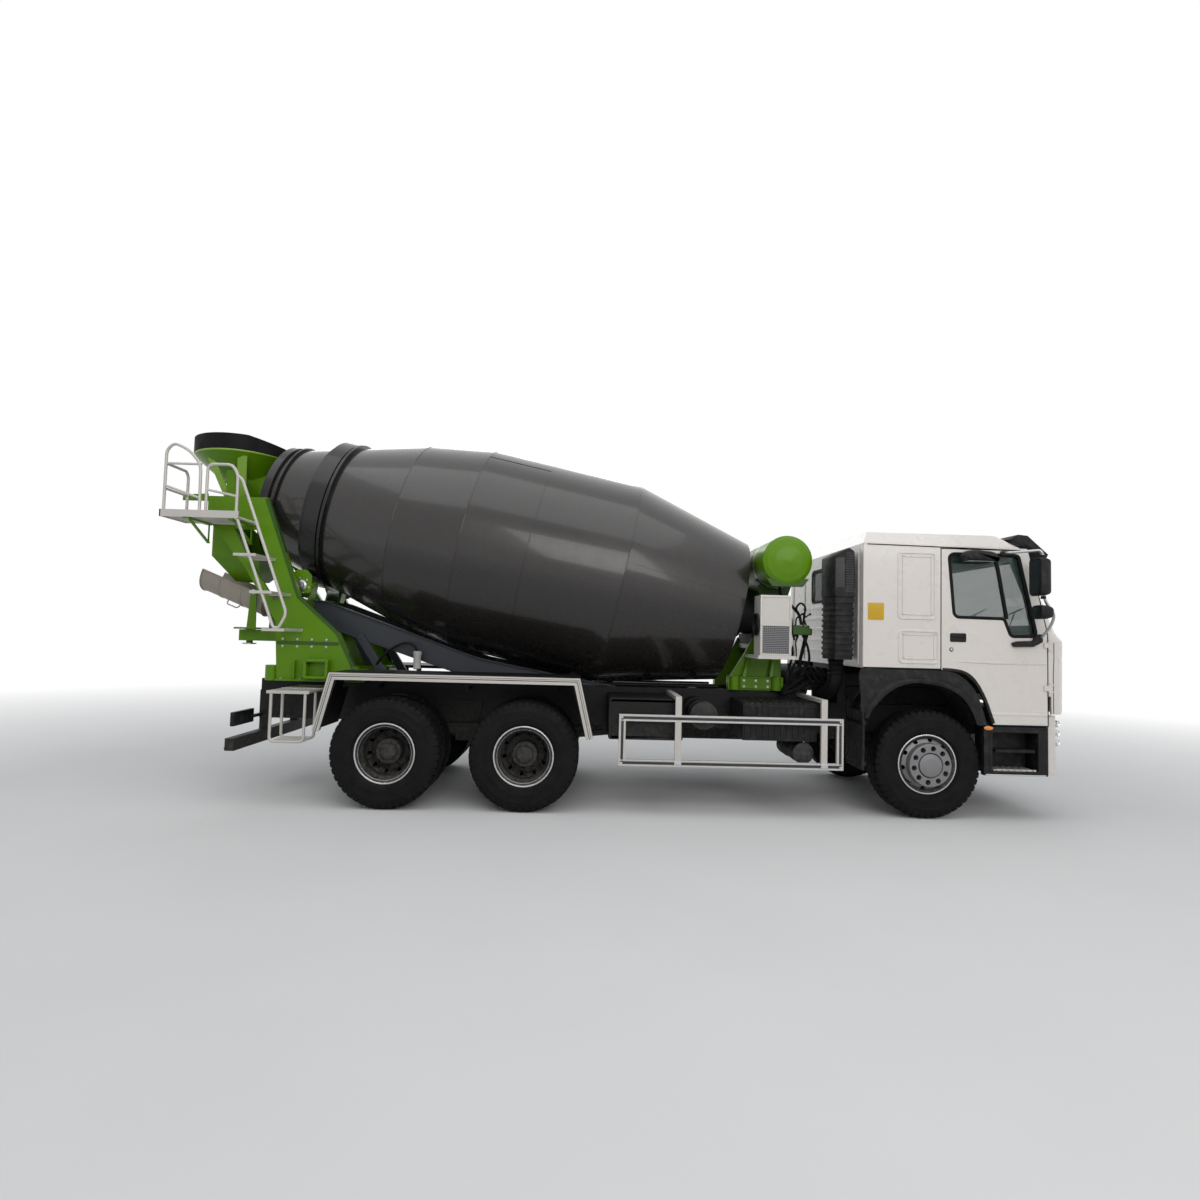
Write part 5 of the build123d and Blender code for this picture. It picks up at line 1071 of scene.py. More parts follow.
def cab_sides(side, out):
    """Pressings, gutter, painted shade under the gutter, in the door gap and at the panel joint, and the bare plate.
    """
    side_panel = Shape()
    for x0, x1, z0, z1 in ((-0.345, 0.054, 1.98, 2.67), (-0.335, 0.084, 1.54, 1.886)):
        line = rounded(rect(x0, x1, z0, z1), 0.055, 6)
        ring_prism(side_panel, line, inset(line, 0.030), out * CAB_SIDE, out * 1.2105, out * 0.010)
        ring_prism(side_panel, inset(line, 0.048), inset(line, 0.062), out * CAB_SIDE, out * 1.2075, out * 0.007)
    side_panel.prism(rect(-0.688, -0.652, 1.50, 2.735), (out * CAB_SIDE, out * 1.2065))
    side_panel.done(f"cab_pressings_{side}", WHITE, "cab", 0.0015)
    rail = Shape()
    strip(rail, [(-0.688, 2.742), (-0.3, 2.737), (0.3, 2.727), (0.97, 2.716)], 0.016, out * 1.194, out * 1.2095)
    rail.done(f"cab_gutter_{side}", WHITE, "cab", 0.003)
    # Painted shade: a dark strip under the gutter, a dark line in the door gap and one along the panel joint.
    shade = Shape()
    strip(shade, [(-0.688, 2.7295), (-0.3, 2.7245), (0.3, 2.7145), (0.97, 2.7045)], 0.008, out * 1.195, out * 1.2035)
    ring_prism(shade, inset(DOOR, -0.0105), inset(DOOR, -0.0012), out * 1.165, out * 1.2005)
    shade.prism(rect(-0.690, 0.098, 1.488, 1.500), (out * CAB_SIDE, out * 1.203))
    shade.done(f"cab_painted_shade_lines_{side}", SEAL_AND_SHADE, "cab")
    plate = rounded(rect(-0.640, -0.480, 1.97, 2.14), 0.012)
    Shape().plaque(plate, out * CAB_SIDE, out * 1.2035, out * 1.2045, 0.003).done(f"side_plate_{side}", YELLOW, "cab")


def front_arch(side, out):
    """Arch trim with its liner, ribbed flap, stays and side lamp."""
    outer = smooth_path([(-0.690, 1.00), (-0.655, 1.10), (-0.579, 1.208), (-0.50, 1.300), (-0.349, 1.378),
                         (-0.165, 1.405), (0.081, 1.390), (0.297, 1.303), (0.42, 1.160), (0.512, 0.953)], 5)
    inner = smooth_path([(-0.640, 1.00), (-0.600, 1.085), (-0.532, 1.164), (-0.455, 1.240), (-0.340, 1.312),
                         (-0.165, 1.354), (0.075, 1.330), (0.262, 1.245), (0.372, 1.120), (0.445, 0.953)], 5)
    top = smooth_path([(-0.705, 1.00), (-0.705, 1.20), (-0.705, 1.480), (-0.45, 1.481), (-0.20, 1.481),
                       (0.078, 1.480), (0.26, 1.452), (0.395, 1.350), (0.480, 1.218), (0.566, 0.953)], 5)
    lip = Shape()
    n = len(outer)
    sections = []
    for i in range(n):
        t, o, k = Vector(top[i]), Vector(outer[i]), Vector(inner[i])
        if (t - o).length < 0.004:
            t = o + Vector((0, 0.004))
        m = (o + k) / 2
        sections.append([P(t.x, out * 1.188, t.y), P(t.x, out * 1.202, t.y), P(o.x, out * 1.206, o.y),
                         P(m.x * 0.6 + o.x * 0.4, out * 1.238, m.y * 0.6 + o.y * 0.4),
                         P(m.x, out * 1.2445, m.y), P(k.x, out * 1.238, k.y), P(k.x, out * 1.190, k.y)])
    lip.rings(sections)
    liner = [[P(k[0], out * y, k[1]) for k, y in ((inner[i], 1.232), (inset_point(inner[i], outer[i], 0.010), 1.232),
                                                  (inset_point(inner[i], outer[i], 0.010), 0.812), (inner[i], 0.812))]
             for i in range(n)]
    lip.rings(liner)
    rib = [[P(*q) for q in ((inner[i][0], out * 0.812, inner[i][1]), (inner[i][0], out * 0.826, inner[i][1]),
                            (outer[i][0], out * 0.826, outer[i][1]), (outer[i][0], out * 0.812, outer[i][1]))]
           for i in range(n)]
    lip.rings(rib)
    piece = lip.done(f"front_arch_{side}", PLASTIC, "chassis", angle=40)
    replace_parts(piece, "front_mudguards")
    flap = Shape()
    ribs = []
    for k in range(15):
        y = 0.82 + k * 0.0286
        ribs += [(-0.668 if k % 2 else -0.690, out * y), (-0.668 if k % 2 else -0.690, out * (y + 0.021))]
    back = [(x - 0.012, y) for x, y in ribs][::-1]
    flap.plan(ribs + back, (0.485, 1.06))
    for z in (0.53, 0.93):
        flap.box((-0.702, -0.664), (out * 0.82, out * 1.235), (z, z + 0.035))
    flap.box((-0.698, -0.668), (out * 0.80, out * 0.83), (0.50, 1.15))
    flap.done(f"front_flap_{side}", PLASTIC, "chassis", 0.002)
    stays = Shape()
    for x, z in ((-0.40, 1.285), (0.10, 1.335)):
        stays.beam(P(x, out * 0.43, z + 0.035), P(x, out * 0.86, z + 0.035), 0.045, 0.012)
        stays.hexes([(P(x, out * 0.84, z + 0.041), (0, 0, 1))], 0.009, 0.008)
    stays.done(f"arch_stays_{side}", CHASSIS, "chassis", 0.002)
    marker = [(0.586 + 0.046 * math.cos(k * math.tau / 28), 0.922 + 0.020 * math.sin(k * math.tau / 28))
              for k in range(28)]
    Shape().stacked([(inset(marker, -0.006), out * 1.176), (inset(marker, -0.006), out * 1.184),
                     (inset(marker, -0.001), out * 1.187)]).done(f"side_lamp_base_{side}", PLASTIC, "chassis")
    Shape().plaque(marker, out * 1.184, out * 1.190, out * 1.194, 0.006).done(f"side_lamp_{side}", AMBER, "chassis")


def inset_point(a, b, d):
    """The point d from a towards b."""
    a, b = Vector(a), Vector(b)
    return a + (b - a).normalized() * d


def step_details(side, out):
    treads = Shape()
    treads.row(7, (0.062, 0, 0), (0.655, 0.681), (out * 0.92, out * 1.176), (0.500, 0.512))
    for y in (1.166, 0.93):
        treads.box((0.645, 1.075), (out * y, out * (y + 0.010)), (0.498, 0.516))
    treads.done(f"step_tread_{side}", ALU_PAINT, "chassis", 0.002)
    frame_line = rounded(rect(0.600, 1.155, 0.470, 0.905), 0.03, 4)
    hole = rounded(rect(0.628, 1.092, 0.492, 0.880), 0.025, 4)
    edge = Shape()
    ring_prism(edge, frame_line, hole, out * 1.178, out * 1.187, out * 0.004)
    edge.stacked([(rounded(rect(0.66, 1.06, 0.684, 0.712), 0.008), out * y) for y in (1.05, 1.183)])
    edge.done(f"step_frame_{side}", PLASTIC, "chassis", 0.0015)
    Shape().box((0.56, 1.17), (out * 1.176, out * 1.185), (0.455,
                                                           0.468)).done(f"step_edge_{side}", ALU, "chassis", 0.002)


for _side, _out in SIDES:
    door_outside(_side, _out)
    mirrors(_side, _out)
    cab_sides(_side, _out)
    front_arch(_side, _out)
    step_details(_side, _out)


# ---------------------------------------------------------------- cab front
def between(x, table):
    """The value at x in a table of (x, value)."""
    for (a, u), (b, v) in zip(table, table[1:]):
        if x <= b:
            return u + (v - u) * max(0.0, (x - a) / (b - a))
    return table[-1][1]


BUMPER_TOP = 1.046
NOSE = ((1.0, -0.010), (1.8, 0.0), (1.89, -0.080), (2.74, -0.430), (2.86, -0.620))  # height, x less 1.5


def front_x(y, z):
    """The x of the cab's nose, or of the bumper below it."""
    if z < BUMPER_TOP:
        return 1.446 - y * y / 12.2
    return 1.5 + between(z, NOSE) - y * y / 14.36


def front_band(shape, y0, y1, z0, z1, low, high, n=14):
    """A band on the nose, from low to high above the skin."""
    rings = []
    for k in range(n + 1):
        y = y0 + (y1 - y0) * k / n
        rings.append([P(front_x(y, z) + d, y, z) for z, d in ((z0, low), (z0 + (z1 - z0) * 0.12, high),
                                                              (z1 - (z1 - z0) * 0.12, high), (z1, low))])
    return shape.rings(rings)


def cab_front():
    dark = Shape()
    for half, z0, z1, high in ((0.66, 1.16, 1.56, 0.0015), (0.93, 1.806, 1.882, 0.003), (1.00, 1.935, 1.968, 0.003),
                               (0.95, 2.632, 2.665, 0.003)):
        front_band(dark, -half, half, z0, z1, -0.004, high)
    for s in (-1, 1):
        dark.rings([[P(front_x(y, z) + d, y, z) for y, d in ((s * (a + w), -0.004), (s * (a + w), 0.0035),
                                                             (s * (a - 0.022), 0.0035), (s * (a - 0.022), -0.004))]
                    for z, a, w in ((1.94, 1.008, 0.018), (2.3, 0.977, 0.018), (2.66, 0.946, 0.018))])
    dark.done("front_dark_bands", SEAL_AND_SHADE, "cab")
    grille = Shape()
    for k in range(5):
        z = 1.185 + k * 0.078
        front_band(grille, -0.64, 0.64, z, z + 0.034, 0.0, 0.0045)
    front_band(grille, -0.70, 0.70, 1.565, 1.59, -0.003, 0.0035)
    front_band(grille, -0.70, 0.70, 1.13, 1.155, -0.003, 0.0045)
    for s in (-1, 1):
        front_band(grille, s * 0.665, s * 0.70, 1.14, 1.58, -0.003, 0.004, 3)
    grille.done("grille_bars", WHITE, "cab", 0.0012)
    press = Shape()
    front_band(press, -0.72, 0.72, 1.66, 1.74, -0.002, 0.0015)
    for s in (-1, 1):
        front_band(press, s * 0.75, s * 0.90, 1.20, 1.72, -0.002, 0.003, 5)
        for z in (1.12, 1.755):
            press.lathe([(-0.004, 0.014), (0.003, 0.014), (0.0045, 0.010)], P(front_x(s * 0.86, z), s * 0.86, z),
                        (1, 0, 0), 16)
    press.done("front_pressings", WHITE, "cab", 0.0015)
    wipers = Shape()
    for y, reach in ((0.72, -0.62), (-0.05, -0.62)):
        foot = P(front_x(y, 1.86) + 0.012, y, 1.875)
        tip = P(front_x(y + reach * 0.62, 2.12) + 0.020, y + reach * 0.62, 2.12)
        wipers.lathe([(-0.010, 0.022), (0.014, 0.020), (0.018, 0.012)], foot, (1, 0, 0.25), 20)
        wipers.bent([foot + Vector((0.012, 0, 0)), foot + (tip - foot) * 0.25 + Vector((0.014, 0, 0)), tip], 0.006,
                    0.03, 8)
        a, b = tip + Vector((-0.012, 0.24, -0.055)), tip + Vector((-0.012, -0.24, 0.055))
        wipers.beam(a, b, 0.008, 0.016, (1, 0, 0.4))
        wipers.beam(a + (b - a) * 0.25 + Vector((0.010, 0, 0)), b + (a - b) * 0.25 + Vector((0.010, 0, 0)), 0.006,
                    0.010, (1, 0, 0.4))
    wipers.done("wipers", PLASTIC, "cab", 0.001)
    corner = Shape()
    for s in (-1, 1):
        for z0, z1 in ((1.085, 1.62), (1.64, 1.79)):
            rows = []
            for z in (z0, z0 + 0.012, z1 - 0.012, z1):
                d = 0.0025 if z0 < z < z1 else -0.002
                rows.append([P(front_x(0.999, z) - 0.0015 - t * 0.055 + d * 0.5, s * (1.002 + t * 0.128 + d), z)
                             for t in (0.0, 0.35, 0.7, 1.0)]
                            + [P(front_x(0.999, z) - 0.010 - t * 0.055, s * (0.990 + t * 0.128), z)
                               for t in (1.0, 0.7, 0.35, 0.0)])
            corner.rings(rows)
    corner.done("corner_pressings", WHITE, "cab", 0.001)
    seams = Shape()
    for s in (-1, 1):
        front_band(seams, s * 0.9405, s * 0.9465, 1.06, 1.80, -0.010, 0.0008, 2)
        path = [(1.243, 1.785), (1.243, 1.640), (1.236, 1.470), (1.236, 1.08)]
        for (x0, z0), (x1, z1) in zip(path, path[1:]):
            seams.beam(P(x0, s * 1.1985, z0), P(x1, s * 1.1985, z1), 0.007, 0.005, (0, s, 0))
        seams.beam(P(1.243, s * 1.1985, 1.783), P(1.30, s * 1.172, 1.783), 0.007, 0.006, (0, 0, 1))
    seams.done("front_seams", SEAL_AND_SHADE, "cab")
    lamps = Shape()
    base = rounded(rect(-0.035, 0.035, -0.06, 0.06), 0.02)
    for y in (-0.78, -0.27, 0.27, 0.78):
        lamps.rings([[P(1.045 + a * k, y + b * k, 2.886 + c) for a, b in base]
                     for k, c in ((1.0, -0.030), (1.0, 0.0), (0.9, 0.012), (0.6, 0.020))])
    lamps.done("roof_lamps", AMBER, "cab")


def headlamp(side, out):
    bezel, chrome, lens, amber = Shape(), Shape(), Shape(), Shape()
    rows = []
    for y in (0.705, 0.80, 0.90, 1.00, 1.075):
        x = front_x(out * y, 0.9) - 0.055 - max(0.0, y - 0.95) * 0.45
        rows.append([P(x - 0.03, out * y, 0.765), P(x - 0.03, out * y, 0.995), P(x, out * y, 0.990),
                     P(x, out * y, 0.770)])
    bezel.rings(rows)
    for y, r in ((0.790, 0.074), (0.950, 0.062)):
        x = front_x(out * y, 0.9) - 0.062
        at, axis = P(x, out * y, 0.882), (1, out * (y - 0.7) * 0.4, 0)
        chrome.lathe([(0.004, 0.012), (0.010, 0.030), (0.024, 0.052), (0.044, r), (0.048, r + 0.004),
                      (0.044, r + 0.008), (0.0, r + 0.008)], at, axis, 40)
        chrome.lathe([(0.006, 0.012), (0.030, 0.010), (0.034, 0.004)], at, axis, 20)
        lens.lathe([(0.040, r + 0.002), (0.046, r - 0.006), (0.054, r * 0.6), (0.057, r * 0.2)], at, axis, 40)
    piece = bezel.done(f"headlamp_bezel_{side}", PLASTIC, "chassis", 0.002)
    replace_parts(piece, "headlamps")
    for z in (0.968, 0.875, 0.781):
        at, axis = P(1.352, out * 1.088, z), (0.62, out * 0.78, 0)
        cup = [(-0.020, 0.034), (0.006, 0.034), (0.010, 0.029), (0.004, 0.026), (-0.010, 0.020), (-0.014, 0.006)]
        chrome.lathe(cup, at, axis, 28)
        lens.lathe([(0.000, 0.0265), (0.008, 0.021), (0.012, 0.010)], at, axis, 28)
    chrome.done(f"headlamp_reflectors_{side}", CHROME, "chassis")
    lens.done(f"headlamp_lenses_{side}", LENS_CLEAR, "chassis")
    amber.rings([[P(front_x(out * y, 0.9) - 0.034 - max(0.0, y - 0.95) * 0.45, out * y, z) for z in (0.775, 0.985)]
                 + [P(front_x(out * y, 0.9) - 0.052 - max(0.0, y - 0.95) * 0.45, out * y, z) for z in (0.985, 0.775)]
                 for y in (1.035, 1.055, 1.070)])
    amber.done(f"indicator_{side}", AMBER, "chassis", 0.002)


def bumper():
    dark, light = Shape(), Shape()
    front_band(dark, -0.52, 0.52, 0.505, 0.60, -0.004, 0.0012)
    front_band(dark, -0.60, 0.60, 0.955, 0.985, -0.004, 0.0012)
    for s in (-1, 1):
        front_band(dark, s * 0.60, s * 0.86, 0.50, 0.61, -0.004, 0.0012, 5)
        dark.lathe([(-0.004, 0.034), (0.0015, 0.034)], P(front_x(s * 0.36, 0.84), s * 0.36, 0.84), (1, s * 0.03, 0),
                   28)
        light.lathe([(-0.002, 0.036), (0.004, 0.040), (0.004, 0.034)], P(front_x(s * 0.36, 0.84), s * 0.36, 0.84),
                    (1, s * 0.03, 0), 28)
        light.lathe([(-0.002, 0.030), (0.003, 0.034), (0.006, 0.024)], P(front_x(s * 0.73, 0.555), s * 0.73, 0.555),
                    (1, s * 0.06, 0), 28)
    for k in range(3):
        front_band(light, -0.50, 0.50, 0.518 + k * 0.026, 0.526 + k * 0.026, 0.0, 0.004)
    dark.done("bumper_openings", SEAL_AND_SHADE, "chassis")
    light.done("bumper_bars", ALU_PAINT, "chassis", 0.001)
    plate = Shape()
    front_band(plate, -0.26, 0.26, 0.655, 0.775, -0.002, 0.004, 4)
    plate.done("bare_plate", ALU_PAINT, "chassis", 0.001)


cab_front()
bumper()
for _side, _out in SIDES:
    headlamp(_side, _out)


# ---------------------------------------------------------------- cab inside
def cushion(name, at, forward, up, half, channels=(), crown=0.16):
    """A crowned pad: forward and up are its length and thickness; channels are sewn lines along its width."""
    f, u = Vector(forward).normalized(), Vector(up).normalized()
    w = u.cross(f)
    a, b, c = half
    n, m = 44, 26       # points round the pad and levels through it
    power = 0.30        # below 1, so the pad is squarer than an ellipse

    def curve(v, e):
        return math.copysign(abs(v) ** e, v)

    def drawn_in(x, y):
        """The share of its full width left to the cover, least at the middle of each edge."""
        a, b = (0.035 * (1 - min(1.0, abs(p)) ** 2) * abs(q) ** 6 for p, q in ((x, y), (y, x)))
        return 1 - a - b

    b_mesh = bmesh.new()
    rows = []
    for i in range(1, m):
        lat = math.pi * (i / m - 0.5)
        row = []
        for k in range(n):
            lon = math.tau * k / n
            x = curve(math.cos(lat), power * 1.6) * curve(math.cos(lon), power)
            y = curve(math.cos(lat), power * 1.6) * curve(math.sin(lon), power)
            z = curve(math.sin(lat), 0.75)
            pull = drawn_in(x, y)
            h = z * c * (1 - crown + crown * (1 - x * x) * (1 - y * y))
            for line in channels:
                h -= math.copysign(0.18, z) * c * math.exp(-((x - line) / 0.035) ** 2) * (1 - abs(y) ** 8)
            row.append(b_mesh.verts.new(Vector(at) + f * x * a * pull + w * y * b * pull + u * h))
        rows.append(row)
    for p, q in zip(rows, rows[1:]):
        for k in range(n):
            b_mesh.faces.new((p[k], p[(k + 1) % n], q[(k + 1) % n], q[k]))
    for row in (rows[0], rows[-1]):
        tip = b_mesh.verts.new(sum((v.co for v in row), Vector()) / n)
        for k in range(n):
            b_mesh.faces.new((row[k], row[(k + 1) % n], tip))
    bmesh.ops.recalc_face_normals(b_mesh, faces=b_mesh.faces)
    mesh = bpy.data.meshes.new(name)
    b_mesh.to_mesh(mesh)
    b_mesh.free()
    o = place(name, mesh, SEAT, "cab", angle=80, sub=1)
    seam = Shape()
    loop = []
    for k in range(n):
        lon = math.tau * k / n
        x, y = curve(math.cos(lon), power), curve(math.sin(lon), power)
        pull = drawn_in(x, y)
        loop.append(Vector(at) + f * x * a * pull * 1.003 + w * y * b * pull * 1.003)
    seam.tube(loop, 0.0035, 6, closed=True)
    seam.done(f"{name}_piping", SEAL_AND_SHADE, "cab")
    return o


def seat(side, out):
    """Three cushions on a bellows base, with metal posts and a belt."""
    y = out * 0.61
    pad = cushion(f"seat_cushion_{side}", P(0.310, y, 1.796), (1, 0, 0.10), (-0.10, 0, 1), (0.215, 0.232, 0.056),
                  (-0.35, 0.25))
    cushion(f"seat_back_{side}", P(0.085, y, 2.100), (-0.20, 0, 1), (1, 0, 0.20), (0.235, 0.225, 0.052),
            (-0.4, 0.0, 0.4))
    cushion(f"seat_headrest_{side}", P(0.018, y, 2.415), (-0.14, 0, 1), (1, 0, 0.14), (0.058, 0.130, 0.036))
    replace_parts(pad, "seats")
    posts = Shape()
    for s in (-1, 1):
        posts.rod(P(0.050, y + s * 0.06, 2.31), P(0.020, y + s * 0.06, 2.40), 0.006, 12)
    posts.beam(P(0.165, y + out * 0.236, 1.79), P(0.045, y + out * 0.236, 2.02), 0.012, 0.05, (1, 0, 0))
    posts.done(f"seat_metal_{side}", STEEL, "cab", 0.001)
    base = Shape()
    for k in range(6):
        z = 1.546 + k * 0.031
        d = 0.0 if k % 2 else 0.012
        base.rings([[P(p[0], y + p[1], h) for p in rounded(rect(0.12 + d, 0.44 - d, -0.17 + d, 0.17 - d), 0.04)]
                    for h in (z, z + 0.031)])
    base.plan(rounded(rect(0.09, 0.47, y - 0.205, y + 0.205), 0.03), (1.722, 1.745))
    base.plan(rounded(rect(0.09, 0.46, y - 0.19, y + 0.19), 0.02), (1.5355, 1.548))
    base.done(f"seat_base_{side}", PLASTIC, "cab", 0.002)
    belt = Shape()
    belt.rings([[P(x, out * 1.085, z), P(x, out * 1.087, z), P(x + 0.045, out * 1.087, z),
                 P(x + 0.045, out * 1.085, z)] for x, z in ((-0.03, 1.56), (-0.01, 2.0), (0.01, 2.52))])
    belt.done(f"seat_belt_{side}", SEAL_AND_SHADE, "cab")


def cabin():
    for side, out in SIDES:
        seat(side, out)
    cushion("bunk_mattress", P(-0.350, 0, 1.868), (1, 0, 0), (0, 0, 1), (0.243, 1.095, 0.058), (-0.3, 0.3),
            crown=0.08)
    bunk = Shape()
    bunk.plan(rounded(rect(-0.60, -0.10, -1.11, 1.11), 0.03), (1.537, 1.808))
    for y in (-0.72, 0.0, 0.72):
        bunk.box((-0.101, -0.0955), (y - 0.30, y + 0.30), (1.575, 1.775))
        bunk.box((-0.0965, -0.0905), (y - 0.05, y + 0.05), (1.735, 1.75))
    bunk.done("bunk_base", TRIM_GREY, "cab", 0.006)
    panel = Shape()
    hood = ((1.035, 1.90), (1.028, 1.965), (1.07, 1.997), (1.16, 1.985), (1.16, 1.93))
    panel.rings([[P(x, y, z) for x, z in hood] for y in (0.36, 0.39, 0.83, 0.86)])
    for y in (-0.95, -0.60, 0.05, 0.28, 0.95):
        panel.row(4, (0, 0, 0.014), (1.024, 1.034), (y - 0.06, y + 0.06), (1.83, 1.836))
    panel.box((1.026, 1.038), (0.02, 0.32), (1.70, 1.80))
    tray = rounded(rect(-0.85, -0.25, 1.66, 1.80), 0.02)
    panel.rings([at_x(x, tray) for x in (1.04, 1.026)])
    panel.done("dash_details", PLASTIC, "cab", 0.002)
    dials = Shape()
    for y in (0.47, 0.61, 0.75):
        dials.lathe([(0.0, 0.052), (0.010, 0.054), (0.010, 0.048), (0.002, 0.046)], P(1.036, y, 1.945), (-1, 0, 0.2),
                    32)
    for k in range(5):
        dials.lathe([(0.0, 0.011), (0.012, 0.010), (0.014, 0.006)], P(1.026, 0.05 + k * 0.06, 1.765), (-1, 0, 0), 16)
    dials.done("dash_dials", CHROME, "cab")
    wheel = Shape()
    centre, axis = P(0.82, 0.61, 2.03), Vector((-0.5, 0, 0.866))
    wheel.lathe([(0.0145 * math.sin(k * math.tau / 14), 0.235 + 0.0145 * math.cos(k * math.tau / 14))
                 for k in range(14)], centre, axis, 72, closed=True)
    wheel.lathe([(-0.028, 0.040), (-0.020, 0.062), (0.012, 0.066), (0.022, 0.058), (0.027, 0.030)], centre, axis, 40)
    across = Vector((0, 1, 0))
    ahead = axis.cross(across)
    for q in (across, -across, ahead * 0.85 + across * 0.5, ahead * 0.85 - across * 0.5):
        q = q.normalized()
        wheel.beam(centre + q * 0.05 - axis * 0.004, centre + q * 0.228, 0.034, 0.012, axis)
    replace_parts(wheel.done("steering_wheel_rim", PLASTIC, "steering_wheel", 0.002), "steering_wheel")
    rear = Shape()
    rear.row(5, (0, 0, 0.125), (-0.699, -0.688), (-0.98, 0.98), (1.620, 1.655))
    for y in (-1.08, -0.62, 0.62, 1.08):
        rear.box((-0.699, -0.688), (y - 0.02, y + 0.02), (1.52, 2.70))
    rear.done("rear_wall_ribs", WHITE, "cab", 0.003)
    seal = Shape()
    outline = rounded(rect(-0.33, 0.33, 2.21, 2.57), 0.05, 5)
    a, b = inset(outline, -0.022), inset(outline, 0.012)
    seal.rings([at_x(x, line) for line, x in ((a, -0.688), (a, -0.6945), (b, -0.6945), (b, -0.688))],
               closed_loop=True)
    seal.done("rear_window_seal", SEAL_AND_SHADE, "cab")


def cab_lining():
    """Dark trim on the faces that look into the cab."""
    middle = P(0.35, 0, 2.1)

    def looks_in(c, n):
        return (c - middle).dot(n) < 0 and abs(c.y) < 1.145 and c.z > 1.28 and c.x > AX - 0.66

    paint_faces("cab_shell", TRIM_GREY, looks_in)
    for side, out in SIDES:
        paint_faces(f"door_{side}", TRIM_GREY, lambda c, n: n.y * out < -0.5 and abs(c.y) < 1.16)


cabin()
cab_lining()


# ---------------------------------------------------------------- between cab and drum
def hose(shape, points, r):
    return shape.tube(smooth_path(points, 5), r, 10)


def tank_details():
    bands = Shape()
    at = P(TANK_X, 0, TANK_Z)
    for y in (-0.45, 0.45):
        bands.lathe(hoop(y, 0.022, 0.2575, 0.2605), at, (0, 1, 0), 72, closed=True)
    bands.done("tank_straps", STEEL, "chassis")
    seams = Shape()
    for y in (-0.885, 0.0, 0.885):
        seams.lathe([(y - 0.006, 0.257), (y, 0.2605), (y + 0.006, 0.257)], at, (0, 1, 0), 72, closed=True)
    for s in (-1, 1):
        seams.lathe([(0.949, 0.052), (0.962, 0.050), (0.966, 0.030)], at, (0, s, 0), 32)
    seams.done("tank_welds", GREEN, "chassis")
    saddle = Shape()
    for y in (-0.37, 0.37):
        outer, inner = ([(TANK_X + r * math.sin(a), TANK_Z - r * math.cos(a))
                         for a in (-0.9, -0.6, -0.3, 0.0, 0.3, 0.6, 0.9)]
                        for r in (0.275, 0.2595))
        saddle.prism(outer + inner[::-1], (y - 0.05, y + 0.05))
        saddle.prism([(-1.50, 2.20), (-1.22, 2.20), (-1.17, 2.345), (-1.55, 2.345)], (y - 0.028, y + 0.028))
    saddle.prism([(-1.585, 2.385), (-1.135, 2.385), (-1.20, 2.30), (-1.52, 2.30)], (-0.90, -0.886))
    # The saddles under the tank take the green paint's darker copy: painted shade.
    saddle.done("tank_saddles", GREEN_SHADED, "chassis", 0.003)
    pipes = Shape()
    hose(pipes, [P(-1.36, -0.62, 2.33), P(-1.36, -0.64, 2.24), P(-1.25, -0.66, 2.12), P(-1.17, -0.68, 2.02),
                 P(-1.15, -0.70, 1.91)], 0.016)
    hose(pipes, [P(-1.187, -0.70, 2.03), P(-1.21, -0.72, 2.09), P(-1.17, -0.74, 2.14), P(-1.12, -0.74, 2.09),
                 P(-1.13, -0.72, 1.98), P(-1.10, -0.70, 1.91)], 0.011)
    for x, lean in ((-1.23, 0.05), (-1.18, -0.07), (-1.13, 0.10), (-1.08, -0.04)):
        hose(pipes, [P(x, -0.69, 1.80), P(x + lean * 0.6, -0.67, 1.68), P(x + lean, -0.60, 1.52),
                     P(x + lean * 0.4, -0.52, 1.36), P(x, -0.47, 1.24)], 0.013)
    pipes.done("valve_pipes", PLASTIC, "chassis")
    white = Shape()
    for x in (-1.255, -1.205):
        hose(white, [P(x, -0.685, 1.80), P(x - 0.015, -0.68, 1.70), P(x + 0.01, -0.64, 1.60), P(x, -0.60, 1.50)],
             0.012)
    white.done("clear_hoses", WHITE_PLASTIC, "chassis")
    valve = Shape()
    body = rounded([(-1.26, 1.800), (-1.26, 1.905), (-1.16, 1.900), (-1.045, 1.870), (-1.045, 1.800)], 0.018, 4)
    valve.slab(body, -0.755, -0.645, 0.008, 0.010)
    for x in (-1.23, -1.18, -1.13, -1.08):
        valve.lathe([(0.0, 0.018), (0.030, 0.018), (0.034, 0.012)], P(x, -0.70, 1.872), (0, 0, 1), 16)
    # The valve block takes the green paint's darker copy: painted shade.
    valve.done("valve_block", GREEN_SHADED, "chassis", 0.002)
    lever = Shape()
    for x in (-1.21, -1.13):
        lever.bent([P(x, -0.70, 1.90), P(x, -0.71, 1.98), P(x + 0.05, -0.75, 2.02)], 0.008, 0.03)
        lever.lathe([(-0.014, 0.006), (0.0, 0.016), (0.014, 0.006)], P(x + 0.055, -0.755, 2.024), (0.6, -0.5, 0.4),
                    16)
    for x in (-1.20, -1.10):
        lever.beam(P(x, -0.70, 1.80), P(x, -0.46, 1.46), 0.03, 0.012)
    lever.done("valve_levers", CHASSIS, "chassis", 0.001)


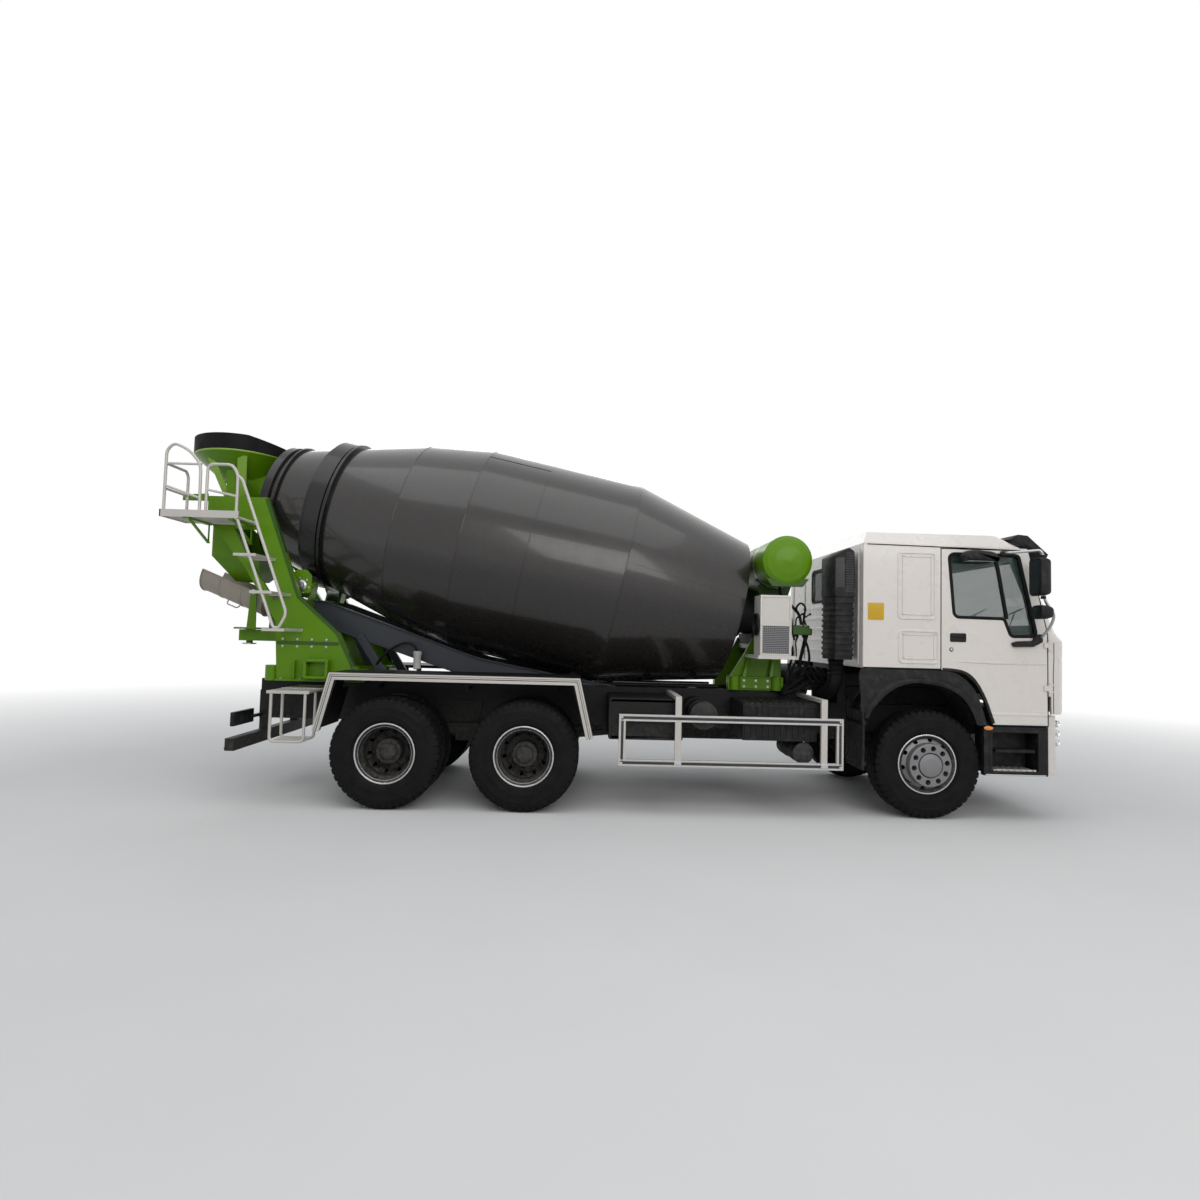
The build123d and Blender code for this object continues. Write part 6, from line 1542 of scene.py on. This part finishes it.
def cooler_details():
    shell = Shape()
    side = rect(-1.66, -1.34, 1.58, 2.20)
    ring_prism(shell, inset(side, -0.002), inset(side, 0.022), -0.975, -0.9865, -0.002)
    shell.box((-1.655, -1.345), (-0.9865, -0.975), (1.885, 1.900))
    shell.box((-1.69, -1.29), (-1.005, -0.40), (1.546, 1.5575))
    shell.done("cooler_frame", ALU_PAINT, "chassis", 0.002)
    core = Shape()
    core.row(15, (0, 0, 0.0185), (-1.638, -1.362), (-0.9835, -0.976), (1.607, 1.615))
    core.row(14, (0.0205, 0, 0), (-1.634, -1.629), (-0.9850, -0.976), (1.602, 1.885))
    core.done("cooler_core", RIM, "chassis")
    back = Shape().box((-1.64, -1.36), (-0.9815, -0.975), (1.60, 1.886))
    back.done("cooler_shade", CASTING, "chassis")
    fan = Shape()
    for s, x in ((1, -1.338), (-1, -1.662)):
        fan.lathe([(0.0, 0.118), (0.018, 0.116), (0.022, 0.108), (0.006, 0.102)], P(x, -0.85, 1.90), (s, 0, 0), 48)
        for k in range(5):
            fan.lathe([(0.012, 0.100 - k * 0.02), (0.016, 0.098 - k * 0.02), (0.012, 0.096 - k * 0.02)],
                      P(x, -0.85, 1.90), (s, 0, 0), 40, closed=True)
    fan.done("cooler_fan", PLASTIC, "chassis", 0.001)
    bolts = Shape().hexes([(P(x, -0.986, z), (0, -1, 0)) for x in (-1.648, -1.352) for z in (1.60, 1.89, 2.18)],
                          0.006, 0.005)
    bolts.done("cooler_bolts", STEEL, "chassis")


def intake_details():
    stack = Shape()
    outline = rounded(rect(-0.9495, -0.7455, -1.1295, -0.7305), 0.03, 4)
    for k in range(9):
        z = 1.60 + k * 0.058
        stack.plan(outline, (z, z + 0.026))
    stack.plan(inset(outline, 0.012), (1.562, 2.14))
    stack.plan(outline, (2.13, 2.19))
    top = rounded([(-0.95, 2.19), (-0.745, 2.19), (-0.745, 2.66), (-0.80, 2.70), (-0.95, 2.62)], 0.03, 4)
    stack.slab(top, -1.128, -0.732, 0.006, 0.010)
    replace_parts(stack.done("intake_stack", PLASTIC, "chassis", 0.003), "air_intake")
    grid = Shape()
    for k in range(16):
        grid.box((-0.835, -0.757), (-1.1315, -1.126), (2.25 + k * 0.0255, 2.262 + k * 0.0255))
        grid.box((-0.744, -0.7395), (-1.10, -0.76), (2.25 + k * 0.0255, 2.262 + k * 0.0255))
    grid.box((-0.80, -0.796), (-1.1330, -1.126), (2.245, 2.655))
    grid.done("intake_grille", GREY_PLASTIC_AND_SHADE, "chassis")
    plain = rounded([(-0.942, 2.29), (-0.850, 2.29), (-0.850, 2.60), (-0.942, 2.585)], 0.012, 3)
    Shape().plaque(plain, -1.127, -1.131, -1.1325, 0.004).done("intake_plate", GREY_PLASTIC_AND_SHADE, "chassis")
    pipe = Shape()
    hose(pipe, [P(-0.85, -0.90, 1.60), P(-0.85, -0.90, 1.44), P(-0.86, -0.88, 1.30), P(-0.88, -0.74, 1.20),
                P(-0.88, -0.56, 1.16), P(-0.86, -0.44, 1.14)], 0.074)
    for z in (1.545, 1.50, 1.455, 1.41):
        pipe.lathe([(-0.012, 0.074), (0.0, 0.084), (0.012, 0.074)], P(-0.85, -0.90, z), (0, 0, 1), 32, closed=True)
    pipe.done("intake_pipe", RUBBER, "chassis")


def engine_clutter():
    """What shows between cab and drum: engine top, rear box, hoses and arch box."""
    block = Shape()
    for y in (-0.27, 0.27):
        side = rounded([(-0.66, 1.245), (-0.66, 1.36), (-0.60, 1.40), (0.40, 1.40), (0.46, 1.36), (0.46, 1.245)],
                       0.03, 3)
        block.slab(side, y - 0.04, y + 0.04, 0.01, 0.01)
    block.box((-0.64, 0.44), (-0.22, 0.22), (1.235, 1.345))
    block.row(6, (0.17, 0, 0), (-0.60, -0.49), (-0.20, 0.20), (1.34, 1.375))
    block.done("engine_top", CASTING, "chassis", 0.006)
    box = Shape()
    side = rounded([(-1.22, 1.195), (-1.22, 1.40), (-1.17, 1.46), (-0.92, 1.46), (-0.80, 1.40), (-0.80, 1.195)],
                   0.035, 4)
    for y0, y1 in ((-0.395, -0.05), (0.03, 0.395)):
        box.slab(side, y0, y1, 0.012, 0.012)
    for k in range(7):
        for y in ((-0.40, -0.392), (0.392, 0.40)):
            box.box((-1.20 + k * 0.055, -1.175 + k * 0.055), y, (1.22, 1.40))
    box.done("rear_engine_box", GREY_PLASTIC_AND_SHADE, "chassis", 0.004)
    pipes = Shape()
    for y, top, r in ((-0.50, 1.36, 0.028), (-0.58, 1.30, 0.022), (-0.47, 1.44, 0.018), (0.52, 1.34, 0.028),
                      (0.60, 1.26, 0.02)):
        hose(pipes, [P(-1.30, y, 1.16), P(-1.15, y, top - 0.08), P(-0.98, y * 0.98, top), P(-0.80, y, top - 0.03),
                     P(-0.68, y * 0.9, 1.22), P(-0.55, y * 0.72, 1.12)], r)
    for k in range(4):
        hose(pipes, [P(-1.02 + k * 0.05, -0.42, 1.50 - k * 0.02), P(-1.05 + k * 0.06, -0.55, 1.42),
                     P(-1.00 + k * 0.07, -0.62, 1.28), P(-0.95 + k * 0.05, -0.52, 1.16)], 0.012)
    pipes.done("engine_hoses", RUBBER, "chassis")
    fill = Shape()
    for y in ((-0.80, -0.44), (0.44, 0.80)):
        fill.box((-0.79, -0.705), y, (1.10, 1.40))
    fill.row(8, (0, 0.042, 0), (-0.797, -0.789), (-0.78, -0.755), (1.13, 1.37))
    for s in (-1, 1):
        fill.beam(P(-0.75, s * 0.44, 1.20), P(-0.75, s * 0.70, 1.20), 0.06, 0.03)
    fill.done("rear_arch_box", PLASTIC, "chassis", 0.006)


def front_pedestal_details():
    lugs = Shape()
    for s in (-1, 1):
        for x in (-1.80, -1.345):
            lugs.rod(P(x, s * 0.452, 1.187), P(x, s * 0.452, 1.330), 0.058, 32)
            lugs.lathe([(0.0, 0.058), (0.010, 0.056), (0.014, 0.040)], P(x, s * 0.452, 1.330), (0, 0, 1), 32)
        lugs.box((-1.74, -1.40), (s * 0.452, s * 0.464), (1.20, 1.315))
        for x0, x1 in ((-1.70, -1.62), (-1.40, -1.36)):
            lugs.beam(P(x0, s * 0.456, 1.33), P(x1, s * 0.42, 1.60), 0.012, 0.04, (1, 0, 0))
    lugs.done("front_pedestal_lugs", GREEN, "chassis", 0.004)
    bolts = Shape()
    for s in (-1, 1):
        bolts.hexes([(P(x, s * 0.464, z), (0, s, 0)) for x in (-1.70, -1.57, -1.44) for z in (1.225, 1.29)], 0.011,
                    0.010)
    bolts.done("front_pedestal_bolts", STEEL, "chassis")


tank_details()
cooler_details()
intake_details()
engine_clutter()
front_pedestal_details()


# ---------------------------------------------------------------- along the chassis
def open_band(shape, path, d0, d1, y0, y1):
    """A bar along an open side path, from d0 to d1 inside it."""
    pts = [Vector(p) for p in path]
    rows = []
    for i, p in enumerate(pts):
        a = (p - pts[i - 1]).normalized() if i else None
        b = (pts[i + 1] - p).normalized() if i < len(pts) - 1 else None
        a, b = a or b, b or a
        n = Vector((a.y, -a.x)) + Vector((b.y, -b.x))
        n.normalize()
        k = 1 / max(0.3, n.dot(Vector((a.y, -a.x))))
        rows.append([P(q.x, y, q.y) for q, y in ((p + n * d0 * k, y0), (p + n * d0 * k, y1), (p + n * d1 * k, y1),
                                                 (p + n * d1 * k, y0))])
    return shape.rings(rows)


FENDER = [(-6.067, 0.756), (-5.927, 1.315), (-3.492, 1.315), (-3.352, 0.735)]


def fender_details():
    for side, out in SIDES:
        rail, dark = Shape(), Shape()
        open_band(rail, FENDER, -0.001, 0.068, out * 1.2445, out * 1.2475)
        open_band(rail, FENDER, -0.001, 0.016, out * 1.246, out * 1.2545)
        open_band(rail, FENDER, 0.054, 0.068, out * 1.246, out * 1.2525)
        rail.done(f"fender_rail_{side}", ALU_PAINT, "chassis", 0.0015)
        # Two dark lines in the channel beside its ridges: painted shade.
        open_band(dark, FENDER, 0.032, 0.038, out * 1.2470, out * 1.2485)
        open_band(dark, FENDER, 0.016, 0.019, out * 1.2470, out * 1.2485)
        dark.done(f"fender_rail_shade_lines_{side}", SEAL_AND_SHADE, "chassis")
        inner = Shape()
        for x in (-5.75, -4.70, -3.65):
            inner.box((x - 0.02, x + 0.02), (out * 0.60, out * 1.21), (1.270, 1.302))
        inner.done(f"fender_ribs_{side}", CHASSIS, "chassis", 0.003)


def guard_details():
    for side, out in SIDES:
        dark, edge = Shape(), Shape()
        y = (out * 1.2435, out * 1.2465)
        # Dark strips between the bright ribs and near the rail ends: painted shade, so the rail looks recessed.
        for z0 in (0.48, 0.915):
            dark.box((-3.06, -0.93), y, (z0 + 0.020, z0 + 0.046))
        for x in (-3.10, -0.955):
            dark.box((x + 0.020, x + 0.045), y, (0.52, 0.94))
        dark.done(f"guard_painted_shade_lines_{side}", GREY_PLASTIC_AND_SHADE, "chassis")
        for z0 in (0.48, 0.915):
            for k in (0.004, 0.052):
                edge.box((-3.095, -0.895), (out * 1.2435, out * 1.2500), (z0 + k, z0 + k + 0.009))
        for x in (-2.52, -1.08):
            edge.box((x - 0.034, x + 0.034), (out * 1.195, out * 1.252), (0.500, 0.545))
            edge.hexes([(P(x + k, out * 1.252, 0.522), (0, out, 0)) for k in (-0.018, 0.018)], 0.007, 0.006)
        edge.done(f"guard_edges_{side}", ALU, "chassis", 0.001)


def boxes_and_tanks():
    battery = Shape()
    for k in range(12):
        x = -1.845 + k * 0.060
        battery.box((x, x + 0.034), (-1.1455, -0.53), (1.085, 1.118))
        battery.box((x, x + 0.034), (-1.1465, -1.138), (0.76, 1.07))
    battery.box((-1.867, -1.113), (-1.148, -0.515), (1.068, 1.092))
    for x in (-1.70, -1.28):
        battery.box((x - 0.018, x + 0.018), (-1.152, -1.140), (0.95, 1.10))
    battery.done("battery_cover", PLASTIC, "chassis", 0.003)
    tool = Shape()
    side = rounded(rect(-3.20, -2.46, 0.72, 1.13), 0.025, 3)
    tool.stacked([(inset(side, 0.006), -1.146), (side, -1.138), (side, -0.47)])
    lid = inset(side, 0.030)
    tool.plaque(lid, -1.145, -1.151, -1.1535, 0.004)
    tool.box((-2.90, -2.76), (-1.159, -1.15), (0.98, 1.01))
    for x in (-3.10, -2.56):
        tool.box((x - 0.03, x + 0.03), (-0.48, -0.425), (0.80, 1.00))
    tool.done("tool_box", CHASSIS, "chassis", 0.003)
    rings = Shape()
    for x, z, r in ((-2.25, 0.97, 0.135), (-1.25, 0.62, 0.100)):
        at = P(x, -1.12, z)
        rings.lathe([(-0.012, r - 0.001), (-0.010, r + 0.004), (0.006, r + 0.004), (0.008, r * 0.93),
                     (0.016, r * 0.80), (0.022, r * 0.45), (0.024, 0.02)], at, (0, -1, 0), 48)
        for y in (-0.98, -0.70):
            rings.lathe(hoop(0, 0.018, r - 0.001, r + 0.004), P(x, y, z), (0, 1, 0), 48, closed=True)
    rings.done("air_tank_ends", CASTING, "chassis")
    fuel = Shape()
    section = rounded(rect(0.505, 1.1535, 0.505, 1.0435), 0.072, 5)
    for x in (-2.60, -1.75):
        a, b = inset(section, -0.0035), inset(section, 0.004)
        fuel.rings([at_x(h, line) for line, h in ((a, x - 0.03), (a, x + 0.03), (b, x + 0.03), (b, x - 0.03))],
                   closed_loop=True)
    fuel.lathe([(0.0, 0.050), (0.035, 0.050), (0.040, 0.044)], P(-1.62, 0.84, 1.035), (0, 0, 1), 36)
    fuel.done("fuel_tank_straps", STEEL, "chassis", 0.001)


def rear_lamps():
    rear = Shape()
    rear.box((-6.962, -6.948), (-1.12, 1.12), (0.532, 0.550))
    for s in (-1, 1):
        rear.box((-6.985, -6.945), (s * 0.56, s * 0.98), (0.735, 0.875))
        rear.beam(P(-6.93, s * 0.43, 0.80), P(-6.93, s * 0.62, 0.80), 0.04, 0.03)
    rear.done("rear_lamp_boxes", PLASTIC, "chassis", 0.004)
    for k, (name, material) in enumerate((("red", RED), ("amber", AMBER), ("clear", LENS))):
        lens = Shape()
        for s in (-1, 1):
            lens.box((-6.992, -6.984), (s * (0.575 + k * 0.135), s * (0.695 + k * 0.135)), (0.750, 0.860))
        lens.done(f"rear_lens_{name}", material, "chassis", 0.003)


def propeller_shaft():
    shafts = Shape()
    shafts.rod(P(-1.50, 0, 0.80), P(-3.80, 0, 0.66), 0.055, 28)
    for x, z in ((-1.52, 0.80), (-3.72, 0.665)):
        shafts.lathe([(-0.05, 0.075), (0.03, 0.085), (0.05, 0.060)], P(x, 0, z), (1, 0, -0.06), 28)
    shafts.done("propeller_shaft", CASTING, "chassis")


fender_details()
guard_details()
boxes_and_tanks()
rear_lamps()
propeller_shaft()


# ---------------------------------------------------------------- under the drum and at the back
def braces():
    """Side plates, cross bars and legs ahead of the rear pedestal, and the long pipes."""
    shape = Shape()
    side = [(-6.44, 2.05), (-6.30, 2.04), (-4.60, 1.455), (-3.60, 1.275), (-3.10, 1.188), (-4.35, 1.188),
            (-4.75, 1.255), (-6.42, 1.80)]
    for s in (-1, 1):
        shape.prism(side, (s * 0.385, s * 0.398))
        open_band(shape, [(-6.44, 2.05), (-6.30, 2.04), (-4.60, 1.455), (-3.60, 1.275), (-3.10, 1.190)], -0.001,
                  0.014, s * 0.355, s * 0.428)
        open_band(shape, [(-6.42, 1.815), (-4.75, 1.270), (-4.35, 1.202)], -0.001, 0.014, s * 0.355, s * 0.428)
        for x0, x1 in ((-6.28, -5.98), (-5.92, -5.60)):
            shape.beam(P(x0, s * 0.40, 1.80 + (x0 + 6.28) * -0.33), P(x1, s * 0.40, 1.19), 0.05, 0.09, (1, 0, 0))
    for x, z in ((-6.34, 1.90), (-5.60, 1.63), (-4.80, 1.36)):
        shape.beam(P(x, -0.39, z), P(x, 0.39, z), 0.08, 0.06)
    shape.done("pedestal_braces", SLATE_STEEL, "chassis", 0.004)
    pipes = Shape()
    for y, z in ((-0.30, 1.205), (-0.26, 1.207), (0.28, 1.205), (0.31, 1.207)):
        pipes.rod(P(-5.9, y, z), P(-1.95, y, z), 0.011, 10)
    pipes.done("long_pipes", CHASSIS, "chassis")


def rear_pedestal_details():
    dark, light = Shape(), Shape()
    for s in (-1, 1):
        open_band(dark, [(-6.83, 3.095), (-6.455, 2.072), (-6.035, 1.702), (-5.775, 1.190)], -0.003, 0.030, s * 0.680,
                  s * 0.7445)
        dark.box((-6.665, -6.02), (s * 0.739, s * 0.7455), (1.565, 1.600))
        light.box((-6.66, -5.78), (s * 0.66, s * 0.760), (1.186, 1.206))
        for x in (-6.46, -6.12):
            light.prism(rect(x, x + 0.012, 1.21, 1.40), (s * 0.742, s * 0.800))
        box = rounded(rect(-6.345, -6.095, 1.215, 1.42), 0.02, 4)
        ring_prism(light, box, inset(box, 0.030), s * 0.742, s * 0.838, s * 0.004)
        for x in (-6.72, -5.86):
            light.rod(P(x, s * 0.70, 1.187), P(x, s * 0.70, 1.345), 0.062 if x < -6.5 else 0.045, 28)
        light.prism([(-7.73, 3.05), (-7.47, 3.05), (-7.47, 3.13), (-7.73, 3.11)], (s * 0.70, s * 0.715))
        cover = [(-6.60, 2.11), (-6.60, 2.30), (-6.55, 2.36), (-6.44, 2.36), (-6.385, 2.30), (-6.385, 2.11)]
        light.prism(rounded(cover, 0.03, 3), (s * 0.600, s * 0.612))
    # The dark green bands along the pedestal's side plates are painted shade.
    dark.done("pedestal_shaded_edges", GREEN_SHADED, "chassis", 0.003)
    light.done("pedestal_brackets", GREEN, "chassis", 0.003)
    steel = Shape()
    for s in (-1, 1):
        at = P(-6.492, s * 0.612, 2.192)
        steel.lathe([(-0.005, 0.060), (0.012, 0.058), (0.020, 0.040), (0.030, 0.034)], at, (0, s, 0), 32)
        steel.hexes(circle_of(at, (0, s, 0), 0.082, 6), 0.009, 0.008)
        steel.hexes([(P(x, s * 0.7455, z), (0, s, 0)) for x in (-6.60, -6.45, -6.30, -6.15) for z in (1.545, 1.62)],
                    0.010, 0.009)
        steel.hexes([(P(x, s * 0.75, 1.206), (0, 0, 1)) for x in (-6.60, -6.40, -6.05, -5.92)], 0.012, 0.012)
    steel.done("pedestal_bolts", STEEL, "chassis")
    filt = Shape()
    filt.lathe([(0.0, 0.030), (0.012, 0.040), (0.150, 0.040), (0.165, 0.046), (0.190, 0.046), (0.196, 0.030)],
               P(-5.26, -0.50, 1.325), (0, 0, 1), 32)
    filt.done("oil_filter", WHITE_PLASTIC, "chassis")
    bracket = Shape()
    bracket.beam(P(-5.26, -0.425, 1.33), P(-5.26, -0.52, 1.33), 0.06, 0.012)
    hose(bracket, [P(-5.26, -0.50, 1.51), P(-5.30, -0.52, 1.58), P(-5.42, -0.50, 1.60), P(-5.60, -0.46, 1.50),
                   P(-5.72, -0.42, 1.36)], 0.014)
    bracket.beam(P(-5.26, -0.40, 1.195), P(-5.26, -0.40, 1.335), 0.05, 0.02, (0, 1, 0))
    bracket.done("filter_bracket", CHASSIS, "chassis", 0.001)


def platform():
    """The work platform's rails and grating, its arms and the ladder."""
    tubes = Shape()
    y = -1.18
    tubes.bent([P(-7.64, y, 2.81), P(-7.64, y, 3.46), P(-7.57, y, 3.535), P(-7.42, y, 3.47), P(-7.30, y, 3.33),
                P(-7.29, y, 2.81)], 0.0145, 0.07)
    tubes.bent([P(-7.23, y, 2.81), P(-7.23, y, 3.335), P(-6.99, y, 3.335), P(-6.93, y, 3.24), P(-6.93, y, 2.79)],
               0.0145, 0.07)
    tubes.bent([P(-7.64, y, 3.33), P(-7.64, -0.83, 3.33), P(-7.64, -0.79, 3.28), P(-7.64, -0.79, 2.81)], 0.0145, 0.06)
    for z0, z1 in ((3.33, 3.33), (3.11, 2.99)):
        tubes.rod(P(-7.64, y, z0), P(-7.29, y, z1), 0.012, 12)
    tubes.rod(P(-7.23, y, 3.08), P(-6.93, y, 3.02), 0.012, 12)
    tubes.rod(P(-7.64, -0.80, 3.08), P(-7.64, -1.18, 3.08), 0.012, 12)
    floor_edge = Shape()
    floor_edge.box((-7.67, -6.90), (-1.20, -1.186), (2.800, 2.872))
    floor_edge.box((-7.67, -7.656), (-1.20, -0.745), (2.800, 2.872))
    floor_edge.box((-7.66, -6.905), (-0.758, -0.744), (2.800, 2.832))
    floor_edge.row(24, (0.031, 0, 0), (-7.650, -7.642), (-1.19, -0.75), (2.808, 2.830))
    floor_edge.row(7, (0, 0.065, 0), (-7.66, -6.905), (-1.18, -1.172), (2.812, 2.826))
    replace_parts(tubes.done("platform_rails", ALU_PAINT, "chassis"), "work_platform")
    floor_edge.done("platform_grating", ALU_PAINT, "chassis", 0.001)
    arms = Shape()
    for x in (-7.42, -6.98):
        arms.beam(P(x, -0.741, 2.795), P(x, -1.19, 2.795), 0.05, 0.02)
        arms.prism(rect(x - 0.005, x + 0.005, 2.60, 2.79), (-0.741, -0.76))
        arms.beam(P(x, -0.745, 2.60), P(x, -1.10, 2.785), 0.012, 0.03, (1, 0, 0))
    arms.done("platform_arms", GREEN, "chassis", 0.002)
    ladder = Shape()
    ladder.bent([P(-6.914, y, 2.79), P(-6.514, y, 1.735), P(-6.46, y, 1.735), P(-6.39, y, 1.874), P(-6.885, y, 3.19),
                 P(-6.93, y, 3.225)], 0.0145, 0.06)
    for step_y in (y, -0.92):
        ladder.bent([P(x, step_y, z) for x, z in ((-6.50, 1.10), (-6.50, 0.63), (-6.17, 0.63), (-6.17, 1.10))],
                    0.0145, 0.05)
    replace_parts(ladder.done("ladder_rails", ALU_PAINT, "chassis"), "access_ladder")
    treads = Shape()
    for x, z in ((-6.825, 2.445), (-6.650, 2.080), (-6.512, 1.713)):
        treads.box((x - 0.11, x + 0.11), (-1.195, -1.185), (z - 0.014, z + 0.014))
        treads.box((x - 0.11, x + 0.11), (-0.755, -0.742), (z - 0.014, z + 0.014))
        treads.row(6, (0.0405, 0, 0), (x - 0.108, x - 0.094), (-1.19, -0.745), (z - 0.008, z + 0.012))
    treads.row(9, (0.0485, 0, 0), (-6.54, -6.522), (-1.195, -0.435), (1.098, 1.122))
    for y2 in (-1.20, -0.85, -0.445):
        treads.box((-6.54, -6.13), (y2, y2 + 0.014), (1.095, 1.125))
    treads.row(4, (0, 0.065, 0), (-6.49, -6.18), (-1.17, -1.15), (0.622, 0.642))
    treads.done("ladder_treads", ALU_PAINT, "chassis", 0.002)


def hopper_and_chute():
    paint_faces("feed_hopper", SEAL_AND_SHADE, lambda c, n: c.z > 3.645)
    rim = Shape()
    cx, a, b = -7.425, 0.525, 0.60
    loop = [P(cx + (a - 0.011) * math.cos(k * math.tau / 72), (b - 0.006) * math.sin(k * math.tau / 72), 3.640)
            for k in range(72)]
    rim.tube(loop, 0.011, 8, closed=True)
    # The hopper rim takes the green paint's lighter copy: painted highlight.
    rim.done("hopper_rim", GREEN_LIT, "chassis")
    struts = Shape()
    for s in (-1, 1):
        struts.beam(P(-7.24, s * 0.50, 3.60), P(-7.31, s * 0.34, 3.12), 0.016, 0.10, (1, 0, 0))
        struts.beam(P(-7.60, s * 0.46, 3.58), P(-7.44, s * 0.33, 3.12), 0.014, 0.07, (1, 0, 0))
    # The struts take the green paint's lighter copy: painted highlight.
    struts.done("hopper_struts", GREEN_LIT, "chassis", 0.002)
    pivot = P(*CHUTE_PIVOT)
    along = Vector((-math.cos(CHUTE_TILT), 0, math.sin(CHUTE_TILT)))
    up = Vector((math.sin(CHUTE_TILT), 0, math.cos(CHUTE_TILT)))

    def trough(s, angle, r):
        """A point s along the trough and r from its axis, turned by angle from the bottom."""
        return pivot + along * s + Vector((0, 1, 0)) * r * math.sin(angle) - up * r * math.cos(angle)

    edge = Shape()
    for s0 in (-0.108, 0.636):
        edge.tube([trough(s0, k * math.pi / 24, 0.2385) for k in range(-12, 13)], 0.008, 8)
    for s in (-1, 1):
        edge.tube([trough(-0.11 + k * 0.075, s * math.pi / 2, 0.2385) for k in range(11)], 0.009, 8)
    edge.done("chute_rim", CREAM, "chute_trough")
    ribs = Shape()
    for s0 in (0.16, 0.42):
        ribs.rings([[trough(s0 + d, k * math.pi / 24, r) for d,
                     r in ((-0.012, 0.2355), (0.012, 0.2355), (0.012, 0.2395), (-0.012, 0.2395))]
                    for k in range(-11, 12)])
    ribs.done("chute_ribs", CREAM, "chute_trough")
    handle = Shape()
    handle.bent([trough(0.30, -0.45, 0.236), trough(0.29, -0.45, 0.290), trough(0.16, -0.45, 0.290),
                 trough(0.15, -0.45, 0.236)], 0.008, 0.03)
    handle.done("chute_handle", WHITE_PLASTIC, "chute_trough")
    arm = Shape()
    arm.lathe([(0.0, 0.075), (0.010, 0.075), (0.014, 0.068)], P(-7.30, 0, 1.552), (0, 0, -1), 36)
    for s in (-1, 1):
        arm.lathe([(0.0, 0.030), (0.008, 0.030), (0.012, 0.020)], P(-7.15, s * 0.277, 2.125), (0, s, 0), 24)
    arm.done("chute_arm_pins", STEEL, "chute_arm")


braces()
rear_pedestal_details()
platform()
hopper_and_chute()
